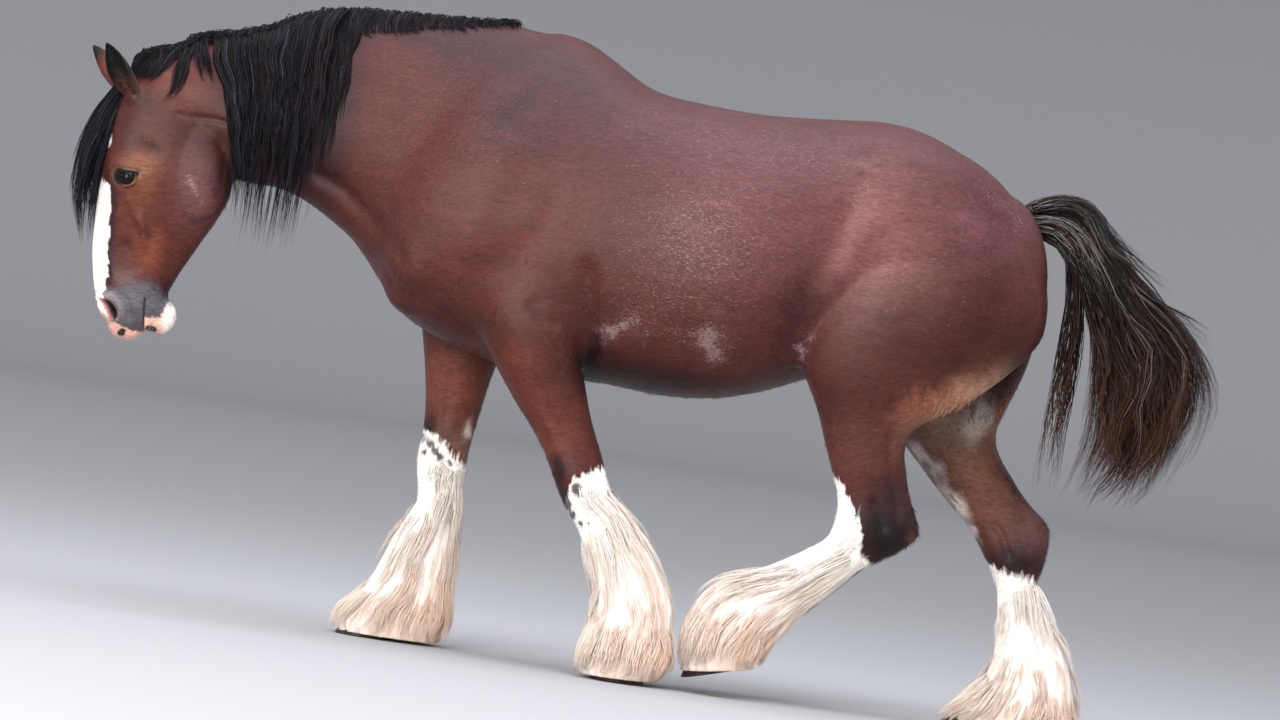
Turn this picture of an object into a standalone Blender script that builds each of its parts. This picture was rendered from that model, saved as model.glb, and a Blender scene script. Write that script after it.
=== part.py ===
"""Clydesdale horse at a walk, a still life-size model that stands on three hooves.

Metres, +Z up. The horse faces -X, and its left side is at -Y. The origin is the middle of its
footprint on the floor. Every section below lies in a plane across the body or a leg, and its
front (or top) and back (or bottom) points are named by what they touch on the real animal.
"""

import math

import bmesh
import bpy
import numpy as np
from mathutils import Matrix, Vector
from mathutils.bvhtree import BVHTree

GAP = 0.0003
HAIR_SOLVER = "MANIFOLD"
BODY_VOXEL = 0.009
HEAD_VOXEL = 0.005
BODY_TRIANGLES = 3700
HEAD_TRIANGLES = 2600
HEAD_SHARE = 0.62
FLOOR_CLEARANCE = 0.004

# A section's row: front or top point (x, z), back or bottom point (x, z), middle y, half width,
# place of the greatest width from front to back, and how square its front and back halves are.
TORSO = (
    (-0.757, 1.16, -0.757, 1.09, 0.0, 0.06, 0.5, 2.0, 2.0),
    (-0.735, 1.27, -0.735, 1.02, 0.0, 0.145, 0.5, 2.1, 2.1),
    (-0.695, 1.38, -0.695, 0.955, 0.0, 0.21, 0.52, 2.1, 2.2),
    (-0.62, 1.52, -0.62, 0.89, 0.0, 0.262, 0.55, 2.0, 2.3),
    (-0.50, 1.66, -0.50, 0.84, 0.0, 0.29, 0.57, 1.9, 2.3),
    (-0.36, 1.735, -0.36, 0.805, 0.0, 0.30, 0.60, 1.7, 2.3),
    (-0.25, 1.73, -0.25, 0.792, 0.0, 0.31, 0.60, 1.7, 2.3),
    (-0.15, 1.68, -0.15, 0.795, 0.0, 0.325, 0.58, 1.9, 2.3),
    (-0.04, 1.622, -0.04, 0.793, 0.0, 0.347, 0.55, 2.1, 2.3),
    (0.10, 1.605, 0.10, 0.785, 0.0, 0.372, 0.53, 2.3, 2.3),
    (0.25, 1.60, 0.25, 0.80, 0.0, 0.375, 0.51, 2.3, 2.2),
    (0.38, 1.608, 0.38, 0.84, 0.0, 0.355, 0.49, 2.3, 2.2),
    (0.50, 1.62, 0.50, 0.895, 0.0, 0.325, 0.46, 2.4, 2.1),
    (0.60, 1.628, 0.60, 0.94, 0.0, 0.32, 0.42, 2.5, 2.0),
    (0.70, 1.617, 0.70, 0.95, 0.0, 0.325, 0.45, 2.5, 2.0),
    (0.80, 1.583, 0.80, 0.95, 0.0, 0.322, 0.48, 2.4, 2.0),
    (0.90, 1.528, 0.90, 0.96, 0.0, 0.305, 0.50, 2.3, 2.0),
    (1.00, 1.46, 1.00, 0.99, 0.0, 0.265, 0.52, 2.2, 2.0),
    (1.06, 1.385, 1.06, 1.02, 0.0, 0.215, 0.54, 2.1, 2.0),
    (1.10, 1.28, 1.10, 1.06, 0.0, 0.15, 0.55, 2.0, 2.0),
    (1.12, 1.20, 1.12, 1.10, 0.0, 0.08, 0.55, 2.0, 2.0),
)
NECK = (
    (-1.425, 1.50, -1.20, 1.24, 0.0, 0.078, 0.50, 2.2, 2.1),
    (-1.36, 1.537, -1.155, 1.205, 0.0, 0.088, 0.52, 2.0, 2.1),
    (-1.25, 1.585, -1.10, 1.197, 0.0, 0.094, 0.55, 1.8, 2.1),
    (-1.12, 1.63, -1.03, 1.195, 0.0, 0.10, 0.58, 1.6, 2.1),
    (-1.00, 1.68, -0.955, 1.172, 0.0, 0.112, 0.60, 1.5, 2.1),
    (-0.88, 1.715, -0.885, 1.135, 0.0, 0.13, 0.62, 1.5, 2.1),
    (-0.74, 1.735, -0.815, 1.09, 0.0, 0.158, 0.63, 1.5, 2.1),
    (-0.59, 1.742, -0.765, 1.04, 0.0, 0.19, 0.64, 1.5, 2.1),
    (-0.43, 1.742, -0.70, 0.97, 0.0, 0.225, 0.64, 1.55, 2.1),
    (-0.29, 1.725, -0.60, 0.93, 0.0, 0.25, 0.62, 1.6, 2.1),
)
HEAD = (
    (-1.415, 1.50, -1.25, 1.46, 0.0, 0.055, 0.45, 2.2, 2.0),
    (-1.455, 1.46, -1.205, 1.41, 0.0, 0.078, 0.42, 2.4, 2.0),
    (-1.490, 1.40, -1.185, 1.355, 0.0, 0.092, 0.38, 2.6, 2.0),
    (-1.508, 1.33, -1.170, 1.30, 0.0, 0.103, 0.36, 2.8, 2.0),
    (-1.517, 1.25, -1.158, 1.23, 0.0, 0.108, 0.33, 3.0, 2.0),
    (-1.521, 1.18, -1.155, 1.16, 0.0, 0.106, 0.30, 3.0, 2.0),
    (-1.523, 1.10, -1.175, 1.10, 0.0, 0.090, 0.36, 2.8, 2.0),
    (-1.522, 1.03, -1.210, 1.03, 0.0, 0.074, 0.42, 2.5, 2.1),
    (-1.518, 0.96, -1.243, 0.965, 0.0, 0.064, 0.46, 2.3, 2.1),
    (-1.508, 0.90, -1.272, 0.905, 0.0, 0.059, 0.48, 2.2, 2.1),
    (-1.496, 0.85, -1.286, 0.862, 0.0, 0.060, 0.46, 2.3, 2.1),
    (-1.478, 0.805, -1.268, 0.822, 0.0, 0.062, 0.46, 2.5, 2.2),
    (-1.455, 0.772, -1.275, 0.787, 0.0, 0.056, 0.48, 2.5, 2.3),
    (-1.425, 0.747, -1.307, 0.762, 0.0, 0.043, 0.50, 2.4, 2.3),
    (-1.398, 0.731, -1.340, 0.748, 0.0, 0.024, 0.50, 2.2, 2.2),
)
# Each leg's rows run from inside the body to the hoof's top edge. LEFT is the near side.
FORELEG_LEFT = (
    (-0.50, 1.12, -0.10, 1.08, -0.180, 0.105, 0.50, 2.0, 2.0),
    (-0.45, 0.95, -0.115, 0.95, -0.200, 0.112, 0.50, 2.1, 2.1),
    (-0.388, 0.84, -0.132, 0.862, -0.205, 0.100, 0.48, 2.2, 2.1),
    (-0.335, 0.765, -0.106, 0.785, -0.205, 0.087, 0.46, 2.2, 2.1),
    (-0.285, 0.70, -0.085, 0.72, -0.205, 0.075, 0.46, 2.2, 2.1),
    (-0.237, 0.645, -0.060, 0.66, -0.204, 0.066, 0.47, 2.2, 2.1),
    (-0.198, 0.59, -0.034, 0.605, -0.203, 0.062, 0.48, 2.3, 2.1),
    (-0.168, 0.535, -0.014, 0.555, -0.202, 0.066, 0.46, 2.5, 2.1),
    (-0.144, 0.49, 0.000, 0.519, -0.201, 0.064, 0.46, 2.5, 2.1),
    (-0.117, 0.445, 0.010, 0.483, -0.200, 0.053, 0.48, 2.3, 2.0),
    (-0.080, 0.40, 0.025, 0.444, -0.200, 0.046, 0.48, 2.1, 2.0),
    (-0.030, 0.30, 0.056, 0.336, -0.199, 0.043, 0.48, 2.1, 2.0),
    (0.000, 0.225, 0.092, 0.258, -0.198, 0.048, 0.48, 2.1, 2.0),
    (0.010, 0.18, 0.130, 0.205, -0.197, 0.058, 0.48, 2.1, 2.0),
    (0.022, 0.135, 0.138, 0.15, -0.196, 0.052, 0.48, 2.1, 2.0),
    (0.012, 0.095, 0.148, 0.085, -0.195, 0.068, 0.46, 2.1, 2.0),
)
FORELEG_RIGHT = (
    (-0.60, 1.12, -0.25, 1.06, 0.180, 0.105, 0.50, 2.0, 2.0),
    (-0.605, 0.95, -0.30, 0.94, 0.200, 0.112, 0.50, 2.1, 2.1),
    (-0.590, 0.865, -0.345, 0.855, 0.205, 0.100, 0.48, 2.2, 2.1),
    (-0.573, 0.79, -0.370, 0.78, 0.205, 0.087, 0.46, 2.2, 2.1),
    (-0.559, 0.715, -0.384, 0.705, 0.205, 0.075, 0.46, 2.2, 2.1),
    (-0.551, 0.655, -0.392, 0.648, 0.204, 0.066, 0.47, 2.2, 2.1),
    (-0.548, 0.60, -0.400, 0.595, 0.203, 0.062, 0.48, 2.3, 2.1),
    (-0.551, 0.55, -0.405, 0.545, 0.202, 0.066, 0.46, 2.5, 2.1),
    (-0.551, 0.50, -0.408, 0.495, 0.201, 0.064, 0.46, 2.5, 2.1),
    (-0.543, 0.455, -0.425, 0.45, 0.200, 0.052, 0.48, 2.3, 2.0),
    (-0.536, 0.41, -0.442, 0.405, 0.200, 0.045, 0.48, 2.1, 2.0),
    (-0.538, 0.31, -0.446, 0.305, 0.199, 0.043, 0.48, 2.1, 2.0),
    (-0.547, 0.24, -0.452, 0.232, 0.198, 0.048, 0.48, 2.1, 2.0),
    (-0.575, 0.19, -0.455, 0.175, 0.197, 0.058, 0.48, 2.1, 2.0),
    (-0.615, 0.145, -0.500, 0.12, 0.196, 0.052, 0.48, 2.1, 2.0),
    (-0.660, 0.095, -0.522, 0.085, 0.195, 0.068, 0.46, 2.1, 2.0),
)
HINDLEG_LEFT = (
    (0.54, 1.44, 1.00, 1.42, -0.150, 0.130, 0.48, 2.1, 2.0),
    (0.505, 1.29, 1.085, 1.26, -0.165, 0.155, 0.48, 2.1, 2.0),
    (0.460, 1.13, 1.112, 1.12, -0.178, 0.155, 0.46, 2.1, 2.0),
    (0.440, 1.01, 1.062, 1.02, -0.188, 0.137, 0.42, 2.1, 2.0),
    (0.465, 0.92, 0.950, 0.905, -0.195, 0.117, 0.42, 2.1, 2.0),
    (0.500, 0.855, 0.865, 0.845, -0.195, 0.101, 0.43, 2.1, 2.0),
    (0.530, 0.795, 0.797, 0.795, -0.192, 0.088, 0.45, 2.1, 2.0),
    (0.555, 0.73, 0.782, 0.74, -0.188, 0.077, 0.46, 2.1, 2.0),
    (0.580, 0.67, 0.797, 0.675, -0.184, 0.068, 0.45, 2.1, 1.9),
    (0.607, 0.605, 0.818, 0.61, -0.180, 0.061, 0.42, 2.2, 1.8),
    (0.617, 0.555, 0.846, 0.55, -0.177, 0.062, 0.38, 2.4, 1.8),
    (0.612, 0.505, 0.846, 0.495, -0.174, 0.063, 0.38, 2.4, 1.8),
    (0.597, 0.47, 0.715, 0.40, -0.170, 0.053, 0.45, 2.3, 2.0),
    (0.550, 0.435, 0.607, 0.345, -0.166, 0.046, 0.48, 2.1, 2.0),
    (0.482, 0.392, 0.531, 0.305, -0.163, 0.043, 0.48, 2.1, 2.0),
    (0.420, 0.355, 0.470, 0.268, -0.160, 0.045, 0.48, 2.1, 2.0),
    (0.352, 0.305, 0.456, 0.232, -0.158, 0.058, 0.48, 2.1, 2.0),
    (0.312, 0.222, 0.430, 0.205, -0.156, 0.052, 0.48, 2.1, 2.0),
    (0.292, 0.135, 0.424, 0.155, -0.155, 0.068, 0.46, 2.1, 2.0),
)
HINDLEG_RIGHT = (
    (0.58, 1.44, 1.00, 1.42, 0.150, 0.130, 0.48, 2.1, 2.0),
    (0.570, 1.29, 1.085, 1.26, 0.165, 0.155, 0.48, 2.1, 2.0),
    (0.565, 1.13, 1.115, 1.12, 0.178, 0.153, 0.46, 2.1, 2.0),
    (0.600, 1.00, 1.100, 1.00, 0.188, 0.132, 0.44, 2.1, 2.0),
    (0.665, 0.885, 1.065, 0.895, 0.192, 0.113, 0.44, 2.1, 2.0),
    (0.735, 0.805, 1.045, 0.82, 0.190, 0.097, 0.45, 2.1, 2.0),
    (0.805, 0.735, 1.062, 0.765, 0.187, 0.085, 0.46, 2.1, 2.0),
    (0.870, 0.67, 1.100, 0.715, 0.184, 0.075, 0.46, 2.1, 2.0),
    (0.930, 0.612, 1.142, 0.665, 0.181, 0.067, 0.45, 2.1, 1.9),
    (0.985, 0.565, 1.188, 0.622, 0.178, 0.061, 0.42, 2.2, 1.8),
    (1.028, 0.515, 1.226, 0.59, 0.175, 0.062, 0.40, 2.4, 1.8),
    (1.058, 0.47, 1.236, 0.535, 0.173, 0.063, 0.40, 2.4, 1.8),
    (1.085, 0.43, 1.228, 0.47, 0.170, 0.054, 0.45, 2.3, 2.0),
    (1.104, 0.385, 1.212, 0.405, 0.166, 0.046, 0.48, 2.1, 2.0),
    (1.113, 0.32, 1.210, 0.325, 0.163, 0.043, 0.48, 2.1, 2.0),
    (1.117, 0.26, 1.218, 0.26, 0.160, 0.045, 0.48, 2.1, 2.0),
    (1.120, 0.20, 1.246, 0.19, 0.158, 0.058, 0.48, 2.1, 2.0),
    (1.105, 0.15, 1.214, 0.13, 0.156, 0.052, 0.48, 2.1, 2.0),
    (1.080, 0.097, 1.198, 0.085, 0.155, 0.066, 0.46, 2.1, 2.0),
)
# The long hair of each lower leg, out to its tips: rows from below the knee or hock to the floor.
FEATHER_FORE_LEFT = (
    (-0.119, 0.445, 0.006, 0.492, -0.200, 0.058, 0.48, 2.1, 2.0),
    (-0.084, 0.40, 0.080, 0.45, -0.200, 0.066, 0.46, 2.1, 2.0),
    (-0.052, 0.345, 0.140, 0.375, -0.199, 0.075, 0.46, 2.1, 2.0),
    (-0.026, 0.285, 0.188, 0.295, -0.198, 0.086, 0.46, 2.1, 2.0),
    (-0.006, 0.22, 0.222, 0.225, -0.197, 0.099, 0.46, 2.2, 2.1),
    (-0.006, 0.15, 0.234, 0.155, -0.196, 0.116, 0.46, 2.2, 2.1),
    (-0.018, 0.09, 0.234, 0.092, -0.195, 0.128, 0.46, 2.2, 2.1),
    (-0.024, 0.042, 0.228, 0.045, -0.195, 0.132, 0.46, 2.2, 2.1),
    (-0.015, 0.006, 0.205, 0.010, -0.195, 0.126, 0.46, 2.2, 2.1),
)
FEATHER_FORE_RIGHT = (
    (-0.545, 0.46, -0.418, 0.456, 0.200, 0.058, 0.48, 2.1, 2.0),
    (-0.553, 0.41, -0.405, 0.41, 0.200, 0.066, 0.50, 2.1, 2.0),
    (-0.570, 0.35, -0.400, 0.35, 0.199, 0.075, 0.50, 2.1, 2.0),
    (-0.594, 0.28, -0.397, 0.28, 0.198, 0.086, 0.50, 2.1, 2.0),
    (-0.622, 0.20, -0.394, 0.20, 0.197, 0.099, 0.50, 2.2, 2.1),
    (-0.655, 0.135, -0.392, 0.13, 0.196, 0.116, 0.50, 2.2, 2.1),
    (-0.696, 0.085, -0.394, 0.078, 0.195, 0.128, 0.50, 2.2, 2.1),
    (-0.716, 0.038, -0.398, 0.034, 0.195, 0.132, 0.50, 2.2, 2.1),
    (-0.712, 0.006, -0.408, 0.006, 0.195, 0.126, 0.50, 2.2, 2.1),
)
FEATHER_HIND_LEFT = (
    (0.597, 0.472, 0.722, 0.405, -0.170, 0.058, 0.48, 2.1, 2.0),
    (0.530, 0.425, 0.658, 0.345, -0.166, 0.066, 0.47, 2.1, 2.0),
    (0.457, 0.380, 0.602, 0.285, -0.163, 0.075, 0.46, 2.1, 2.0),
    (0.388, 0.350, 0.556, 0.235, -0.160, 0.086, 0.46, 2.1, 2.0),
    (0.322, 0.318, 0.517, 0.190, -0.158, 0.099, 0.46, 2.2, 2.1),
    (0.272, 0.255, 0.489, 0.145, -0.156, 0.114, 0.46, 2.2, 2.1),
    (0.256, 0.180, 0.475, 0.115, -0.155, 0.126, 0.46, 2.2, 2.1),
    (0.254, 0.110, 0.469, 0.098, -0.155, 0.130, 0.46, 2.2, 2.1),
    (0.258, 0.060, 0.463, 0.088, -0.155, 0.125, 0.46, 2.2, 2.1),
)
FEATHER_HIND_RIGHT = (
    (1.101, 0.415, 1.236, 0.435, 0.170, 0.058, 0.48, 2.1, 2.0),
    (1.110, 0.365, 1.264, 0.365, 0.166, 0.066, 0.47, 2.1, 2.0),
    (1.115, 0.30, 1.300, 0.30, 0.163, 0.075, 0.46, 2.1, 2.0),
    (1.118, 0.24, 1.332, 0.235, 0.160, 0.086, 0.46, 2.1, 2.0),
    (1.110, 0.18, 1.357, 0.17, 0.158, 0.099, 0.46, 2.2, 2.1),
    (1.084, 0.12, 1.375, 0.11, 0.156, 0.116, 0.48, 2.2, 2.1),
    (1.044, 0.068, 1.384, 0.06, 0.155, 0.128, 0.48, 2.2, 2.1),
    (1.006, 0.030, 1.384, 0.026, 0.155, 0.132, 0.48, 2.2, 2.1),
    (0.998, 0.006, 1.370, 0.006, 0.155, 0.126, 0.48, 2.2, 2.1),
)
# The bone and flesh of the tail, and the whole of its hair out to the tips.
DOCK = (
    (0.93, 1.475, 0.98, 1.36, 0.0, 0.060, 0.5, 2.0, 2.0),
    (1.03, 1.455, 1.07, 1.372, 0.0, 0.046, 0.5, 2.0, 2.0),
    (1.095, 1.462, 1.115, 1.385, 0.0, 0.038, 0.5, 2.0, 2.0),
    (1.155, 1.455, 1.150, 1.380, 0.0, 0.036, 0.5, 2.0, 2.0),
    (1.205, 1.425, 1.175, 1.355, 0.0, 0.034, 0.5, 2.0, 2.0),
    (1.240, 1.370, 1.192, 1.322, 0.0, 0.030, 0.5, 2.0, 2.0),
    (1.255, 1.310, 1.210, 1.290, 0.0, 0.022, 0.5, 2.0, 2.0),
)
TAIL_HAIR = (
    (1.015, 1.462, 1.065, 1.372, 0.0, 0.048, 0.5, 2.0, 2.0),
    (1.060, 1.484, 1.098, 1.362, 0.0, 0.050, 0.5, 2.0, 2.0),
    (1.125, 1.503, 1.130, 1.345, 0.0, 0.056, 0.5, 2.1, 2.1),
    (1.200, 1.487, 1.165, 1.300, 0.0, 0.068, 0.5, 2.1, 2.1),
    (1.280, 1.425, 1.200, 1.235, 0.0, 0.084, 0.5, 2.1, 2.1),
    (1.370, 1.360, 1.235, 1.160, 0.0, 0.098, 0.5, 2.1, 2.1),
    (1.475, 1.265, 1.258, 1.070, 0.0, 0.110, 0.5, 2.1, 2.1),
    (1.570, 1.160, 1.268, 0.980, 0.0, 0.116, 0.5, 2.1, 2.1),
    (1.603, 1.030, 1.270, 0.900, 0.0, 0.116, 0.5, 2.1, 2.1),
    (1.580, 0.910, 1.266, 0.820, 0.0, 0.108, 0.5, 2.1, 2.1),
    (1.545, 0.800, 1.252, 0.745, 0.0, 0.092, 0.5, 2.1, 2.1),
    (1.500, 0.710, 1.250, 0.670, 0.0, 0.045, 0.5, 2.1, 2.1),
)
# A few thin strands that fall straight from the dock, ahead of the rest of the tail.
TAIL_STRANDS = (
    (1.135, 1.430, 1.150, 1.400, 0.0, 0.020, 0.5, 2.0, 2.0),
    (1.150, 1.330, 1.185, 1.320, 0.0, 0.032, 0.5, 2.0, 2.0),
    (1.165, 1.200, 1.215, 1.200, 0.0, 0.050, 0.5, 2.0, 2.0),
    (1.160, 1.050, 1.225, 1.050, 0.0, 0.060, 0.5, 2.0, 2.0),
    (1.155, 0.900, 1.215, 0.900, 0.0, 0.062, 0.5, 2.0, 2.0),
    (1.150, 0.760, 1.205, 0.740, 0.0, 0.060, 0.5, 2.0, 2.0),
    (1.145, 0.660, 1.195, 0.640, 0.0, 0.056, 0.5, 2.0, 2.0),
)
# The hair that falls over the face from between the ears.
FORELOCK = (
    (-1.430, 1.522, -1.400, 1.470, 0.0, 0.026, 0.5, 2.0, 2.0),
    (-1.483, 1.484, -1.435, 1.425, 0.0, 0.032, 0.5, 2.0, 2.0),
    (-1.528, 1.420, -1.460, 1.370, 0.0, 0.038, 0.5, 2.1, 2.1),
    (-1.573, 1.345, -1.480, 1.320, 0.0, 0.055, 0.5, 2.1, 2.1),
    (-1.598, 1.250, -1.500, 1.250, 0.0, 0.075, 0.5, 2.1, 2.1),
    (-1.603, 1.165, -1.505, 1.165, 0.0, 0.075, 0.5, 2.1, 2.1),
    (-1.598, 1.090, -1.508, 1.085, 0.0, 0.062, 0.5, 2.1, 2.1),
    (-1.575, 1.010, -1.510, 1.015, 0.0, 0.042, 0.5, 2.1, 2.1),
    (-1.538, 0.935, -1.508, 0.945, 0.0, 0.016, 0.5, 2.0, 2.0),
)
# Muscles and bones that show under the skin: name, centre (x, y, z), radii, and turn about Y in
# degrees. Each is on both sides unless its y is 0.
RELIEF = (
    ("shoulder_blade", (-0.44, 0.170, 1.30), (0.105, 0.090, 0.33), 28),
    ("shoulder_point", (-0.60, 0.165, 1.08), (0.11, 0.095, 0.13), 0),
    ("upper_arm", (-0.27, 0.222, 1.03), (0.165, 0.082, 0.16), 20),
    ("elbow", (-0.19, 0.215, 0.92), (0.075, 0.055, 0.085), 0),
    ("breast", (-0.615, 0.105, 1.05), (0.105, 0.11, 0.15), 0),
    ("croup", (0.70, 0.15, 1.42), (0.32, 0.155, 0.175), 12),
    ("hip_point", (0.545, 0.255, 1.455), (0.055, 0.05, 0.05), 0),
    ("buttock", (0.965, 0.12, 1.24), (0.14, 0.13, 0.24), -6),
    ("flank", (0.42, 0.175, 1.12), (0.14, 0.12, 0.21), 0),
)
HEAD_RELIEF = (
    ("cheek", (-1.262, 0.060, 1.215), (0.102, 0.042, 0.145), -8),
    ("brow", (-1.448, 0.076, 1.182), (0.058, 0.046, 0.050), 0),
    ("cheek_ridge", (-1.392, 0.058, 1.085), (0.020, 0.030, 0.115), -14),
    ("nostril_rim", (-1.440, 0.042, 0.808), (0.036, 0.034, 0.046), -35),
    ("upper_lip", (-1.388, 0.0, 0.770), (0.056, 0.058, 0.047), -10),
    ("chin", (-1.297, 0.0, 0.800), (0.041, 0.044, 0.049), 10),
)

EYE_CENTRE = Vector((-1.438, 0.092, 1.165))
EYE_RADIUS = 0.027
LID_THICKNESS = 0.0035
EYE_LENGTH = 0.050
EYE_HEIGHT = 0.034
EYE_TILT = math.radians(36)

EAR_ROOT = Vector((-1.458, 0.070, 1.392))
EAR_LENGTH = 0.185
EAR_HALF_WIDTH = 0.033
EAR_SHELL = 0.006
EAR_TIP_LEFT = Vector((-1.554, -0.085, 1.520))
EAR_TIP_RIGHT = Vector((-1.604, 0.085, 1.514))

HOOF_HALF_WIDTH = 0.090
HOOF_ROOM = 0.001
SOLES = {
    "fore_left": ((0.018, 0.0), (0.168, 0.0)),
    "fore_right": ((-0.706, 0.0), (-0.540, 0.0)),
    "hind_left": ((0.264, 0.036), (0.432, 0.086)),
    "hind_right": ((1.000, 0.0), (1.174, 0.0)),
}

# Lines in the side view where the body is parted, each from its upper or front end.
NECK_CUT = ((-0.56, 1.85), (-0.90, 0.95))
LEG_TOP = {"fore": 0.775, "hind": 0.79}
KNEE_CUT = {
    "fore_left": ((-0.117, 0.445), (0.010, 0.483)),
    "fore_right": ((-0.543, 0.455), (-0.425, 0.45)),
    "hind_left": ((0.597, 0.47), (0.715, 0.40)),
    "hind_right": ((1.085, 0.43), (1.228, 0.47)),
}
BETWEEN_PAIRS = 0.24
POLL_CUT = ((-1.275, 2.0), (-1.275, 1.56), (-1.235, 1.40), (-1.19, 1.30), (-1.150, 1.245), (-1.150, 0.6))
TAIL_CUT = ((1.02, 2.0), (1.02, 1.50), (1.09, 1.345), (1.14, 1.345), (1.14, 0.9))

DROOP = 1.1
ROOT_DEPTH = 0.035
# Hair. A lock's half widths and half depths from its root on, as shares of its widest; its tip is a point.
LOCK_WIDTHS = (0.60, 0.90, 1.0, 0.92, 0.70, 0.42)
LOCK_DEPTHS = (1.0, 1.0, 0.95, 0.85, 0.65, 0.42)
# Tiers of feather down a leg: locks, first and last angle from the front, root and tip as shares of the
# way down, half width, half depth. An angle of 180 is the back of the leg.
FEATHER_TIERS = (
    (5, 118, 242, 0.02, 0.52, 0.028, 0.010),
    (7, 75, 285, 0.22, 0.78, 0.035, 0.011),
    (11, 0, 327, 0.46, 1.03, 0.041, 0.012),
)
FEATHER_SHARE = 0.52
TAIL_SHARE = 0.46
MANE_SHARE = 0.62
FEATHER_CORE = 0.014
TAIL_TIERS = (
    (7, 20, 335, 0.0, 0.80, 0.030, 0.012),
    (9, 0, 320, 0.12, 0.99, 0.037, 0.013),
    (9, 5, 330, 0.36, 1.06, 0.031, 0.012),
)
TAIL_CORE = 0.022
STRAND_TIERS = ((4, 60, 300, 0.02, 0.96, 0.011, 0.006),)
FORELOCK_TIERS = (
    (4, 295, 425, 0.10, 0.86, 0.020, 0.009),
    (6, 262, 458, 0.20, 1.02, 0.021, 0.009),
)
FORELOCK_CORE = 0.012
# Mane: first and last crest point of a layer, the x that its ends hang towards, locks, side, length at each
# end, half width, half depth and how far it lies off the skin.
MANE_LAYERS = (
    ((-1.225, 1.610), (-0.980, 1.708), (-1.115, -0.985), 5, -1, (0.54, 0.70), 0.036, 0.011, 0.011),
    ((-1.236, 1.608), (-0.962, 1.716), (-1.130, -0.972), 9, -1, (0.60, 0.74), 0.020, 0.009, 0.022),
    ((-0.935, 1.722), (-0.890, 1.740), (-0.905, -0.880), 2, -1, (0.32, 0.36), 0.014, 0.007, 0.010),
    ((-0.950, 1.718), (-0.610, 1.752), (-0.900, -0.650), 7, 1, (0.46, 0.42), 0.036, 0.012, 0.013),
    ((-1.225, 1.612), (-1.010, 1.698), (-1.150, -0.980), 4, 1, (0.32, 0.42), 0.038, 0.011, 0.012),
)
POLL_LAYERS = (
    ((-1.432, 1.530), (-1.405, 1.545), (-1.445, -1.425), 2, -1, (0.10, 0.12), 0.013, 0.007, 0.010),
    ((-1.340, 1.560), (-1.310, 1.576), (-1.372, -1.340), 2, -1, (0.20, 0.22), 0.012, 0.007, 0.010),
    ((-1.380, 1.548), (-1.310, 1.576), (-1.380, -1.310), 3, 1, (0.16, 0.20), 0.018, 0.008, 0.010),
)
# Sections of an ear: share of its length, half width and half depth as shares of the widest.
EAR_SECTIONS = (
    (0.0, 0.66, 0.60),
    (0.12, 0.74, 0.66),
    (0.25, 0.90, 0.72),
    (0.42, 1.00, 0.74),
    (0.60, 0.92, 0.62),
    (0.76, 0.70, 0.46),
    (0.90, 0.38, 0.28),
    (1.0, 0.06, 0.06),
)
NOSTRIL_CENTRE = (-1.441, 0.064, 0.801)
NOSTRIL_RADII = (0.013, 0.026, 0.034)
NOSTRIL_TURN = -41
# The mouth line: how deep it reaches in from each side and from below, from its corner to the middle.
MOUTH_WIDTH = 0.003
MOUTH_REACH = 0.06
MOUTH_INNER_EDGE = (
    (-1.351, 0.048, 0.842),
    (-1.348, 0.051, 0.810),
    (-1.345, 0.047, 0.785),
    (-1.343, 0.032, 0.767),
    (-1.342, 0.012, 0.757),
)


def through(rows, count):
    """Rows on a smooth curve through the given rows, spread evenly over its spans."""
    rows = np.asarray(rows, float)
    at = np.linspace(0, len(rows) - 1, count)
    span = np.minimum(at.astype(int), len(rows) - 2)
    t = (at - span)[:, None]
    padded = np.vstack([2 * rows[0] - rows[1], rows, 2 * rows[-1] - rows[-2]])
    p0, p1, p2, p3 = (padded[span + k] for k in range(4))
    bend = (2 * p0 - 5 * p1 + 4 * p2 - p3) * t**2
    return 0.5 * (2 * p1 + (p2 - p0) * t + bend + (3 * p1 - p0 - 3 * p2 + p3) * t**3)


def section_rings(rows, angles):
    """Closed rings of points: each half of a section is a quarter-squared ellipse of its own depth."""
    rows = np.asarray(rows, float)
    front, back = rows[:, None, 0:2], rows[:, None, 2:4]
    middle_y, half_width, widest = (rows[:, None, k] for k in (4, 5, 6))
    cosine, sine = np.cos(angles)[None, :], np.sin(angles)[None, :]
    ahead = cosine > 0
    power = 2 / np.where(ahead, rows[:, None, 7], rows[:, None, 8])
    middle = front + widest[..., None] * (back - front)
    reach = np.where(ahead[..., None], front - middle, back - middle)
    side_view = middle + reach * (np.abs(cosine) ** power)[..., None]
    across = middle_y + half_width * np.sign(sine) * np.abs(sine) ** power
    return np.stack([side_view[..., 0], across, side_view[..., 1]], axis=-1)


def closed_mesh(name, rings):
    """A tube through rings of points, its two ends filled, with its faces pointing out."""
    count, around = rings.shape[:2]
    index = np.arange(count * around).reshape(count, around)
    near, far = index[:-1], index[1:]
    quads = np.stack([near, np.roll(near, -1, 1), np.roll(far, -1, 1), far], axis=-1)
    faces = quads.reshape(-1, 4).tolist() + [index[0].tolist(), index[-1][::-1].tolist()]
    mesh = bpy.data.meshes.new(name)
    mesh.from_pydata(rings.reshape(-1, 3).tolist(), [], faces)
    shape = bmesh.new()
    shape.from_mesh(mesh)
    bmesh.ops.recalc_face_normals(shape, faces=shape.faces)
    shape.to_mesh(mesh)
    shape.free()
    return mesh


def loft(name, rows, per_span=3, around=24):
    """A closed body through a table of sections."""
    dense = through(rows, (len(rows) - 1) * per_span + 1)
    angles = np.linspace(0, 2 * math.pi, around, endpoint=False)
    return closed_mesh(name, section_rings(dense, angles))


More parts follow.
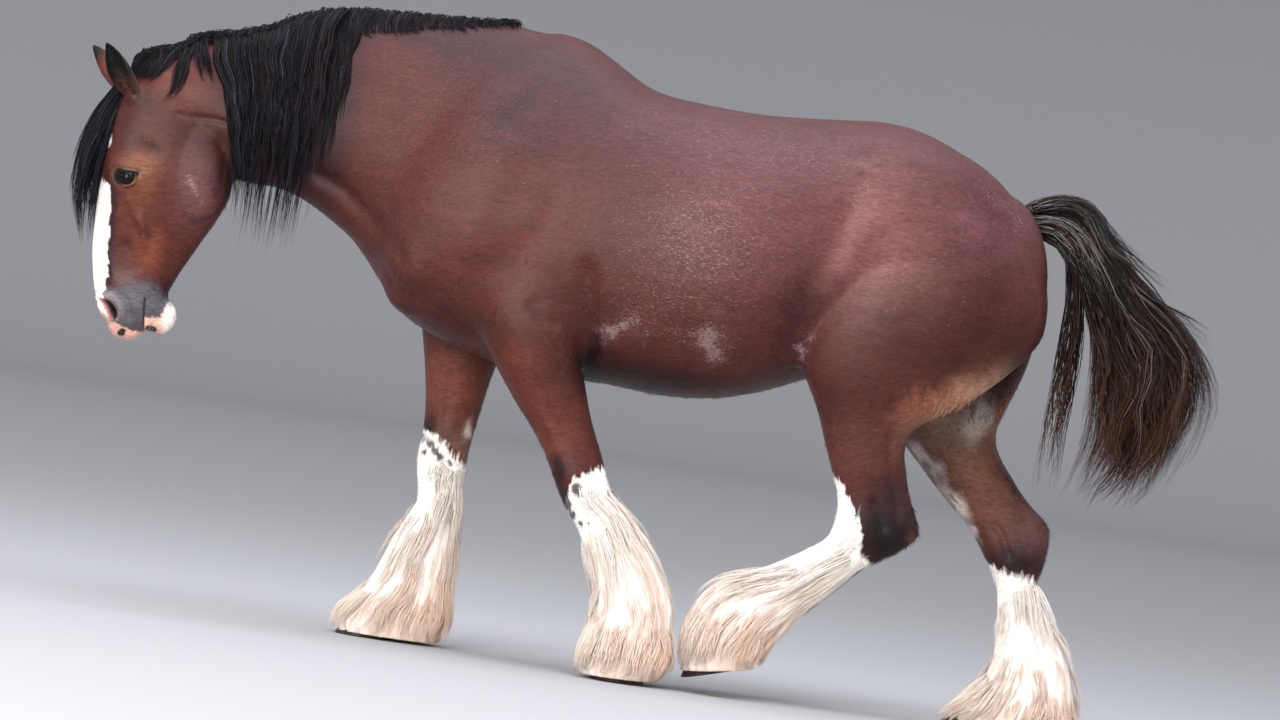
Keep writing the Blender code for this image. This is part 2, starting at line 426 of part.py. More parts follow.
def ellipsoid(name, centre, radii, turn=0.0, detail=3):
    """An ellipsoid turned about the Y axis."""
    shape = bmesh.new()
    bmesh.ops.create_icosphere(shape, subdivisions=detail, radius=1.0)
    turned = Matrix.Rotation(math.radians(turn), 4, "Y") @ Matrix.Diagonal((*radii, 1.0))
    shape.transform(Matrix.Translation(centre) @ turned)
    mesh = bpy.data.meshes.new(name)
    shape.to_mesh(mesh)
    shape.free()
    return mesh


def relief_meshes(table):
    """The ellipsoids of a relief table, mirrored to the far side where they are off the middle."""
    meshes = []
    for name, (x, y, z), radii, turn in table:
        for side in (-1, 1) if y else (1,):
            meshes.append(ellipsoid(name, (x, side * y, z), radii, turn))
    return meshes


def prism(name, outline, low_y, high_y):
    """A cutter: an outline in the side view, carried from one y to another."""
    rings = np.array([[(x, y, z) for x, z in outline] for y in (low_y, high_y)])
    return closed_mesh(name, rings)


def linked(name, mesh):
    """A new object in the scene that holds the mesh."""
    made = bpy.data.objects.new(name, mesh)
    bpy.context.scene.collection.objects.link(made)
    return made


def applied(obj):
    """The object with its modifiers applied to its mesh."""
    graph = bpy.context.evaluated_depsgraph_get()
    result = bpy.data.meshes.new_from_object(obj.evaluated_get(graph))
    obj.modifiers.clear()
    obj.data = result
    return obj


def joined(name, meshes):
    """One object that holds every mesh as a loose shell."""
    shape = bmesh.new()
    for mesh in meshes:
        shape.from_mesh(mesh)
    whole = bpy.data.meshes.new(name)
    shape.to_mesh(whole)
    shape.free()
    return linked(name, whole)


def fused(name, meshes, voxel, rounds):
    """Shells fused into one skin on a fine grid, then smoothed where they meet."""
    body = joined(name, meshes)
    grid = body.modifiers.new("grid", "REMESH")
    grid.mode = "VOXEL"
    grid.voxel_size = voxel
    soften = body.modifiers.new("soften", "SMOOTH")
    soften.factor = 0.5
    soften.iterations = rounds
    return applied(body)


def thinned(obj, triangles):
    """The object with its faces merged down to about that many triangles."""
    obj.data.calc_loop_triangles()
    fewer = obj.modifiers.new("fewer", "DECIMATE")
    fewer.ratio = min(1.0, triangles / len(obj.data.loop_triangles))
    fewer.use_collapse_triangulate = True
    return applied(obj)


def sparser(obj, share):
    """The object with that share of its triangles, the smallest slivers merged first."""
    obj.data.calc_loop_triangles()
    return thinned(obj, share * len(obj.data.loop_triangles))


def largest_surface(obj):
    """Keeps the closed surface that holds the most, and drops loose scraps and sealed hollows."""
    shape = bmesh.new()
    shape.from_mesh(obj.data)
    bmesh.ops.triangulate(shape, faces=shape.faces)
    unseen = set(shape.faces)
    islands = []
    while unseen:
        island, edge = set(), [unseen.pop()]
        while edge:
            face = edge.pop()
            island.add(face)
            found = {other for side in face.edges for other in side.link_faces} & unseen
            unseen -= found
            edge.extend(found)
        islands.append(island)
    def volume(island):
        return abs(sum(a.dot(b.cross(c)) for a, b, c in ([v.co for v in f.verts] for f in island)))
    kept = max(islands, key=volume)
    bmesh.ops.delete(shape, geom=[f for f in shape.faces if f not in kept], context="FACES")
    shape.to_mesh(obj.data)
    shape.free()
    return obj


def combined(obj, mesh, operation, solver="EXACT"):
    """The object cut by, kept inside, or joined with a closed mesh."""
    other = linked("cutter", mesh)
    change = obj.modifiers.new("change", "BOOLEAN")
    change.operation = operation
    change.object = other
    change.solver = solver
    applied(obj)
    bpy.data.objects.remove(other)
    return obj


def copied(obj, name):
    """A separate object with a copy of the mesh."""
    return linked(name, obj.data.copy())


def grown_with(obj, meshes, solver="EXACT"):
    """The object joined with every mesh in one Boolean union."""
    group = bpy.data.collections.new("pieces")
    bpy.context.scene.collection.children.link(group)
    for mesh in meshes:
        group.objects.link(bpy.data.objects.new(mesh.name, mesh))
    union = obj.modifiers.new("union", "BOOLEAN")
    union.operation = "UNION"
    union.operand_type = "COLLECTION"
    union.collection = group
    union.solver = solver
    applied(obj)
    for piece in list(group.objects):
        bpy.data.objects.remove(piece)
    bpy.data.collections.remove(group)
    return largest_surface(obj)


def hoof_sections(row, toe, heel):
    """The hoof from its sole, between toe and heel points, up to its top edge under a leg's last section."""
    front, back, middle_y = np.array(row[0:2]), np.array(row[2:4]), row[4]
    down = np.array([toe[0] - front[0], toe[1] - front[1]])
    drop = GAP * down / np.linalg.norm(down)
    top = (*(front + drop), *(back + drop), middle_y, 0.074, 0.46, 2.2, 2.0)
    sole = (*toe, *heel, middle_y, HOOF_HALF_WIDTH, 0.46, 2.2, 2.2)
    return [top, sole]


def paint(obj, colour, roughness):
    """A plain coat of one colour, with round faces shaded smooth."""
    material = bpy.data.materials.new(obj.name + "_finish")
    material.use_nodes = True
    surface = material.node_tree.nodes["Principled BSDF"]
    surface.inputs["Base Color"].default_value = (*colour, 1.0)
    surface.inputs["Roughness"].default_value = roughness
    surface.inputs["Metallic"].default_value = 0.0
    obj.data.materials.clear()
    obj.data.materials.append(material)
    obj.data.shade_smooth()
    obj.data.set_sharp_from_angle(angle=math.radians(40))
    return obj


def beside(line, side, low_y=-1.0, high_y=1.0, reach=3.0):
    """A cutter that holds all of one side of a line in the side view, half a gap away from it."""
    start, end = np.array(line[0], float), np.array(line[1], float)
    along = (end - start) / np.linalg.norm(end - start)
    across = side * np.array([-along[1], along[0]])
    first, last = start - reach * along + across * GAP / 2, end + reach * along + across * GAP / 2
    return prism("region", (first, last, last + reach * across, first + reach * across), low_y, high_y)


def behind(line, shift):
    """A cutter that holds all that is behind a bent line in the side view, moved back by a shift."""
    outline = [(x + shift, z) for x, z in line]
    return prism("region", outline + [(3.0, outline[-1][1]), (3.0, outline[0][1])], -1.0, 1.0)


def ahead(line):
    """A cutter that holds all that is ahead of a bent line in the side view, and all that is below it."""
    below = [(3.0, line[-1][1]), (3.0, -1.0), (-3.0, -1.0), (-3.0, line[0][1])]
    return prism("region", [*line, *below], -1.0, 1.0)


def cut_out(name, whole, regions):
    """The part of the whole body that lies in every region."""
    piece = copied(whole, name)
    for region in regions:
        combined(piece, region, "INTERSECT")
    return largest_surface(piece)


def surface_tree(obj):
    """A search tree of the object's surface."""
    shape = bmesh.new()
    shape.from_mesh(obj.data)
    tree = BVHTree.FromBMesh(shape)
    shape.free()
    return tree


def draped(start, heading, lengths, lift, tree, pull):
    """A path that falls from a start point and lies on the skin, each point a lift outside it."""
    point, heading = Vector(start), Vector(heading).normalized()
    path = [point.copy()]
    for length, height in zip(lengths, lift):
        heading = (heading + DROOP * pull).normalized()
        point = point + heading * length
        near, normal, _, distance = tree.find_nearest(point)
        inside = (point - near).dot(normal) < 0
        if inside or distance < height:
            point = near + normal * height
            heading = (point - path[-1]).normalized()
        path.append(point.copy())
    return path


def lock(path, normals, half_width, half_depth):
    """A flat tapered lock along a path: a four-sided tube, wide across the lie, that ends in a point."""
    path, normals = np.asarray(path, float), np.asarray(normals, float)
    along = np.gradient(path, axis=0)
    side = np.cross(along, normals)
    side /= np.linalg.norm(side, axis=1, keepdims=True)
    out = np.cross(side, along)
    out /= np.linalg.norm(out, axis=1, keepdims=True)
    count = len(path) - 1
    stations = np.linspace(0, len(LOCK_WIDTHS) - 1, count)
    wide = half_width * np.interp(stations, range(len(LOCK_WIDTHS)), LOCK_WIDTHS)[:, None]
    deep = half_depth * np.interp(stations, range(len(LOCK_DEPTHS)), LOCK_DEPTHS)[:, None]
    body, side, out = path[:-1], side[:-1], out[:-1]
    rings = np.stack([body + side * wide, body + out * deep, body - side * wide, body - out * deep], axis=1)
    index = np.arange(count * 4).reshape(count, 4)
    quads = np.stack([index[:-1], np.roll(index[:-1], -1, 1), np.roll(index[1:], -1, 1), index[1:]], axis=-1)
    tip = count * 4
    fan = [[a, b, tip] for a, b in zip(index[-1].tolist(), np.roll(index[-1], -1).tolist())]
    points = [*rings.reshape(-1, 3).tolist(), path[-1].tolist()]
    mesh = bpy.data.meshes.new("lock")
    mesh.from_pydata(points, [], quads.reshape(-1, 4).tolist() + [index[0].tolist()] + fan)
    shape = bmesh.new()
    shape.from_mesh(mesh)
    bmesh.ops.recalc_face_normals(shape, faces=shape.faces)
    bmesh.ops.triangulate(shape, faces=shape.faces)
    shape.to_mesh(mesh)
    shape.free()
    return mesh


def combed(rows, tiers, stations, rng, sink=0.028, floor=None):
    """Tiers of locks that lie along a form, each with its root sunk in and its tip at the form's surface."""
    dense = through(rows, 161)
    locks = []
    for count, first, last, start, end, half_width, half_depth in tiers:
        for angle in np.linspace(first, last, count):
            angle = math.radians(angle + rng.uniform(-5, 5))
            begin = start + rng.uniform(-0.02, 0.03)
            finish = end - abs(rng.normal(0.0, 0.045))
            shares = np.linspace(max(begin, 0.0), finish, stations)
            drift = rng.uniform(-0.16, 0.16)
            angles = angle + drift * np.linspace(0, 1, stations) ** 1.4
            at = shares * (len(dense) - 1)
            rows_here = np.array([np.interp(at, range(len(dense)), column) for column in dense.T]).T
            past = np.maximum(shares - 1.0, 0.0)[:, None]
            rows_here += past * (len(dense) - 1) * (dense[-1] - dense[-2])
            rows_here[:, 7:] = dense[0, 7:]
            points = section_rings(rows_here, angles)[range(stations), range(stations)]
            middle = np.array([[(r[0] + r[2]) / 2, r[4], (r[1] + r[3]) / 2] for r in rows_here])
            normals = points - middle
            normals /= np.linalg.norm(normals, axis=1, keepdims=True)
            depth = np.full(stations, half_depth)
            depth[0] = sink
            depth[1:] += rng.uniform(-0.3, 0.5) * half_depth
            depth[-1] += rng.uniform(-0.6, 1.0) * half_depth
            points = points - normals * depth[:, None]
            if floor is not None:
                points[:, 2] = np.maximum(points[:, 2], floor)
            locks.append(lock(points, normals, half_width * rng.uniform(0.85, 1.2), half_depth))
    return locks


def shrunk(rows, by):
    """A form's rows drawn in on every side by the same distance."""
    rows = np.array(rows, float)
    reach = rows[:, 2:4] - rows[:, 0:2]
    step = by * reach / np.linalg.norm(reach, axis=1, keepdims=True)
    rows[:, 0:2] += step
    rows[:, 2:4] -= step
    rows[:, 5] = np.maximum(rows[:, 5] - by, 0.4 * rows[:, 5])
    return rows


def hanging(layers, tree, rng, stations=7):
    """Layers of locks that leave the crest, turn down and lie on the neck."""
    locks = []
    for first, last, ends, count, side, lengths, half_width, half_depth, lift in layers:
        for share in np.linspace(0, 1, count):
            x, z = (a + share * (b - a) for a, b in zip(first, last))
            length = (lengths[0] + share * (lengths[1] - lengths[0])) * rng.uniform(0.86, 1.04)
            lean = (ends[0] + share * (ends[1] - ends[0]) - x) / length
            pull = Vector((lean + rng.uniform(-0.05, 0.05), 0.0, -1.0)).normalized()
            shares = np.linspace(0.5, 1.0, stations - 2)
            steps = length * shares / shares.sum()
            x += rng.uniform(-0.006, 0.006)
            root = Vector((x, 0.004 * side, z - ROOT_DEPTH))
            over = Vector((x, 0.022 * side, z - half_depth))
            lifts = [lift + half_depth] * len(steps)
            path = [root, *draped(over, (0.0, 0.8 * side, -0.6), steps, lifts, tree, pull)]
            normals = [tree.find_nearest(p)[1] for p in path]
            normals[0] = normals[1] = Vector((0.0, 0.5 * side, 1.0))
            locks.append(lock([tuple(p) for p in path], [tuple(n) for n in normals],
                              half_width * rng.uniform(0.85, 1.2), half_depth))
    return locks


def hoof(name, row, toe, heel, grow=0.0):
    """A hoof under a leg's last section, down to its sole; grown, it is the room that it needs."""
    top, sole = hoof_sections(row, toe, heel)
    rows = np.array([top, sole])
    reach = rows[:, 2:4] - rows[:, 0:2]
    out = grow * reach / np.linalg.norm(reach, axis=1, keepdims=True)
    rows[:, 0:2] -= out
    rows[:, 2:4] += out
    rows[:, 5] += grow
    if grow:
        down = rows[1] - rows[0]
        down[4:] = 0.0
        rows = np.vstack([rows[0] - down * GAP / np.linalg.norm(down[0:2]), rows[1], rows[1] + down])
    angles = np.linspace(0, 2 * math.pi, 20, endpoint=False)
    return closed_mesh(name, section_rings(rows, angles))


def eyeball(side, grow=0.0):
    """A round eye in the side of the head; grown, it is the socket."""
    x, y, z = EYE_CENTRE
    return ellipsoid("eye", (x, side * y, z), (EYE_RADIUS + grow,) * 3, detail=2)


def eyelids(side):
    """Lids: a round shell a little larger than the eye."""
    x, y, z = EYE_CENTRE
    return ellipsoid("lids", (x, side * y, z), (EYE_RADIUS + LID_THICKNESS,) * 3, detail=2)


def eye_opening(side):
    """The room between the lids: a tilted almond that faces out and a little forward."""
    x, y, z = EYE_CENTRE
    centre = Vector((x, side * y, z))
    look = Vector((-0.30, side, 0.06)).normalized()
    along = Vector((math.cos(EYE_TILT), 0.0, math.sin(EYE_TILT)))
    along = (along - look * along.dot(look)).normalized()
    up = look.cross(along) * side
    angles = np.linspace(0, 2 * math.pi, 16, endpoint=False)
    rings = []
    for distance, spread in ((0.30 * EYE_RADIUS, 0.92), (EYE_RADIUS, 1.0), (1.8 * EYE_RADIUS, 1.35)):
        rings.append([tuple(centre + look * distance + along * (spread * EYE_LENGTH / 2 * math.cos(a))
                            + up * (spread * EYE_HEIGHT / 2 * math.sin(a) * abs(math.sin(a)) ** 0.2))
                      for a in angles])
    return closed_mesh("opening", np.array(rings))


def nostril(side):
    """A long oval opening in the side of the muzzle, slanting down and back."""
    x, y, z = NOSTRIL_CENTRE
    return ellipsoid("nostril", (x, side * y, z), NOSTRIL_RADII, NOSTRIL_TURN, detail=2)


def mouth_slit():
    """The line between the lips: a thin U-shaped slot across the muzzle, open at its outer edge."""
    half = np.array(MOUTH_INNER_EDGE)
    inner = through(np.vstack([half * (1, -1, 1), (half * (1, 1, 1))[::-1]]), 19)
    centre = np.array((inner[:, 0].mean(), 0.0, half[1][2]))
    out = (inner - centre) * (0, 1, 1)
    out[:, 2] = np.minimum(out[:, 2], 0.0)
    outer = inner + MOUTH_REACH * out / np.linalg.norm(out, axis=1, keepdims=True)
    wide = np.array((MOUTH_WIDTH / 2, 0.0, 0.0))
    return closed_mesh("mouth", np.stack([inner - wide, inner + wide, outer + wide, outer - wide], axis=1))


def ear_frame(side, tip):
    """The ear's line from root to tip, and the unit directions along, across and out of its opening."""
    root = Vector((EAR_ROOT.x, side * EAR_ROOT.y, EAR_ROOT.z))
    along = (tip - root).normalized()
    opening = Vector((-0.55, 0.80 * side, 0.0))
    opening = (opening - along * opening.dot(along)).normalized()
    return root, along, along.cross(opening), opening


def ear_cup(side, tip, grow=0.0):
    """The ear's outer form: a leaf, widest a third of the way up, bent a little towards its opening."""
    root, along, across, opening = ear_frame(side, tip)
    length = (tip - root).length
    angles = np.linspace(0, 2 * math.pi, 12, endpoint=False)
    rings = []
    for share, width, depth in EAR_SECTIONS:
        reach = length * share if share else -0.3 * grow
        middle = root + along * reach + opening * (0.010 * math.sin(math.pi * share))
        rings.append([tuple(middle + across * ((EAR_HALF_WIDTH * width + grow) * math.cos(a))
                            + opening * ((EAR_HALF_WIDTH * depth + grow) * math.sin(a))) for a in angles])
    return closed_mesh("ear", np.array(rings))


def ear_hollow(side, tip):
    """The room inside an ear, open along its front."""
    root, along, across, opening = ear_frame(side, tip)
    length = (tip - root).length
    angles = np.linspace(0, 2 * math.pi, 10, endpoint=False)
    rings = []
    for share, width, depth in EAR_SECTIONS[2:-1]:
        wide = max(EAR_HALF_WIDTH * width - EAR_SHELL, 0.002) * 0.94
        deep = max(EAR_HALF_WIDTH * depth - EAR_SHELL, 0.002)
        shift = opening * (0.010 * math.sin(math.pi * share) + EAR_SHELL + 0.55 * deep)
        middle = root + along * (length * (0.06 + 0.93 * share)) + shift
        rings.append([tuple(middle + across * (wide * math.cos(a)) + opening * (1.45 * deep * math.sin(a)))
                      for a in angles])
    return closed_mesh("hollow", np.array(rings))


for item in list(bpy.data.objects):
    bpy.data.objects.remove(item)

# The body is one skin from the muzzle to the dock and down to the hooves' top edges.
LEGS = {
    "fore_left": (FORELEG_LEFT, FEATHER_FORE_LEFT),
    "fore_right": (FORELEG_RIGHT, FEATHER_FORE_RIGHT),
    "hind_left": (HINDLEG_LEFT, FEATHER_HIND_LEFT),
    "hind_right": (HINDLEG_RIGHT, FEATHER_HIND_RIGHT),
}
forms = [loft("form", rows, 3, 36) for rows in (TORSO, NECK, HEAD, DOCK)]
forms += [loft("form", leg, 3, 28) for leg, _ in LEGS.values()]
hair = np.random.default_rng(11)
body = thinned(fused("body", forms + relief_meshes(RELIEF), BODY_VOXEL, 10), BODY_TRIANGLES)
skin = surface_tree(body)

above_legs = prism("region", ((-3, LEG_TOP["fore"]), (BETWEEN_PAIRS, LEG_TOP["fore"]),
                              (BETWEEN_PAIRS, LEG_TOP["hind"]), (3, LEG_TOP["hind"]), (3, 3), (-3, 3)), -1, 1)
torso = cut_out("torso", body, [above_legs, beside(NECK_CUT, 1), ahead(TAIL_CUT)])
neck = cut_out("neck", body, [above_legs, beside(NECK_CUT, -1)])
tail = cut_out("tail", body, [behind(TAIL_CUT, -0.03)])
paint(torso, (0.19, 0.085, 0.045), 0.55)

parts = {}
for place, (leg, feather) in LEGS.items():
    pair, side = place.split("_")
    ends = (-3.0, BETWEEN_PAIRS) if pair == "fore" else (BETWEEN_PAIRS, 3.0)
    level = LEG_TOP[pair] - GAP
    box = prism("region", ((ends[0], -1), (ends[1], -1), (ends[1], level), (ends[0], level)),
                *((-1.0, 0.0) if side == "left" else (0.0, 1.0)))
    own = cut_out("leg", body, [box])
    upper = cut_out(f"{place}_upper", own, [beside(KNEE_CUT[place], 1)])
    lower = own
    lower.name = f"{place}_lower"
    locks = combed(feather, FEATHER_TIERS, 5, hair, floor=FLOOR_CLEARANCE)
    core = loft("feather", shrunk(feather, FEATHER_CORE)[:-2], 1, 14)
    grown_with(lower, [core, *locks], HAIR_SOLVER)
    sparser(lower, FEATHER_SHARE)
    combined(lower, beside(KNEE_CUT[place], -1), "INTERSECT", "MANIFOLD")
    combined(lower, hoof("room", leg[-1], *SOLES[place], grow=HOOF_ROOM), "DIFFERENCE", "MANIFOLD")
    largest_surface(lower)
    lower.name = f"{place}_lower"
    foot = linked(f"hoof_{place}", hoof("hoof", leg[-1], *SOLES[place]))
    paint(upper, (0.16, 0.065, 0.035), 0.55)
    paint(lower, (0.72, 0.68, 0.60), 0.65)
    paint(foot, (0.13, 0.11, 0.09), 0.5)

# The head is made again on a finer grid, with the top of the neck so that both parts match at the poll.
head_forms = [loft("form", HEAD, 4, 44), loft("form", NECK[:5], 3, 36)]
head_forms += relief_meshes(HEAD_RELIEF)
head_whole = thinned(fused("head_whole", head_forms, HEAD_VOXEL, 6), HEAD_TRIANGLES)
forelock = combed(FORELOCK, FORELOCK_TIERS, 6, hair, sink=0.016)
poll_locks = hanging(POLL_LAYERS, skin, hair, 5)
forelock_core = loft("forelock", shrunk(FORELOCK, FORELOCK_CORE), 1, 12)
grown_with(head_whole, [forelock_core, *forelock, *poll_locks], HAIR_SOLVER)
sparser(head_whole, HEAD_SHARE)
head = cut_out("head", head_whole, [ahead(POLL_CUT)])
bpy.data.objects.remove(head_whole)
bpy.data.objects.remove(body)

for side in (-1, 1):
    grown_with(head, [eyelids(side)])
    combined(head, eye_opening(side), "DIFFERENCE")
    combined(head, eyeball(side, GAP), "DIFFERENCE")
    combined(head, nostril(side), "DIFFERENCE")
combined(head, mouth_slit(), "DIFFERENCE")
for label, side, tip in (("left", -1, EAR_TIP_LEFT), ("right", 1, EAR_TIP_RIGHT)):
    combined(head, ear_cup(side, tip, GAP), "DIFFERENCE")
    ear = linked(f"ear_{label}", ear_cup(side, tip))
    combined(ear, ear_hollow(side, tip), "DIFFERENCE")
    eye = linked(f"eye_{label}", eyeball(side))
    paint(ear, (0.05, 0.035, 0.03), 0.6)
    paint(eye, (0.012, 0.008, 0.006), 0.08)
largest_surface(head)

grown_with(neck, hanging(MANE_LAYERS, skin, hair, 6), HAIR_SOLVER)
sparser(neck, MANE_SHARE)
combined(neck, beside(NECK_CUT, -1), "INTERSECT", "MANIFOLD")
combined(neck, behind(POLL_CUT, 1.3 * GAP), "INTERSECT", "MANIFOLD")
largest_surface(neck)
tail_locks = combed(TAIL_HAIR, TAIL_TIERS, 7, hair)
tail_locks += combed(TAIL_STRANDS, STRAND_TIERS, 7, hair, sink=0.006)
tail_core = loft("tail_hair", shrunk(TAIL_HAIR, TAIL_CORE)[:-3], 1, 14)
grown_with(tail, [tail_core, *tail_locks], HAIR_SOLVER)
sparser(tail, TAIL_SHARE)
combined(tail, behind((*TAIL_CUT, (TAIL_CUT[-1][0], 0.5)), 1.3 * GAP), "INTERSECT", "MANIFOLD")
largest_surface(tail)
paint(head, (0.17, 0.075, 0.045), 0.55)
paint(neck, (0.16, 0.07, 0.04), 0.55)
paint(tail, (0.035, 0.03, 0.03), 0.6)
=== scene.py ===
"""Clydesdale horse at a walk, as a museum's life-size model: hide, eyes, ears, hooves and all its hair.

Metres, +Z up. The horse faces -X and its near side is at -Y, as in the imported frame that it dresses.
"""

import math

import bmesh
import bpy
import mathutils
import numpy as np
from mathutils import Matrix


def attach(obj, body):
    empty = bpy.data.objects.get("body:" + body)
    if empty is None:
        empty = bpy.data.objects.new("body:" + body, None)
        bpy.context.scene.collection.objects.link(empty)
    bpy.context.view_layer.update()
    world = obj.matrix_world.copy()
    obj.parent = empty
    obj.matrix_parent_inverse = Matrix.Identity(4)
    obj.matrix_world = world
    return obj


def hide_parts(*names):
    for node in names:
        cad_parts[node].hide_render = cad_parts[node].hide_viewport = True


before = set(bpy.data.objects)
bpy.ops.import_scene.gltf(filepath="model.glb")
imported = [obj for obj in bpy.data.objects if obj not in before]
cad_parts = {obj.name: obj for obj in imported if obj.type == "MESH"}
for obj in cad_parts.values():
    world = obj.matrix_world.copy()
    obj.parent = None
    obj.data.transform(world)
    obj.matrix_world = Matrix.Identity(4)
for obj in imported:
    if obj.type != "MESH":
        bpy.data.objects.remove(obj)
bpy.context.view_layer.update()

# The hide
# Skin and short coat over muscle and bone, one piece from the lips to the tail and the hooves. It is
# worked out as sections across the trunk, neck, head and legs, drawn in by the depth of the coat, and
# fused on a fine grid, and then the muscles, creases, lids, nostrils and lips are raised or sunk in it.

COAT_DEPTH = 0.003
GRID = 0.006
HIDE_TRIANGLES = 186000

# A section's row: front or top point (x, z), back or bottom point (x, z), middle y, half width,
# place of the greatest width from front to back, and how square its front and back halves are.
TORSO = (
    (-0.757, 1.16, -0.757, 1.09, 0.0, 0.06, 0.5, 2.0, 2.0),
    (-0.735, 1.27, -0.735, 1.02, 0.0, 0.145, 0.5, 2.1, 2.1),
    (-0.695, 1.38, -0.695, 0.955, 0.0, 0.21, 0.52, 2.1, 2.2),
    (-0.62, 1.52, -0.62, 0.89, 0.0, 0.262, 0.55, 2.0, 2.3),
    (-0.5, 1.66, -0.5, 0.84, 0.0, 0.29, 0.57, 1.9, 2.3),
    (-0.36, 1.735, -0.36, 0.805, 0.0, 0.3, 0.6, 1.7, 2.3),
    (-0.25, 1.73, -0.25, 0.792, 0.0, 0.31, 0.6, 1.7, 2.3),
    (-0.15, 1.68, -0.15, 0.795, 0.0, 0.325, 0.58, 1.9, 2.3),
    (-0.04, 1.622, -0.04, 0.793, 0.0, 0.347, 0.55, 2.1, 2.3),
    (0.1, 1.605, 0.1, 0.785, 0.0, 0.372, 0.53, 2.3, 2.3),
    (0.25, 1.6, 0.25, 0.8, 0.0, 0.375, 0.51, 2.3, 2.2),
    (0.38, 1.608, 0.38, 0.84, 0.0, 0.355, 0.49, 2.3, 2.2),
    (0.5, 1.62, 0.5, 0.895, 0.0, 0.325, 0.46, 2.4, 2.1),
    (0.6, 1.628, 0.6, 0.94, 0.0, 0.32, 0.42, 2.5, 2.0),
    (0.7, 1.617, 0.7, 0.95, 0.0, 0.325, 0.45, 2.5, 2.0),
    (0.8, 1.583, 0.8, 0.95, 0.0, 0.322, 0.48, 2.4, 2.0),
    (0.9, 1.528, 0.9, 0.96, 0.0, 0.305, 0.5, 2.3, 2.0),
    (1.0, 1.46, 1.0, 0.99, 0.0, 0.265, 0.52, 2.2, 2.0),
    (1.06, 1.385, 1.06, 1.02, 0.0, 0.215, 0.54, 2.1, 2.0),
    (1.1, 1.28, 1.1, 1.06, 0.0, 0.15, 0.55, 2.0, 2.0),
    (1.12, 1.2, 1.12, 1.1, 0.0, 0.08, 0.55, 2.0, 2.0),
)
NECK = (
    (-1.425, 1.5, -1.2, 1.24, 0.0, 0.078, 0.5, 2.2, 2.1),
    (-1.36, 1.537, -1.155, 1.205, 0.0, 0.088, 0.52, 2.0, 2.1),
    (-1.25, 1.585, -1.1, 1.197, 0.0, 0.094, 0.55, 1.8, 2.1),
    (-1.12, 1.63, -1.03, 1.195, 0.0, 0.1, 0.58, 1.6, 2.1),
    (-1.0, 1.68, -0.955, 1.172, 0.0, 0.112, 0.6, 1.5, 2.1),
    (-0.88, 1.715, -0.885, 1.135, 0.0, 0.13, 0.62, 1.5, 2.1),
    (-0.74, 1.735, -0.815, 1.09, 0.0, 0.158, 0.63, 1.5, 2.1),
    (-0.59, 1.742, -0.765, 1.04, 0.0, 0.19, 0.64, 1.5, 2.1),
    (-0.43, 1.742, -0.7, 0.97, 0.0, 0.225, 0.64, 1.55, 2.1),
    (-0.29, 1.725, -0.6, 0.93, 0.0, 0.25, 0.62, 1.6, 2.1),
)
HEAD = (
    (-1.415, 1.5, -1.25, 1.46, 0.0, 0.055, 0.45, 2.2, 2.0),
    (-1.455, 1.46, -1.205, 1.41, 0.0, 0.078, 0.42, 2.4, 2.0),
    (-1.49, 1.4, -1.185, 1.355, 0.0, 0.092, 0.38, 2.6, 2.0),
    (-1.508, 1.33, -1.17, 1.3, 0.0, 0.103, 0.36, 2.8, 2.0),
    (-1.517, 1.25, -1.158, 1.23, 0.0, 0.108, 0.33, 3.0, 2.0),
    (-1.521, 1.18, -1.155, 1.16, 0.0, 0.106, 0.3, 3.0, 2.0),
    (-1.523, 1.1, -1.175, 1.1, 0.0, 0.09, 0.36, 2.8, 2.0),
    (-1.522, 1.03, -1.21, 1.03, 0.0, 0.074, 0.42, 2.5, 2.1),
    (-1.518, 0.96, -1.243, 0.965, 0.0, 0.064, 0.46, 2.3, 2.1),
    (-1.508, 0.9, -1.272, 0.905, 0.0, 0.059, 0.48, 2.2, 2.1),
    (-1.496, 0.85, -1.286, 0.862, 0.0, 0.06, 0.46, 2.3, 2.1),
    (-1.478, 0.805, -1.268, 0.822, 0.0, 0.062, 0.46, 2.5, 2.2),
    (-1.455, 0.772, -1.275, 0.787, 0.0, 0.056, 0.48, 2.5, 2.3),
    (-1.425, 0.747, -1.307, 0.762, 0.0, 0.043, 0.5, 2.4, 2.3),
    (-1.398, 0.731, -1.34, 0.748, 0.0, 0.024, 0.5, 2.2, 2.2),
)
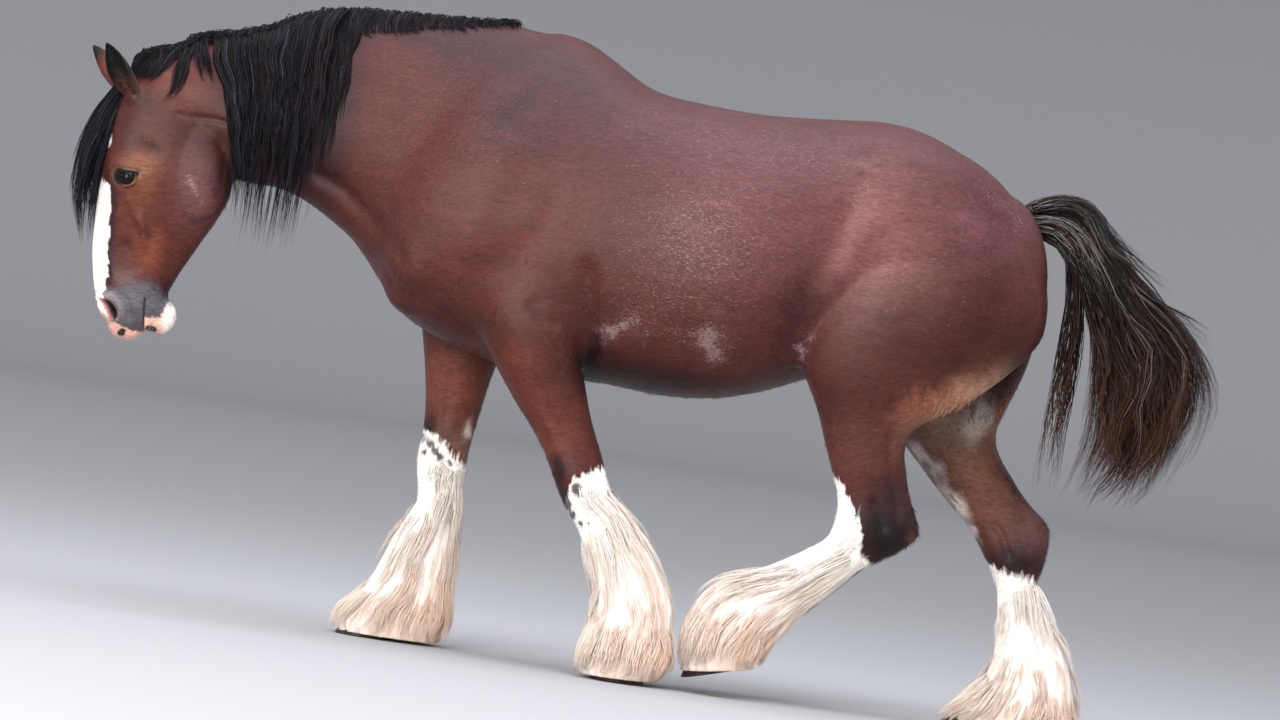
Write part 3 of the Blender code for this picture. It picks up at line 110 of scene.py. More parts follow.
# Each leg's rows run from inside the body to the hoof's top edge. LEFT is the near side.
FORELEG_LEFT = (
    (-0.5, 1.12, -0.1, 1.08, -0.18, 0.105, 0.5, 2.0, 2.0),
    (-0.45, 0.95, -0.115, 0.95, -0.2, 0.112, 0.5, 2.1, 2.1),
    (-0.388, 0.84, -0.132, 0.862, -0.205, 0.1, 0.48, 2.2, 2.1),
    (-0.335, 0.765, -0.106, 0.785, -0.205, 0.087, 0.46, 2.2, 2.1),
    (-0.285, 0.7, -0.085, 0.72, -0.205, 0.075, 0.46, 2.2, 2.1),
    (-0.237, 0.645, -0.06, 0.66, -0.204, 0.066, 0.47, 2.2, 2.1),
    (-0.198, 0.59, -0.034, 0.605, -0.203, 0.062, 0.48, 2.3, 2.1),
    (-0.168, 0.535, -0.014, 0.555, -0.202, 0.066, 0.46, 2.5, 2.1),
    (-0.144, 0.49, 0.0, 0.519, -0.201, 0.064, 0.46, 2.5, 2.1),
    (-0.117, 0.445, 0.01, 0.483, -0.2, 0.053, 0.48, 2.3, 2.0),
    (-0.08, 0.4, 0.025, 0.444, -0.2, 0.046, 0.48, 2.1, 2.0),
    (-0.03, 0.3, 0.056, 0.336, -0.199, 0.043, 0.48, 2.1, 2.0),
    (0.0, 0.225, 0.092, 0.258, -0.198, 0.048, 0.48, 2.1, 2.0),
    (0.01, 0.18, 0.13, 0.205, -0.197, 0.058, 0.48, 2.1, 2.0),
    (0.022, 0.135, 0.138, 0.15, -0.196, 0.052, 0.48, 2.1, 2.0),
    (0.012, 0.095, 0.148, 0.085, -0.195, 0.068, 0.46, 2.1, 2.0),
)
FORELEG_RIGHT = (
    (-0.6, 1.12, -0.25, 1.06, 0.18, 0.105, 0.5, 2.0, 2.0),
    (-0.605, 0.95, -0.3, 0.94, 0.2, 0.112, 0.5, 2.1, 2.1),
    (-0.59, 0.865, -0.345, 0.855, 0.205, 0.1, 0.48, 2.2, 2.1),
    (-0.573, 0.79, -0.37, 0.78, 0.205, 0.087, 0.46, 2.2, 2.1),
    (-0.559, 0.715, -0.384, 0.705, 0.205, 0.075, 0.46, 2.2, 2.1),
    (-0.551, 0.655, -0.392, 0.648, 0.204, 0.066, 0.47, 2.2, 2.1),
    (-0.548, 0.6, -0.4, 0.595, 0.203, 0.062, 0.48, 2.3, 2.1),
    (-0.551, 0.55, -0.405, 0.545, 0.202, 0.066, 0.46, 2.5, 2.1),
    (-0.551, 0.5, -0.408, 0.495, 0.201, 0.064, 0.46, 2.5, 2.1),
    (-0.543, 0.455, -0.425, 0.45, 0.2, 0.052, 0.48, 2.3, 2.0),
    (-0.536, 0.41, -0.442, 0.405, 0.2, 0.045, 0.48, 2.1, 2.0),
    (-0.538, 0.31, -0.446, 0.305, 0.199, 0.043, 0.48, 2.1, 2.0),
    (-0.547, 0.24, -0.452, 0.232, 0.198, 0.048, 0.48, 2.1, 2.0),
    (-0.575, 0.19, -0.455, 0.175, 0.197, 0.058, 0.48, 2.1, 2.0),
    (-0.615, 0.145, -0.5, 0.12, 0.196, 0.052, 0.48, 2.1, 2.0),
    (-0.66, 0.095, -0.522, 0.085, 0.195, 0.068, 0.46, 2.1, 2.0),
)
HINDLEG_LEFT = (
    (0.54, 1.44, 1.0, 1.42, -0.15, 0.13, 0.48, 2.1, 2.0),
    (0.505, 1.29, 1.085, 1.26, -0.165, 0.155, 0.48, 2.1, 2.0),
    (0.46, 1.13, 1.112, 1.12, -0.178, 0.155, 0.46, 2.1, 2.0),
    (0.44, 1.01, 1.062, 1.02, -0.188, 0.137, 0.42, 2.1, 2.0),
    (0.465, 0.92, 0.95, 0.905, -0.195, 0.117, 0.42, 2.1, 2.0),
    (0.5, 0.855, 0.865, 0.845, -0.195, 0.101, 0.43, 2.1, 2.0),
    (0.53, 0.795, 0.797, 0.795, -0.192, 0.088, 0.45, 2.1, 2.0),
    (0.555, 0.73, 0.782, 0.74, -0.188, 0.077, 0.46, 2.1, 2.0),
    (0.58, 0.67, 0.797, 0.675, -0.184, 0.068, 0.45, 2.1, 1.9),
    (0.607, 0.605, 0.818, 0.61, -0.18, 0.061, 0.42, 2.2, 1.8),
    (0.617, 0.555, 0.846, 0.55, -0.177, 0.062, 0.38, 2.4, 1.8),
    (0.612, 0.505, 0.846, 0.495, -0.174, 0.063, 0.38, 2.4, 1.8),
    (0.597, 0.47, 0.715, 0.4, -0.17, 0.053, 0.45, 2.3, 2.0),
    (0.55, 0.435, 0.607, 0.345, -0.166, 0.046, 0.48, 2.1, 2.0),
    (0.482, 0.392, 0.531, 0.305, -0.163, 0.043, 0.48, 2.1, 2.0),
    (0.42, 0.355, 0.47, 0.268, -0.16, 0.045, 0.48, 2.1, 2.0),
    (0.352, 0.305, 0.456, 0.232, -0.158, 0.058, 0.48, 2.1, 2.0),
    (0.312, 0.222, 0.43, 0.205, -0.156, 0.052, 0.48, 2.1, 2.0),
    (0.292, 0.135, 0.424, 0.155, -0.155, 0.068, 0.46, 2.1, 2.0),
)
HINDLEG_RIGHT = (
    (0.58, 1.44, 1.0, 1.42, 0.15, 0.13, 0.48, 2.1, 2.0),
    (0.57, 1.29, 1.085, 1.26, 0.165, 0.155, 0.48, 2.1, 2.0),
    (0.565, 1.13, 1.115, 1.12, 0.178, 0.153, 0.46, 2.1, 2.0),
    (0.6, 1.0, 1.1, 1.0, 0.188, 0.132, 0.44, 2.1, 2.0),
    (0.665, 0.885, 1.065, 0.895, 0.192, 0.113, 0.44, 2.1, 2.0),
    (0.735, 0.805, 1.045, 0.82, 0.19, 0.097, 0.45, 2.1, 2.0),
    (0.805, 0.735, 1.062, 0.765, 0.187, 0.085, 0.46, 2.1, 2.0),
    (0.87, 0.67, 1.1, 0.715, 0.184, 0.075, 0.46, 2.1, 2.0),
    (0.93, 0.612, 1.142, 0.665, 0.181, 0.067, 0.45, 2.1, 1.9),
    (0.985, 0.565, 1.188, 0.622, 0.178, 0.061, 0.42, 2.2, 1.8),
    (1.028, 0.515, 1.226, 0.59, 0.175, 0.062, 0.4, 2.4, 1.8),
    (1.058, 0.47, 1.236, 0.535, 0.173, 0.063, 0.4, 2.4, 1.8),
    (1.085, 0.43, 1.228, 0.47, 0.17, 0.054, 0.45, 2.3, 2.0),
    (1.104, 0.385, 1.212, 0.405, 0.166, 0.046, 0.48, 2.1, 2.0),
    (1.113, 0.32, 1.21, 0.325, 0.163, 0.043, 0.48, 2.1, 2.0),
    (1.117, 0.26, 1.218, 0.26, 0.16, 0.045, 0.48, 2.1, 2.0),
    (1.12, 0.2, 1.246, 0.19, 0.158, 0.058, 0.48, 2.1, 2.0),
    (1.105, 0.15, 1.214, 0.13, 0.156, 0.052, 0.48, 2.1, 2.0),
    (1.08, 0.097, 1.198, 0.085, 0.155, 0.066, 0.46, 2.1, 2.0),
)
# The bone and flesh of the tail.
DOCK = (
    (0.93, 1.475, 0.98, 1.36, 0.0, 0.06, 0.5, 2.0, 2.0),
    (1.03, 1.455, 1.07, 1.372, 0.0, 0.046, 0.5, 2.0, 2.0),
    (1.095, 1.462, 1.115, 1.385, 0.0, 0.038, 0.5, 2.0, 2.0),
    (1.155, 1.455, 1.15, 1.38, 0.0, 0.036, 0.5, 2.0, 2.0),
    (1.205, 1.425, 1.175, 1.355, 0.0, 0.034, 0.5, 2.0, 2.0),
    (1.24, 1.37, 1.192, 1.322, 0.0, 0.03, 0.5, 2.0, 2.0),
    (1.255, 1.31, 1.21, 1.29, 0.0, 0.022, 0.5, 2.0, 2.0),
)
# Muscles and bones that show under the skin: name, centre (x, y, z), radii, and turn about Y in degrees.
# Each is on both sides unless its y is 0.
RELIEF = (
    ("shoulder_blade", (-0.45, 0.168, 1.28), (0.105, 0.088, 0.27), 28),
    ("shoulder_point", (-0.6, 0.165, 1.08), (0.11, 0.095, 0.13), 0),
    ("upper_arm", (-0.27, 0.222, 1.03), (0.165, 0.082, 0.16), 20),
    ("elbow", (-0.19, 0.215, 0.92), (0.075, 0.055, 0.085), 0),
    ("breast", (-0.615, 0.105, 1.05), (0.105, 0.11, 0.15), 0),
    ("croup", (0.7, 0.15, 1.42), (0.32, 0.155, 0.175), 12),
    ("hip_point", (0.545, 0.255, 1.455), (0.055, 0.05, 0.05), 0),
    ("buttock", (0.965, 0.12, 1.24), (0.14, 0.13, 0.24), -6),
    ("flank", (0.42, 0.175, 1.12), (0.14, 0.12, 0.21), 0),
)
HEAD_FORMS = (
    ("cheek", (-1.262, 0.06, 1.215), (0.102, 0.042, 0.145), -8),
    ("brow", (-1.448, 0.076, 1.182), (0.058, 0.046, 0.05), 0),
    ("cheek_ridge", (-1.392, 0.058, 1.085), (0.02, 0.03, 0.115), -14),
    ("nostril_rim", (-1.44, 0.042, 0.808), (0.036, 0.034, 0.046), -35),
    ("upper_lip", (-1.388, 0.0, 0.768), (0.058, 0.06, 0.049), -10),
    ("chin", (-1.297, 0.0, 0.799), (0.043, 0.046, 0.051), 10),
    ("ear_base", (-1.452, 0.062, 1.385), (0.034, 0.03, 0.04), -35),
)
# Grooves and ridges of the side view: height, width, side (-1 near, 1 far, 0 both), and the path.
LINES = (
    (-0.018, 0.024, 0, ((-1.0, 1.275), (-0.92, 1.245), (-0.85, 1.215), (-0.78, 1.16), (-0.7, 1.09),
                        (-0.63, 1.01))),
    (0.006, 0.035, 0, ((-1.0, 1.22), (-0.9, 1.18), (-0.8, 1.11), (-0.73, 1.03))),
    (-0.009, 0.014, 0, ((-0.66, 0.98), (-0.58, 0.945), (-0.5, 0.915), (-0.4, 0.87))),
    (-0.015, 0.028, 0, ((-0.165, 1.14), (-0.14, 1.04), (-0.118, 0.95), (-0.112, 0.84))),
    (-0.005, 0.028, 0, ((-0.5, 1.38), (-0.45, 1.45), (-0.385, 1.53), (-0.345, 1.62))),
    (-0.004, 0.02, 0, ((-0.47, 1.5), (-0.42, 1.47), (-0.385, 1.42))),
    (-0.007, 0.05, 0, ((-0.5, 0.99), (-0.36, 1.1), (-0.27, 1.19), (-0.22, 1.34))),
    (0.004, 0.05, 0, ((-0.52, 1.06), (-0.45, 1.26), (-0.38, 1.5))),
    (-0.006, 0.022, 0, ((-0.3, 1.0), (-0.25, 0.955), (-0.19, 0.93))),
    (-0.013, 0.044, 0, ((0.585, 1.48), (0.53, 1.33), (0.5, 1.24), (0.455, 1.15), (0.42, 1.06),
                        (0.42, 0.97))),
    (0.007, 0.045, 0, ((0.62, 1.46), (0.56, 1.28), (0.52, 1.17), (0.49, 1.07))),
    (-0.007, 0.045, -1, ((0.93, 1.42), (0.985, 1.28), (0.975, 1.12), (0.9, 0.98), (0.83, 0.88))),
    (-0.007, 0.045, 1, ((0.93, 1.42), (0.985, 1.28), (1.0, 1.12), (0.985, 0.98), (0.99, 0.86))),
    (-0.005, 0.07, 0, ((0.66, 1.38), (0.74, 1.2), (0.76, 1.05))),
    (-0.011, 0.016, -1, ((0.735, 0.8), (0.745, 0.7), (0.775, 0.61), (0.8, 0.55))),
    (-0.011, 0.016, 1, ((1.0, 0.79), (1.05, 0.72), (1.12, 0.655), (1.185, 0.58))),
    (-0.008, 0.013, -1, ((0.7, 0.605), (0.735, 0.555), (0.76, 0.5))),
    (-0.008, 0.013, 1, ((1.06, 0.585), (1.1, 0.535), (1.13, 0.47))),
    (-0.005, 0.014, -1, ((-0.255, 0.8), (-0.195, 0.7), (-0.135, 0.6))),
    (-0.005, 0.014, 1, ((-0.5, 0.79), (-0.485, 0.7), (-0.485, 0.6))),
    (-0.005, 0.009, 0, ((-1.345, 1.362), (-1.29, 1.356), (-1.22, 1.358), (-1.17, 1.35))),
    (-0.006, 0.016, 0, ((-1.215, 1.33), (-1.18, 1.26), (-1.172, 1.18), (-1.185, 1.12))),
    (0.004, 0.011, 0, ((-1.437, 1.118), (-1.412, 1.075), (-1.39, 1.035))),
    (-0.004, 0.022, 0, ((-1.425, 1.0), (-1.4, 0.95), (-1.38, 0.905))),
    (0.003, 0.012, 0, ((-1.475, 0.98), (-1.455, 0.92), (-1.432, 0.862))),
    (-0.004, 0.02, 0, ((-1.3, 1.05), (-1.285, 0.98), (-1.292, 0.9))),
    (-0.005, 0.01, 0, ((-1.285, 0.868), (-1.292, 0.85), (-1.283, 0.838))),
    (-0.0035, 0.008, 0, ((-1.43, 0.852), (-1.398, 0.836), (-1.384, 0.805), (-1.386, 0.772))),
)
# The thick wing of each nostril's rim, from its top round its rear.
WING = ((-1.458, 0.838), (-1.436, 0.838), (-1.416, 0.823), (-1.404, 0.8), (-1.406, 0.78), (-1.42, 0.768))
WING_HEIGHT = 0.005
WING_HALF_WIDTH = 0.0095
# Soft hollows over the eye and at the cheek bone's end: depth, middle and radii in the side view, and turn
# in degrees.
HOLLOWS = (
    (0.006, (-1.392, 1.252), (0.034, 0.022), -20),
    (0.004, (-1.378, 1.015), (0.022, 0.014), 0),
)
# The line where the lips meet, from under the chin to the corner of the mouth.
MOUTH = (
    (-1.337, 0.715), (-1.3375, 0.742), (-1.339, 0.765), (-1.3415, 0.788), (-1.344, 0.811),
    (-1.3455, 0.8285), (-1.3455, 0.843),
)
MOUTH_DEPTH = 0.006
MOUTH_HALF_WIDTH = 0.0026


def along_rows(rows, shares):
    """Rows on a smooth curve through a table, at shares from 0 to 1: a cubic piece between each two rows,
    that at each of them runs the way from the row before it to the row after it."""
    rows = np.asarray(rows, float)
    at = np.clip(shares, 0, 1) * (len(rows) - 1)
    span = np.minimum(at.astype(int), len(rows) - 2)
    t = (at - span)[..., None]
    padded = np.vstack([2 * rows[0] - rows[1], rows, 2 * rows[-1] - rows[-2]])
    p0, p1, p2, p3 = (padded[span + k] for k in range(4))
    bend = (2 * p0 - 5 * p1 + 4 * p2 - p3) * t**2
    return 0.5 * (2 * p1 + (p2 - p0) * t + bend + (3 * p1 - p0 - 3 * p2 + p3) * t**3)


def on_section(row, angle):
    """The point of a section at an angle from its front: cosine and sine, without their signs, are raised
    to 2 over the section's power."""
    cosine, sine = np.cos(angle), np.sin(angle)
    front, back = row[..., 0:2], row[..., 2:4]
    ahead = cosine > 0
    power = 2 / np.where(ahead, row[..., 7], row[..., 8])
    middle = front + row[..., 6:7] * (back - front)
    reach = np.where(ahead[..., None], front - middle, back - middle)
    flat = middle + reach * (np.abs(cosine) ** power)[..., None]
    across = row[..., 4] + row[..., 5] * np.sign(sine) * np.abs(sine) ** power
    return np.stack([flat[..., 0], across, flat[..., 1]], axis=-1)


def loft(rows, stations, around):
    """Rings of points on every section of a form: a grid of shares along it and angles round it."""
    shares = np.linspace(0, 1, stations)[:, None]
    angles = np.linspace(0, 2 * math.pi, around, endpoint=False)[None, :]
    return on_section(along_rows(rows, shares), angles)


def ellipsoid(centre, radii, turn=0.0, rings=20, around=28, pole=0.03):
    """Rings of a sphere from pole to pole, stretched to three radii and turned about Y by degrees."""
    down = np.linspace(pole, math.pi - pole, rings)[:, None]
    angles = np.linspace(0, 2 * math.pi, around, endpoint=False)[None, :]
    ball = np.stack(np.broadcast_arrays(np.sin(down) * np.cos(angles), np.sin(down) * np.sin(angles),
                                        np.cos(down)), axis=-1) * radii
    c, s = math.cos(math.radians(turn)), math.sin(math.radians(turn))
    x, z = c * ball[..., 0] + s * ball[..., 2], c * ball[..., 2] - s * ball[..., 0]
    return np.stack([x, ball[..., 1], z], axis=-1) + centre


def tube_faces(rows, around, first=0):
    """Corner numbers of the quads between rings that close on themselves."""
    index = first + np.arange(rows * around).reshape(rows, around)
    near, far = index[:-1], index[1:]
    return np.stack([near, np.roll(near, -1, 1), np.roll(far, -1, 1), far], axis=-1).reshape(-1, 4)


def shells(name, grids):
    """One mesh of closed tubes, each a grid of rings with both of its ends filled."""
    points, faces, first = [], [], 0
    for grid in grids:
        rows, around = grid.shape[:2]
        faces += tube_faces(rows, around, first).tolist()
        faces += [list(range(first, first + around)),
                  list(range(first + (rows - 1) * around, first + rows * around))[::-1]]
        points.append(grid.reshape(-1, 3))
        first += rows * around
    mesh = bpy.data.meshes.new(name)
    mesh.from_pydata(np.concatenate(points).tolist(), [], faces)
    shape = bmesh.new()
    shape.from_mesh(mesh)
    bmesh.ops.recalc_face_normals(shape, faces=shape.faces)
    shape.to_mesh(mesh)
    shape.free()
    return mesh


def placed(name, data):
    """A new object at the origin that holds a mesh, a light or a camera."""
    made = bpy.data.objects.new(name, data)
    bpy.context.scene.collection.objects.link(made)
    return made


def open_sheet(name, grid):
    """One smooth mesh of quads between the points of a grid."""
    count = grid.shape[:2]
    index = np.arange(count[0] * count[1]).reshape(count)
    quads = np.stack([index[:-1, :-1], index[1:, :-1], index[1:, 1:], index[:-1, 1:]],
                     axis=-1).reshape(-1, 4)
    mesh = bpy.data.meshes.new(name)
    mesh.from_pydata(grid.reshape(-1, 3).tolist(), [], quads.tolist())
    mesh.shade_smooth()
    return mesh


def unit(vectors):
    """Vectors brought to length 1."""
    return vectors / np.maximum(np.linalg.norm(vectors, axis=-1, keepdims=True), 1e-9)


def applied(obj):
    """The object with its modifiers applied to its mesh."""
    graph = bpy.context.evaluated_depsgraph_get()
    result = bpy.data.meshes.new_from_object(obj.evaluated_get(graph))
    obj.modifiers.clear()
    obj.data = result
    return obj


def read_points(mesh):
    """The places and outward directions of a mesh's points, as arrays."""
    points = np.empty(len(mesh.vertices) * 3)
    normals = np.empty(len(mesh.vertices) * 3)
    mesh.vertices.foreach_get("co", points)
    mesh.vertex_normals.foreach_get("vector", normals)
    return points.reshape(-1, 3), normals.reshape(-1, 3)


def write_points(mesh, points):
    """Puts an array of places back into a mesh."""
    mesh.vertices.foreach_set("co", np.ascontiguousarray(points, dtype=np.float32).ravel())
    mesh.update()


def line_distance(points, path):
    """Distance in the side view to a bent line, the least of the distances to its straight stretches, and
    the nearest point's share along the line."""
    flat = points[:, [0, 2]]
    nearest, place = np.full(len(points), np.inf), np.zeros(len(points))
    for number, (start, end) in enumerate(zip(np.array(path[:-1]), np.array(path[1:]))):
        along = end - start
        share = np.clip((flat - start) @ along / (along @ along), 0, 1)
        distance = np.linalg.norm(flat - start - share[:, None] * along, axis=1)
        place = np.where(distance < nearest, (number + share) / (len(path) - 1), place)
        nearest = np.minimum(nearest, distance)
    return nearest, place


def smooth_step(low, high, value):
    """0 below low, 1 above high, and an S-shaped rise between them."""
    t = np.clip((value - low) / (high - low), 0, 1)
    return t * t * (3 - 2 * t)


def bell(value, middle, width):
    """A bell curve: 1 at its middle, and 1/e a width away from it."""
    return np.exp(-(((value - middle) / width) ** 2))


def side_share(points, side):
    """1 on one side of the middle plane and 0 on the other, or 1 on both for side 0. Side 2 is the inside
    of the far legs."""
    if side == 2:
        return smooth_step(0.01, 0.03, points[:, 1]) * smooth_step(0.205, 0.165, points[:, 1])
    return smooth_step(-0.01, 0.01, side * points[:, 1]) if side else np.ones(len(points))


def blob(points, centre, radii, turn=0.0):
    """A soft oval of the side view: 1 at its middle, falling as a bell curve."""
    x, z = points[:, 0] - centre[0], points[:, 2] - centre[1]
    c, s = math.cos(math.radians(turn)), math.sin(math.radians(turn))
    along, across = c * x + s * z, c * z - s * x
    return np.exp(-((along / radii[0]) ** 2) - (across / radii[1]) ** 2)


def lips_of(points):
    """The line between the lips: 1 on it, falling as a bell curve."""
    return bell(line_distance(points, MOUTH)[0], 0.0, MOUTH_HALF_WIDTH)


EYE_CENTRE = np.array((-1.438, 0.092, 1.165))
EYE_RADIUS = 0.027
# Stands for points on the other side of the head, which no opening reaches.
OUT_OF_REACH = 9.0
LID_THICKNESS = 0.0032
UPPER_LID_EXTRA = 0.35
SOCKET_DEPTH = 0.006
# The height of the lids' opening over the eye's middle, and where the fold over the lid lies, as a share of
# it.
LID_HEIGHT = 0.017
LID_FOLD = 1.62
LID_FOLD_DEPTH = 0.0018
# The lids' opening: its reach in mm at angles from the level rearward, up and over. It is flat above and
# deep in front below.
EYE_SLIT = (
    (0, 20.0), (14, 23.5), (28, 26.5), (42, 21.0), (60, 16.5), (90, 14.0), (120, 16.0), (140, 21.5),
    (160, 25.0), (185, 25.5), (210, 25.0), (228, 22.5), (250, 18.0), (280, 15.5), (315, 16.5),
)


def upright(way, axis):
    """The direction nearest to a way that stands at a right angle to an axis."""
    way = np.array(way)
    return unit(way - axis * way.dot(axis))


def eye_frame(side):
    """An eye's centre and the unit directions out of it, level along it to the rear and up across it."""
    look = unit(np.array((-0.3, side, 0.06)))
    along = upright((1.0, 0.0, 0.0), look)
    return EYE_CENTRE * (1, side, 1), look, along, np.cross(look, along) * -side


def slit_edge(angle):
    """The reach of the lids' opening in metres at angles in radians, from its table."""
    degrees, reach = np.array(EYE_SLIT).T
    return np.interp(np.degrees(angle), degrees, reach, period=360) / 1000


def eye_reach(points, side):
    """How far a point lies from the eye's middle, as a share of the lids' opening that way, in the plane
    across the look: 1 at the lids' edges. With it go the height along the look and the share upward."""
    centre, look, along, up = eye_frame(side)
    away = points - centre
    u, v = away @ along, away @ up
    slit = np.hypot(u, v) / slit_edge(np.arctan2(v, u))
    return np.where(away @ look > -0.2 * EYE_RADIUS, slit, OUT_OF_REACH), away @ look, v / LID_HEIGHT


def sink_eye(points, side):
    """Lays the lids on a ball a little larger than the eye and opens them along the almond. The pull ends
    softly at about twice the opening's reach."""
    centre = eye_frame(side)[0]
    away = points - centre
    radius = np.linalg.norm(away, axis=1)
    reach, height, up = eye_reach(points, side)
    lid = EYE_RADIUS + LID_THICKNESS * (1 + UPPER_LID_EXTRA * (up > 0))
    inside = EYE_RADIUS - SOCKET_DEPTH
    fold = LID_FOLD_DEPTH * bell(reach, LID_FOLD, 0.1) * smooth_step(0.2, 0.7, up)
    target = inside + (lid - inside) * smooth_step(0.9, 1.14, reach) - fold
    weight = (1 - smooth_step(1.25, 1.95, reach)) * (radius < 2.4 * EYE_RADIUS) * (height > 0)
    moved = radius + weight * (target - radius)
    return centre + away * (moved / radius)[:, None]


NOSTRIL_CENTRE = np.array((-1.441, 0.062, 0.803))
NOSTRIL_LENGTH = 0.034
NOSTRIL_WIDTH = 0.0145
NOSTRIL_TURN = math.radians(-45)
NOSTRIL_DEPTH = 0.03
NOSTRIL_RIM = 0.0045
NOSTRIL_INWARD = (0.45, -1.0, 0.35)


def nostril_reach(points, side):
    """How far a point lies from a nostril's opening: 1 at its rim, an oval of the side view that is bent by
    the square of the share along it and widens from end to end like a drop."""
    x, z = points[:, 0] - NOSTRIL_CENTRE[0], points[:, 2] - NOSTRIL_CENTRE[2]
    c, s = math.cos(NOSTRIL_TURN), math.sin(NOSTRIL_TURN)
    along, across = (c * x + s * z) / NOSTRIL_LENGTH, (c * z - s * x) / NOSTRIL_WIDTH
    across = across + 0.55 * along**2 - 0.25
    width = 0.8 + 0.35 * along
    return np.where(side * points[:, 1] > 0.02, np.hypot(along, across / np.maximum(width, 0.3)),
                    OUT_OF_REACH)


def sink_nostril(points, normals, side):
    """Opens a nostril inward and raises the wing of its rim."""
    reach = nostril_reach(points, side)
    hole = NOSTRIL_DEPTH * (1 - smooth_step(0.55, 1.05, reach))
    rim = NOSTRIL_RIM * bell(reach, 1.35, 0.32)
    inward = unit(np.array(NOSTRIL_INWARD) * (1, side, 1))
    return points + hole[:, None] * inward + rim[:, None] * normals


def softened(obj, label, rounds, share):
    """Evens out a mesh a number of times over, each point by its share, which is rounded to tenths."""
    group = obj.vertex_groups.new(name=label)
    share = np.round(share, 1)
    for level in np.unique(share[share > 0]):
        group.add(np.flatnonzero(share == level).tolist(), float(level), "REPLACE")
    smooth = obj.modifiers.new(label, "SMOOTH")
    smooth.factor = 0.5
    smooth.iterations = rounds
    smooth.vertex_group = label


def finer(obj, boxes):
    """Splits the faces whose middles lie in each box in turn, so that small forms have points to lie on."""
    for low, high in boxes:
        shape = bmesh.new()
        shape.from_mesh(obj.data)
        inner = {v for v in shape.verts if all(a < c < b for a, b, c in zip(low, high, v.co))}
        edges = [e for e in shape.edges if e.verts[0] in inner and e.verts[1] in inner]
        bmesh.ops.subdivide_edges(shape, edges=edges, cuts=1, use_grid_fill=True)
        shape.to_mesh(obj.data)
        shape.free()


# Where the neck runs into the shoulder and the body, without an edge.
NECK_BASE = ((-0.365, 1.726), (-0.5, 1.566), (-0.61, 1.42), (-0.673, 1.283), (-0.687, 1.153))
# The rings of each form and the points round a ring of the trunk and of a leg.
RINGS = 61
AROUND_TRUNK = 48
AROUND_LEG = 36
# The boxes in which the faces are split: the head, and then its front part down to the lips.
FINER_BOXES = (((-1.54, -0.2, 0.7), (-1.12, 0.2, 1.46)), ((-1.54, -0.2, 0.7), (-1.24, 0.2, 0.92)))

forms = [loft(rows, RINGS, AROUND_TRUNK) for rows in (TORSO, NECK, HEAD, DOCK)]
forms += [loft(rows, RINGS, AROUND_LEG)
          for rows in (FORELEG_LEFT, FORELEG_RIGHT, HINDLEG_LEFT, HINDLEG_RIGHT)]
for name, (x, y, z), radii, turn in RELIEF + HEAD_FORMS:
    for side in (-1, 1) if y else (1,):
        forms.append(ellipsoid((x, side * y, z), radii, turn))
hide = placed("hide", shells("hide", forms))
grid = hide.modifiers.new("grid", "REMESH")
grid.mode = "VOXEL"
grid.voxel_size = GRID
applied(hide)
# The joins between forms are evened out: a little everywhere, more on the trunk, most at the shoulder and
# the neck's base, whose shares fall off as flat-topped bells, to the fourth power.
points = read_points(hide.data)[0]
body_share = smooth_step(-1.3, -1.1, points[:, 0])
shoulder_share = np.exp(-(((points[:, 0] + 0.42) / 0.42) ** 4) - ((points[:, 2] - 1.38) / 0.38) ** 4)
shoulder_share *= smooth_step(0.06, 0.14, np.abs(points[:, 1]))
neck_share = np.exp(-((line_distance(points, NECK_BASE)[0] / 0.11) ** 4))
neck_share *= smooth_step(0.03, 0.09, np.abs(points[:, 1]))
for label, rounds, share in (("everywhere", 4, np.ones(len(points))), ("trunk", 20, body_share),
                             ("shoulder", 40, shoulder_share), ("neck_base", 160, neck_share)):
    softened(hide, label, rounds, share)
applied(hide)
finer(hide, FINER_BOXES)
points = read_points(hide.data)[0]
hide.vertex_groups.clear()
softened(hide, "head", 5, 1.0 * (points[:, 0] < -1.14))
applied(hide)
# Muscles, grooves, lids, nostrils and lips move the points in and out. A groove or ridge of the side view
# fades at its ends, and where the hide faces up or forward.
points, normals = read_points(hide.data)
rise = np.full(len(points), -COAT_DEPTH)
sideways = np.abs(normals[:, 1]) ** 0.7
for height, width, side, path in LINES:
    distance, place = line_distance(points, path)
    fade = smooth_step(-0.04, 0.22, place) * smooth_step(1.04, 0.78, place)
    rise += height * fade * bell(distance, 0.0, width) * side_share(points, side) * sideways
for depth, middle, radii, turn in HOLLOWS:
    rise -= depth * blob(points, middle, radii, turn) * sideways
rise += WING_HEIGHT * bell(line_distance(points, WING)[0], 0.0, WING_HALF_WIDTH) * sideways
points += rise[:, None] * normals
points -= (MOUTH_DEPTH * lips_of(points))[:, None] * normals
for side in (-1, 1):
    points = sink_eye(points, side)
    points = sink_nostril(points, normals, side)
write_points(hide.data, points)
# The full set of points stays at hand as the ground for the hair.
dense_points, dense_normals = read_points(hide.data)
fewer = hide.modifiers.new("fewer", "DECIMATE")
hide.data.calc_loop_triangles()
fewer.ratio = HIDE_TRIANGLES / len(hide.data.loop_triangles)
fewer.use_collapse_triangulate = True
applied(hide)
hide.vertex_groups.clear()
hide.data.shade_smooth()


def linear(hex_colour):
    """An sRGB hex colour as three linear values."""
    values = np.array([int(hex_colour[k:k + 2], 16) / 255 for k in (1, 3, 5)])
    return np.where(values <= 0.04045, values / 12.92, ((values + 0.055) / 1.055) ** 2.4)


# The coat's own brown, a red bay.
BAY = "#5b2f27"
# The tones below are as they look under a bright sky. The hair's own colour is this much of them.
OWN_SHARE = np.array((0.535, 0.405, 0.42))
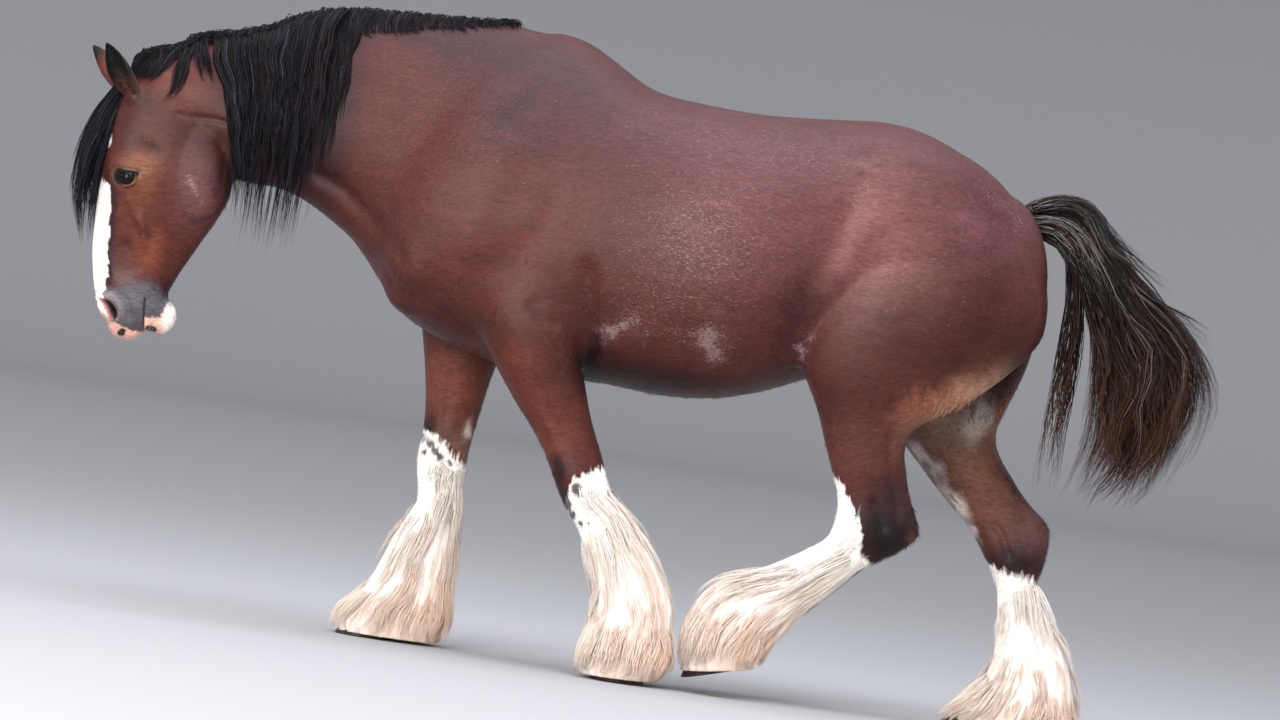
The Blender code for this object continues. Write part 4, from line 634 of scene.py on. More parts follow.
# Soft patches of tone over the bay, some of them painted shade and some painted sheen as marked: hex
# colour, middle, radii, turn in degrees, strength and side.
TONES_AND_PAINTED_LIGHT = (
    ("#553434", (0.25, 1.52), (0.8, 0.14), 0, 0.8, 0),
    ("#4d2d2b", (-0.3, 1.55), (0.28, 0.16), -20, 0.7, 0),
    # Pale blue-grey patches on the barrel: partly roan, partly painted sheen.
    ("#9d736f", (0.6, 1.27), (0.14, 0.19), 0, 0.72, 0),
    ("#7a5558", (0.24, 1.27), (0.3, 0.2), 0, 0.6, 0),
    ("#4e2b29", (-0.04, 1.27), (0.12, 0.16), 0, 0.5, 0),
    ("#462a2c", (-0.43, 1.47), (0.13, 0.12), 0, 0.55, 0),
    # Painted shade in the groove over the shoulder blade, two rows.
    ("#331e20", (-0.41, 1.5), (0.026, 0.1), -35, 0.5, 0),
    ("#331e20", (-0.44, 1.47), (0.016, 0.04), 55, 0.4, 0),
    ("#1d1716", (1.11, 1.44), (0.07, 0.06), 0, 1.0, 0),
    ("#5d3d3c", (-0.64, 1.16), (0.14, 0.2), 0, 0.5, 0),
    # Partly roan, partly painted sheen on the croup.
    ("#7d5b61", (0.9, 1.36), (0.14, 0.1), 0, 0.5, 0),
    ("#5c332c", (-0.7, 1.4), (0.18, 0.16), 0, 0.6, 0),
    ("#6a3d33", (-0.42, 1.15), (0.18, 0.16), 0, 0.55, 0),
    ("#45231f", (-0.2, 0.95), (0.14, 0.1), 0, 0.6, 0),
    # Painted shade along the belly's underside.
    ("#2b130d", (0.02, 0.825), (0.26, 0.05), 0, 0.85, 0),
    ("#7a5553", (-0.03, 0.955), (0.07, 0.04), 20, 0.45, -1),
    ("#7d5a58", (0.21, 0.95), (0.05, 0.055), -20, 0.45, -1),
    ("#7b5a5a", (0.465, 0.975), (0.018, 0.045), 5, 0.5, -1),
    # Painted shade in the crease behind the elbow.
    ("#1c0c0a", (-0.105, 0.86), (0.026, 0.065), -8, 0.95, 0),
    # Painted shade in the flank's fold.
    ("#3a1d18", (0.43, 1.05), (0.05, 0.12), 0, 0.6, 0),
    ("#43211b", (0.95, 1.12), (0.1, 0.22), 0, 0.6, 0),
    ("#43211b", (0.75, 1.04), (0.2, 0.14), 0, 0.6, 0),
    ("#2f1711", (1.03, 0.97), (0.06, 0.12), 0, 0.7, 0),
    ("#d9b892", (0.92, 0.89), (0.14, 0.048), 36, 0.9, -1),
    ("#a3937f", (0.915, 0.815), (0.11, 0.065), 10, 0.9, 2),
    ("#a8683c", (1.055, 0.87), (0.026, 0.07), -20, 0.8, 2),
    ("#8f7054", (0.975, 0.725), (0.09, 0.05), -30, 0.85, 2),
    ("#7d5a47", (1.05, 0.62), (0.11, 0.065), -48, 0.8, 2),
    ("#2c1a22", (1.12, 0.69), (0.085, 0.02), -47, 0.9, 1),
    ("#b58260", (0.8, 0.86), (0.08, 0.04), 30, 0.6, -1),
    ("#5a3229", (-0.6, 0.98), (0.12, 0.07), 0, 0.5, 0),
    ("#3d1d17", (-0.5, 0.9), (0.14, 0.05), 0, 0.5, 0),
    ("#6f3f2e", (-0.3, 0.78), (0.09, 0.12), 0, 0.7, -1),
    ("#8a5844", (-0.5, 0.74), (0.1, 0.12), 0, 0.75, 1),
    ("#7b4a36", (-0.17, 0.63), (0.06, 0.07), 0, 0.7, -1),
    ("#2a1a18", (-0.15, 0.545), (0.02, 0.04), 20, 0.95, -1),
    ("#2b2028", (-0.54, 0.6), (0.032, 0.03), 0, 0.9, 1),
    ("#8e7668", (-0.425, 0.565), (0.035, 0.055), 0, 0.75, 1),
    ("#4a2822", (0.6, 0.82), (0.12, 0.1), 0, 0.5, -1),
    ("#6f463c", (0.63, 0.71), (0.1, 0.09), 0, 0.7, -1),
    ("#1a1115", (0.765, 0.51), (0.105, 0.095), -20, 1.0, -1),
    ("#37272a", (0.755, 0.605), (0.05, 0.06), 0, 0.75, -1),
    ("#7a5a3c", (0.838, 0.492), (0.016, 0.018), 30, 0.55, -1),
    ("#6d5755", (1.165, 0.55), (0.05, 0.06), 0, 0.7, 1),
    ("#241a20", (1.15, 0.475), (0.08, 0.04), 0, 0.9, 1),
    ("#582f27", (-1.3, 1.28), (0.14, 0.11), 0, 0.7, 0),
    ("#855f60", (-1.245, 1.15), (0.06, 0.09), 0, 0.7, 0),
    ("#8b5a3c", (-1.405, 1.165), (0.05, 0.09), 0, 0.85, 0),
    ("#95684a", (-1.415, 1.205), (0.035, 0.03), 0, 0.6, 0),
    ("#70402e", (-1.43, 1.06), (0.04, 0.06), 0, 0.7, 0),
    ("#8a5030", (-1.355, 0.975), (0.055, 0.055), 0, 0.8, 0),
    ("#5a2d21", (-1.43, 0.97), (0.035, 0.07), 0, 0.7, 0),
    ("#4a2a20", (-1.285, 0.93), (0.035, 0.07), 0, 0.7, 0),
    ("#3a211a", (-1.3, 0.87), (0.04, 0.025), 0, 0.8, 0),
    ("#4d2e2c", (-1.445, 1.28), (0.05, 0.05), 0, 0.65, 0),
    # Painted shade in the hollow over the eye.
    ("#3b2422", (-1.388, 1.255), (0.026, 0.016), -20, 0.6, 0),
    ("#a98a72", (-1.398, 1.188), (0.016, 0.01), 30, 0.55, 0),
    ("#452a26", (-1.455, 1.11), (0.03, 0.012), 20, 0.35, 0),
    # Painted shade in the hollow at the cheek bone's end.
    ("#2c1a18", (-1.365, 1.018), (0.018, 0.014), 0, 0.55, 0),
    ("#3a2320", (-1.42, 1.375), (0.06, 0.03), 0, 0.8, 0),
    ("#76463a", (-1.34, 1.43), (0.06, 0.05), 0, 0.6, 0),
    # Painted shade under the jaw at the throat.
    ("#2a1618", (-1.16, 1.22), (0.06, 0.07), 0, 0.8, 0),
    ("#44221f", (-1.26, 1.315), (0.095, 0.045), 0, 0.85, 0),
    # Painted shadow of the mane on the neck behind it.
    ("#2a1719", (-0.9, 1.42), (0.06, 0.26), 0, 0.85, -1),
    ("#3a2225", (-0.56, 1.67), (0.32, 0.075), -5, 0.8, 0),
    ("#462c30", (-0.28, 1.62), (0.14, 0.07), -25, 0.6, 0),
    # Painted shadow of the mane on the neck, on both sides.
    ("#3a2024", (-0.95, 1.45), (0.08, 0.25), 0, 0.55, 0),
    ("#6f605c", (-1.415, 0.892), (0.04, 0.024), 0, 0.6, 0),
)
# The muzzle's bare grey and pink skin, the white hair and the lids are laid over the bay after the tones.
GREY_SKIN = "#48444a"
PINK_SKIN = "#d8a796"
WHITE_HAIR = "#ebe6de"
CREAM_HAIR = "#d9bf9b"
LID_SKIN = "#0c090b"
# The blaze's edge in the side view, from the forehead down to the nostril: z and x.
BLAZE_EDGE = (
    (1.34, -1.54), (1.3, -1.53), (1.282, -1.504), (1.245, -1.498), (1.236, -1.53), (1.156, -1.53),
    (1.144, -1.498), (1.136, -1.482), (1.107, -1.48), (1.076, -1.473), (1.052, -1.477), (1.016, -1.468),
    (0.992, -1.472), (0.95, -1.466), (0.906, -1.457), (0.873, -1.46), (0.85, -1.462), (0.82, -1.458),
    (0.78, -1.44),
)
# The blaze lies within these x and z, and its edge is rough by this much, and the stockings' edges by that.
BLAZE_BACK = -1.35
BLAZE_LOW, BLAZE_HIGH = 0.76, 1.35
BLAZE_ROUGHNESS = 0.0065
STOCKING_ROUGHNESS = 0.011
# The legs lie behind the head and below the body, the fore legs ahead of the hind legs.
LEGS_FRONT = -0.9
LEGS_HIGH = 0.75
FORE_BACK = 0.24
# Where the white of each leg begins, as (x, z) points of a line that the leg crosses.
WHITE_EDGES = {
    "fore_left": ((-0.3, 0.4), (-0.135, 0.445), (-0.12, 0.46), (-0.108, 0.525), (-0.06, 0.555),
                  (0.0, 0.585), (0.1, 0.6)),
    "fore_right": ((-0.7, 0.59), (-0.555, 0.59), (-0.52, 0.595), (-0.49, 0.58), (-0.47, 0.555),
                   (-0.445, 0.53), (-0.42, 0.515), (-0.3, 0.51)),
    "hind_left": ((0.5, 0.7), (0.605, 0.64), (0.645, 0.59), (0.69, 0.52), (0.7, 0.44), (0.735, 0.42),
                  (0.76, 0.3)),
    "hind_right": ((0.95, 0.47), (1.08, 0.455), (1.15, 0.435), (1.2, 0.43), (1.3, 0.43)),
}
# The near hind leg's white ends in front of its hock's point.
HOCK_POINT = 0.76
# Dark spots in the white hair under the fore legs' knees: x, z, size and side.
STOCKING_SPOTS = (
    (-0.09, 0.503, 0.017, -1), (-0.128, 0.487, 0.018, -1), (-0.112, 0.458, 0.015, -1),
    (-0.094, 0.434, 0.011, -1), (-0.067, 0.414, 0.008, -1), (-0.044, 0.418, 0.006, -1),
    (-0.082, 0.398, 0.006, -1), (-0.54, 0.575, 0.012, 1), (-0.518, 0.562, 0.014, 1),
    (-0.5, 0.54, 0.012, 1), (-0.484, 0.528, 0.012, 1), (-0.476, 0.505, 0.008, 1), (-0.49, 0.575, 0.01, 1),
    (-0.53, 0.535, 0.008, 1), (-0.455, 0.515, 0.008, 1),
)
# Pale marks and dark flecks inside the far legs, laid over the bay in the same way as the tones.
PALE_MARKS = (
    ("#a59a8c", (0.985, 0.845), (0.028, 0.05), -25, 0.8, 2),
    ("#b4a8a0", (0.838, 0.733), (0.036, 0.013), -38, 0.95, 2),
    ("#b4a8a0", (0.882, 0.692), (0.026, 0.012), -45, 0.9, 2),
    ("#b4a8a0", (0.925, 0.645), (0.028, 0.011), -50, 0.85, 2),
    ("#c4b9b0", (0.962, 0.605), (0.032, 0.016), -50, 0.95, 2),
    ("#b4a8a0", (1.015, 0.545), (0.03, 0.008), -52, 0.85, 2),
    ("#2a171c", (0.858, 0.705), (0.018, 0.005), -45, 0.8, 2),
    ("#2a171c", (0.905, 0.674), (0.022, 0.005), -48, 0.8, 2),
    ("#2a171c", (0.948, 0.622), (0.018, 0.004), -48, 0.8, 2),
    ("#c4b5a6", (-0.422, 0.608), (0.008, 0.017), 0, 0.85, 1),
)


def jagged(along, seed, lengths=(0.031, 0.0173, 0.0091), heights=(0.5, 0.3, 0.2)):
    """A ragged line from -1 to 1: sharp saw waves of three lengths added together, set off by a seed."""
    total = np.zeros_like(along)
    for k, (length, height) in enumerate(zip(lengths, heights)):
        phase = np.mod(along / length + seed * 0.37 * (k + 1), 1.0)
        total += height * (1 - 4 * np.abs(phase - 0.5))
    return total


def white_share(points):
    """How far inside a white marking each point lies, in metres: more than 0 in the white."""
    x, y, z = points.T
    edge = np.interp(z, *np.array(BLAZE_EDGE)[::-1].T)
    rough = BLAZE_ROUGHNESS * jagged(z, 1, (0.037, 0.019, 0.008))
    face = edge + rough * smooth_step(1.34, 1.0, z) - x
    total = np.where((x < BLAZE_BACK) & (z > BLAZE_LOW) & (z < BLAZE_HIGH), face, -1.0)
    for place, line in WHITE_EDGES.items():
        near, fore = place.endswith("left"), place.startswith("fore")
        here = ((y < 0) == near) & ((x < FORE_BACK) == fore) & (z < LEGS_HIGH) & (x > LEGS_FRONT)
        rough = STOCKING_ROUGHNESS * jagged(x + 0.6 * y, 2 + near + 2 * fore, (0.023, 0.013, 0.006))
        inside = np.interp(x, *np.array(line).T) - z + rough
        if place == "hind_left":
            inside = np.where(x > HOCK_POINT, -0.05, inside)
        total = np.where(here, np.maximum(total, inside), total)
    return total


def ruffled(points, reach):
    """Points pushed about in the side view by sums of sines, less on the head, so that a soft patch laid on
    them has an uneven edge."""
    x, y, z = points.T
    along = np.sin(71 * z + 19 * x + 3 * y) + 0.6 * np.sin(163 * z - 47 * x + 1.3)
    up = np.sin(63 * x - 23 * z + 2.1) + 0.6 * np.sin(151 * x + 71 * z + 3 * y)
    push = reach * (0.15 + 0.85 * smooth_step(-1.25, -1.05, x))
    return points + push[:, None] * np.stack([along, 0 * y, up], axis=-1)


def mix(colour, share, tone):
    """Lays a tone, hex or linear, over colours by a share from 0 to 1."""
    tone = linear(tone) if isinstance(tone, str) else tone
    return colour + share[..., None] * (tone - colour)


def patched(colour, points, patches, firmness, push):
    """Lays soft patches over colours, cut off at their strength, so that a firmer one is more even."""
    uneven = ruffled(points, push)
    for tone, middle, radii, turn, strength, side in patches:
        share = np.clip(firmness * strength * blob(uneven, middle, radii, turn), 0, strength)
        colour = mix(colour, share * side_share(points, side), tone)
    return colour


# Where the muzzle's grey skin begins under the brown hair: x and z.
GREY_TOP = (
    (-1.49, 0.852), (-1.458, 0.848), (-1.439, 0.85), (-1.414, 0.864), (-1.383, 0.878), (-1.351, 0.884),
    (-1.328, 0.882), (-1.308, 0.87), (-1.296, 0.852), (-1.285, 0.838), (-1.25, 0.832),
)
# The pink and white skin of the lips lies below these x and z, upper lip first.
LIP_RIM = (
    (-1.48, 0.812), (-1.455, 0.79), (-1.429, 0.767), (-1.41, 0.763), (-1.38, 0.752), (-1.352, 0.75),
    (-1.3405, 0.755), (-1.34, 0.794), (-1.3166, 0.793), (-1.2987, 0.799), (-1.2888, 0.8242),
    (-1.2863, 0.8385), (-1.2763, 0.8493), (-1.24, 0.86),
)


def muzzle_share(points):
    """How far the hair gives way to the muzzle's grey skin, over a soft ragged edge."""
    x, y, z = points.T
    edge = np.interp(x, *np.array(GREY_TOP).T) + 0.007 * jagged(x * 0.8 + y, 3, (0.041, 0.023, 0.009))
    return smooth_step(0.024, -0.016, z - edge) * (x < -1.22)


def bare_share(points):
    """Where the muzzle and lids are nearly hairless skin, from 0 to 1."""
    lids = np.maximum(*(1 - smooth_step(1.15, 1.4, eye_reach(points, side)[0]) for side in (-1, 1)))
    return np.maximum(muzzle_share(points), lids)


def hide_tones(points):
    """Colour of the hide, white markings and bare skin included, with painted shade in its creases, hollows
    and openings and painted sheen on the barrel and croup.
    """
    x, y, z = points.T
    colour = patched(linear(BAY), points, TONES_AND_PAINTED_LIGHT, 1.25, 0.006) * OWN_SHARE
    colour = patched(colour, points, PALE_MARKS, 1.6, 0.005)
    white = white_share(points)
    # The brown is darkest along the blaze.
    fringe = bell(white, -0.008, 0.009) * (x < -1.3) * smooth_step(1.2, 1.1, z)
    colour = mix(colour, 0.8 * fringe, "#1b0e1a")
    # The muzzle's grey skin is paler on the nostril's wing and darker behind it.
    muzzle = muzzle_share(points)
    colour = mix(colour, muzzle, GREY_SKIN)
    wing = bell(line_distance(points, WING)[0], 0.0, WING_HALF_WIDTH) * (x < -1.3)
    colour = mix(colour, 0.6 * wing, "#7c736f")
    colour = mix(colour, 0.45 * muzzle * blob(points, (-1.375, 0.765), (0.03, 0.022)), "#2c282d")
    # White hair turns cream in streaks towards the ground.
    cream = smooth_step(0.33, 0.1, z) * smooth_step(-1.0, 1.0, jagged(x + y, 5, (0.09, 0.05, 0.03)) + 0.4)
    pale = mix(linear(WHITE_HAIR), 0.75 * cream, CREAM_HAIR)
    colour = mix(colour, smooth_step(-0.0015, 0.0015, white), pale)
    for sx, sz, size, side in STOCKING_SPOTS:
        spot = blob(points, (sx, sz), (size, 1.3 * size), 25) * side_share(points, side)
        spot += 0.1 * jagged(x + z, 4, (0.011, 0.007, 0.004))
        colour = mix(colour, 0.9 * smooth_step(0.3, 0.6, spot), "#241c20")
    for tone, share in muzzle_rims(points):
        colour = mix(colour, share, tone)
    # Round each eye lie a pale ring, a dark line over the fold that is painted shade in its crease, and
    # bare black lids, and in each nostril painted shade and then pink skin.
    for side in (-1, 1):
        reach, _, up = eye_reach(points, side)
        colour = mix(colour, 0.45 * bell(reach, 1.52, 0.16), "#6e5544")
        colour = mix(colour, 0.4 * bell(reach, 1.8, 0.14) * smooth_step(0.2, 0.7, up), "#2b1a17")
        colour = mix(colour, 1 - smooth_step(1.22, 1.42, reach), LID_SKIN)
        hole = nostril_reach(points, side)
        colour = mix(colour, 0.9 * (1 - smooth_step(1.02, 1.18, hole)), "#1c1315")
        pink = (1 - smooth_step(0.9, 1.45, hole)) * smooth_step(-1.434, -1.452, x + 0.55 * (z - 0.803))
        colour = mix(colour, 0.9 * pink, "#c48d86")
    # The line where the lips meet is painted dark: painted shade in its crease.
    return mix(colour, 0.85 * lips_of(points), "#20171a")


def muzzle_rims(points):
    """The pink and white rims of the lips and chin, with their dark spots: pairs of hex tone and share."""
    x, y, z = points.T
    wave = 0.004 * jagged(x * 1.3 + y, 7, (0.045, 0.023, 0.011))
    low = np.interp(x, *np.array(LIP_RIM).T)
    rim = smooth_step(0.003, -0.004, z - low - wave) * (x < -1.225) * (z < 0.865)
    front = smooth_step(-1.448, -1.458, x + 0.5 * (z - 0.82)) * smooth_step(0.8, 0.745, z + 2 * wave)
    pink = np.maximum(rim, front)
    pale = pink * smooth_step(-1.3, -1.275, x)
    corner = blob(points, (-1.279, 0.838), (0.009, 0.014))
    upper_spot = blob(points, (-1.397, 0.742), (0.015, 0.011), 35)
    spots = smooth_step(0.35, 0.55, np.maximum(upper_spot, blob(points, (-1.319, 0.762), (0.018, 0.011))))
    return (PINK_SKIN, pink), (WHITE_HAIR, 0.75 * pale), ("#8b868b", 0.8 * corner), ("#2e2226", spots)


# Where white hairs are strewn in the coat: middle, radii, turn in degrees and thickness.
ROAN = (
    ((0.14, 1.22), (0.26, 0.24), 0, 0.48), ((0.1, 1.05), (0.26, 0.12), 0, 0.4),
    ((-0.04, 0.965), (0.065, 0.032), 40, 1.15), ((0.215, 0.945), (0.06, 0.045), -40, 1.05),
    ((0.465, 0.97), (0.016, 0.05), 5, 1.05), ((0.08, 0.955), (0.2, 0.03), 0, 0.45),
    ((0.555, 1.4), (0.022, 0.075), 0, 0.5), ((0.3, 1.5), (0.55, 0.1), 0, 0.3),
    ((0.7, 1.25), (0.2, 0.2), 0, 0.25), ((-1.255, 1.165), (0.011, 0.052), 34, 0.9),
    ((-1.4, 1.275), (0.022, 0.012), 20, 0.45), ((-0.55, 1.42), (0.3, 0.25), 0, 0.2),
    ((0.95, 1.44), (0.12, 0.035), -32, 0.5), ((0.895, 0.675), (0.14, 0.035), -44, 1.1),
)


def roan_share(points):
    """How thickly white hairs are strewn in the coat."""
    share = np.zeros(len(points))
    uneven = ruffled(points, 0.013)
    for middle, radii, turn, strength in ROAN:
        share = np.maximum(share, strength * blob(uneven, middle, radii, turn))
    return share


def coat_attributes(mesh, tones, marks):
    """Stores a colour and three shares for every point of a mesh."""
    for name, values in (("coat", tones), ("marks", marks)):
        layer = mesh.color_attributes.new(name=name, type="FLOAT_COLOR", domain="POINT")
        filled = np.ones((len(values), 4), np.float32)
        filled[:, :3] = values
        layer.data.foreach_set("color", filled.ravel())


points, normals = read_points(hide.data)
coat_attributes(hide.data, hide_tones(points), np.stack(
    [roan_share(points), bare_share(points), np.zeros(len(points))], axis=-1))


def add(tree, kind, values=None, links=None, **settings):
    """Adds a node: its settings by name, its sockets' values, and the sockets that others feed."""
    made = tree.nodes.new(kind)
    for name, value in settings.items():
        setattr(made, name, value)
    for socket, value in (values or {}).items():
        made.inputs[socket].default_value = value
    for socket, source in (links or {}).items():
        tree.links.new(source, made.inputs[socket])
    return made


def new_material(name, roughness, **sockets):
    """A material with its surface shader's plain values set on its own sockets."""
    material = bpy.data.materials.new(name)
    material.use_nodes = True
    surface = material.node_tree.nodes["Principled BSDF"]
    surface.inputs["Roughness"].default_value = roughness
    for socket, value in sockets.items():
        surface.inputs[socket.replace("_", " ")].default_value = value
    return material, material.node_tree, surface


def stored(tree):
    """The sockets of a mesh's stored colour, and of its three shares."""
    tone = add(tree, "ShaderNodeVertexColor", layer_name="coat")
    marks = add(tree, "ShaderNodeVertexColor", layer_name="marks")
    shares = add(tree, "ShaderNodeSeparateColor", links={"Color": marks.outputs["Color"]})
    return tone.outputs["Color"], [shares.outputs[name] for name in ("Red", "Green", "Blue")]


def laid(tree, stretch, turn=0.0):
    """Places on the object, turned about Y by degrees and stretched."""
    where = add(tree, "ShaderNodeTexCoord")
    rotation = (0.0, math.radians(turn), 0.0)
    lie = add(tree, "ShaderNodeMapping", values={"Rotation": rotation, "Scale": stretch},
              links={"Vector": where.outputs["Object"]})
    return lie.outputs["Vector"]


def noise(tree, place, size, detail=3.0, roughness=0.5):
    """Soft random shades, a size in metres from one to the next."""
    made = add(tree, "ShaderNodeTexNoise",
               values={"Scale": 1 / size, "Detail": detail, "Roughness": roughness},
               links={"Vector": place})
    return made.outputs["Fac"]


def ranged(tree, value, low, high, start=0.3, end=0.7):
    """A value whose span from start to end is stretched to low to high, and held at both."""
    made = add(tree, "ShaderNodeMapRange", links={"Value": value},
               values={"From Min": start, "From Max": end, "To Min": low, "To Max": high})
    return made.outputs["Result"]


def worked(tree, operation, first, second):
    """A socket that adds, subtracts or multiplies two others, or a number and another."""
    pair = {0: first, 1: second}
    sockets = {key: value for key, value in pair.items() if isinstance(value, bpy.types.NodeSocket)}
    numbers = {key: value for key, value in pair.items() if key not in sockets}
    return add(tree, "ShaderNodeMath", operation=operation, values=numbers, links=sockets).outputs["Value"]


def shaded(tree, tone, share):
    """A colour made lighter or darker by a share of it."""
    return add(tree, "ShaderNodeVectorMath", operation="SCALE",
               links={0: tone, "Scale": share}).outputs["Vector"]


def finished(tree, surface, colour, height, strength, depth):
    """Feeds a surface its colour, and its bumps from a height."""
    relief = add(tree, "ShaderNodeBump", values={"Strength": strength, "Distance": depth},
                 links={"Height": height})
    tree.links.new(colour, surface.inputs["Base Color"])
    tree.links.new(relief.outputs["Normal"], surface.inputs["Normal"])


# Short summer horse hair lies close and flat and shines a little along the back. Its hairs are under
# 0.1 mm, too fine to show, so it is drawn as flecks 3 mm wide and 12 mm long that lie down and back.
FLECK = 0.003
short_coat, tree, surface = new_material("short_bay_horsehair", 0.5, Specular_IOR_Level=0.2,
                                         Sheen_Weight=0.01, Sheen_Roughness=0.45)
surface.inputs["Sheen Tint"].default_value = (*linear("#b9b2c0"), 1.0)
tone, (roan, bare, _) = stored(tree)
lie = laid(tree, (0.28, 1.0, 1.0), -35)
flecks = noise(tree, lie, 2 * FLECK, 3.0, 0.65)
clouds = noise(tree, lie, 0.035, 4.0, 0.6)
vary = worked(tree, "MULTIPLY", ranged(tree, flecks, 0.68, 1.34), ranged(tree, clouds, 0.84, 1.17))
# White hairs strewn among the red ones show as pale ticks, where a fine noise rises over an edge that the
# thickness of the roan lowers.
above = worked(tree, "SUBTRACT", noise(tree, lie, FLECK / 1.1, 2.0, 0.7),
               ranged(tree, roan, 0.69, 0.36, 0.0, 1.0))
ticking = add(tree, "ShaderNodeMix", data_type="RGBA", blend_type="MIX",
              values={"B": (*linear("#8a7775"), 1.0)},
              links={"Factor": ranged(tree, above, 0.0, 0.62, 0.0, 0.14), "A": shaded(tree, tone, vary)})
# Bare muzzle skin is matt and pebbled, about 1.5 mm from pebble to pebble, drawn at 2.5 mm.
pebbles = add(tree, "ShaderNodeTexVoronoi", values={"Scale": 1 / 0.0025},
              links={"Vector": laid(tree, (1.0, 1.0, 1.0))})
pebble_height = worked(tree, "MULTIPLY", pebbles.outputs["Distance"], bare)
fur_height = worked(tree, "MULTIPLY", flecks, worked(tree, "SUBTRACT", 1.0, bare))
height = worked(tree, "ADD", fur_height, pebble_height)
finished(tree, surface, ticking.outputs["Result"], height, 0.35, 0.0012)
hide.data.materials.clear()
hide.data.materials.append(short_coat)
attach(hide, "root")
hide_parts("torso", "neck", "head", "fore_left_upper", "fore_right_upper", "hind_left_upper",
            "hind_right_upper", "fore_left_lower", "fore_right_lower", "hind_left_lower",
            "hind_right_lower")

# The eyes
# A wet dark ball under a clear bulging cornea, with a level oblong pupil in a brown iris. It is set in
# its socket behind the lids, and a row of short lashes stands out over it from the upper lid.

eye_gloss, tree, surface = new_material("wet_horse_eye", 0.12, Specular_IOR_Level=0.08, Coat_Weight=0.15,
                                        Coat_Roughness=0.02)
tree.links.new(stored(tree)[0], surface.inputs["Base Color"])


# How far the cornea stands out as a share of the ball, and the half length and height of the pupil and the
# iris.
CORNEA = 0.035
PUPIL = (0.42, 0.2)
IRIS = (0.74, 0.64)


def eye_mesh(side):
    """A ball in rings from the look direction back, raised by a flat-topped bell over the iris for the
    cornea."""
    centre, look, _, _ = eye_frame(side)
    down = np.linspace(0.002, math.pi - 0.002, 60)[:, None]
    turn = np.linspace(0, 2 * math.pi, 64, endpoint=False)[None, :]
    radius = EYE_RADIUS * (1 + CORNEA * np.exp(-((down / 0.55) ** 4)))
    level = upright((0.98, 0.0, 0.17), look)
    rise = np.cross(look, level) * side
    u, v = np.sin(down) * np.cos(turn), np.sin(down) * np.sin(turn)
    w = np.cos(down) * np.ones_like(turn)
    ball = look * w[..., None] + level * u[..., None] + rise * v[..., None]
    pupil = smooth_step(1.15, 0.85, np.hypot(u / PUPIL[0], v / PUPIL[1]))
    iris = smooth_step(1.1, 0.92, np.hypot(u / IRIS[0], v / IRIS[1]))
    rays = 0.5 + 0.5 * np.sin(23 * turn + 3 * np.sin(7 * turn))
    brown = linear("#160d0b") * (0.7 + 0.6 * rays[..., None] * np.ones_like(u)[..., None])
    colour = mix(mix(linear("#0b0809"), iris, brown), pupil, "#05060a")
    mesh = shells("eye", [(centre + radius[..., None] * ball)])
    coat_attributes(mesh, colour.reshape(-1, 3), np.zeros((u.size, 3)))
    mesh.shade_smooth()
    mesh.materials.append(eye_gloss)
    return mesh


for label, side in (("left", -1), ("right", 1)):
    eye = placed(f"eye_surface_{label}", eye_mesh(side))
    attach(eye, "root")
    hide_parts(f"eye_{label}")

# The ears
# Thin cups of gristle under short hair, rolled round at the base and open towards the front, black at
# their tips and backs, brown at their roots. Each is one curved sheet with a thickness.

EAR_ROOT = np.array((-1.458, 0.07, 1.392))
EAR_HALF_WIDTH = 0.033
EAR_TIPS = {"left": np.array((-1.554, -0.085, 1.52)), "right": np.array((-1.604, 0.085, 1.514))}
EAR_THICKNESS = 0.003
EAR_OPENING = np.array((-0.55, 0.8, 0.0))
EAR_BOW = 0.01
# Share of the ear's length, half width as a share of the widest, and how far the sheet wraps from its
# back to each edge, in degrees.
EAR_SHAPE = (
    (-0.16, 0.62, 172), (0.0, 0.7, 165), (0.12, 0.8, 145), (0.25, 0.93, 128), (0.42, 1.0, 112),
    (0.6, 0.93, 98), (0.76, 0.72, 86), (0.9, 0.4, 76), (0.97, 0.18, 70), (1.0, 0.03, 60),
)


def ear_frame(side, tip):
    """An ear's root and the unit directions up along it, out of its opening and across it."""
    root = EAR_ROOT * (1, side, 1)
    along = unit(tip - root)
    opening = upright(EAR_OPENING * (1, side, 1), along)
    return root, along, opening, np.cross(along, opening)


def ear_mesh(side, tip):
    """A sheet of two parameters, a share up the ear and an angle round its back, bowed towards the opening.
    The near ear is black outside, and the far ear shows its brown inside, black only at the tip."""
    root, along, opening, across = ear_frame(side, tip)
    table = np.array(EAR_SHAPE)
    share = np.linspace(table[0, 0], 1.0, 44)[:, None]
    width = EAR_HALF_WIDTH * np.interp(share, table[:, 0], table[:, 1])
    wrap = np.radians(np.interp(share, table[:, 0], table[:, 2]))
    angle = np.linspace(-1, 1, 33)[None, :] * wrap
    length = np.linalg.norm(tip - root)
    bow = EAR_BOW * np.sin(math.pi * np.clip(share, 0, 1))
    depth = 0.8 * width
    place = (root + along * (length * share)[..., None]
             + opening * (bow - depth * np.cos(angle) - 0.004)[..., None]
             + across * (width * np.sin(angle))[..., None])
    mesh = open_sheet("ear", place)
    edge = np.abs(angle) / wrap
    grown = np.broadcast_to(share, edge.shape)
    black = np.clip(smooth_step(0.15, 0.6, grown) + 0.6 * smooth_step(0.55, 0.95, edge), 0, 1)
    if side > 0:
        black = smooth_step(0.6, 0.92, grown)
    colour = mix(linear("#3d241b" if side < 0 else "#5a2f2a"), black, "#080607")
    coat_attributes(mesh, colour.reshape(-1, 3), np.zeros((black.size, 3)))
    return mesh


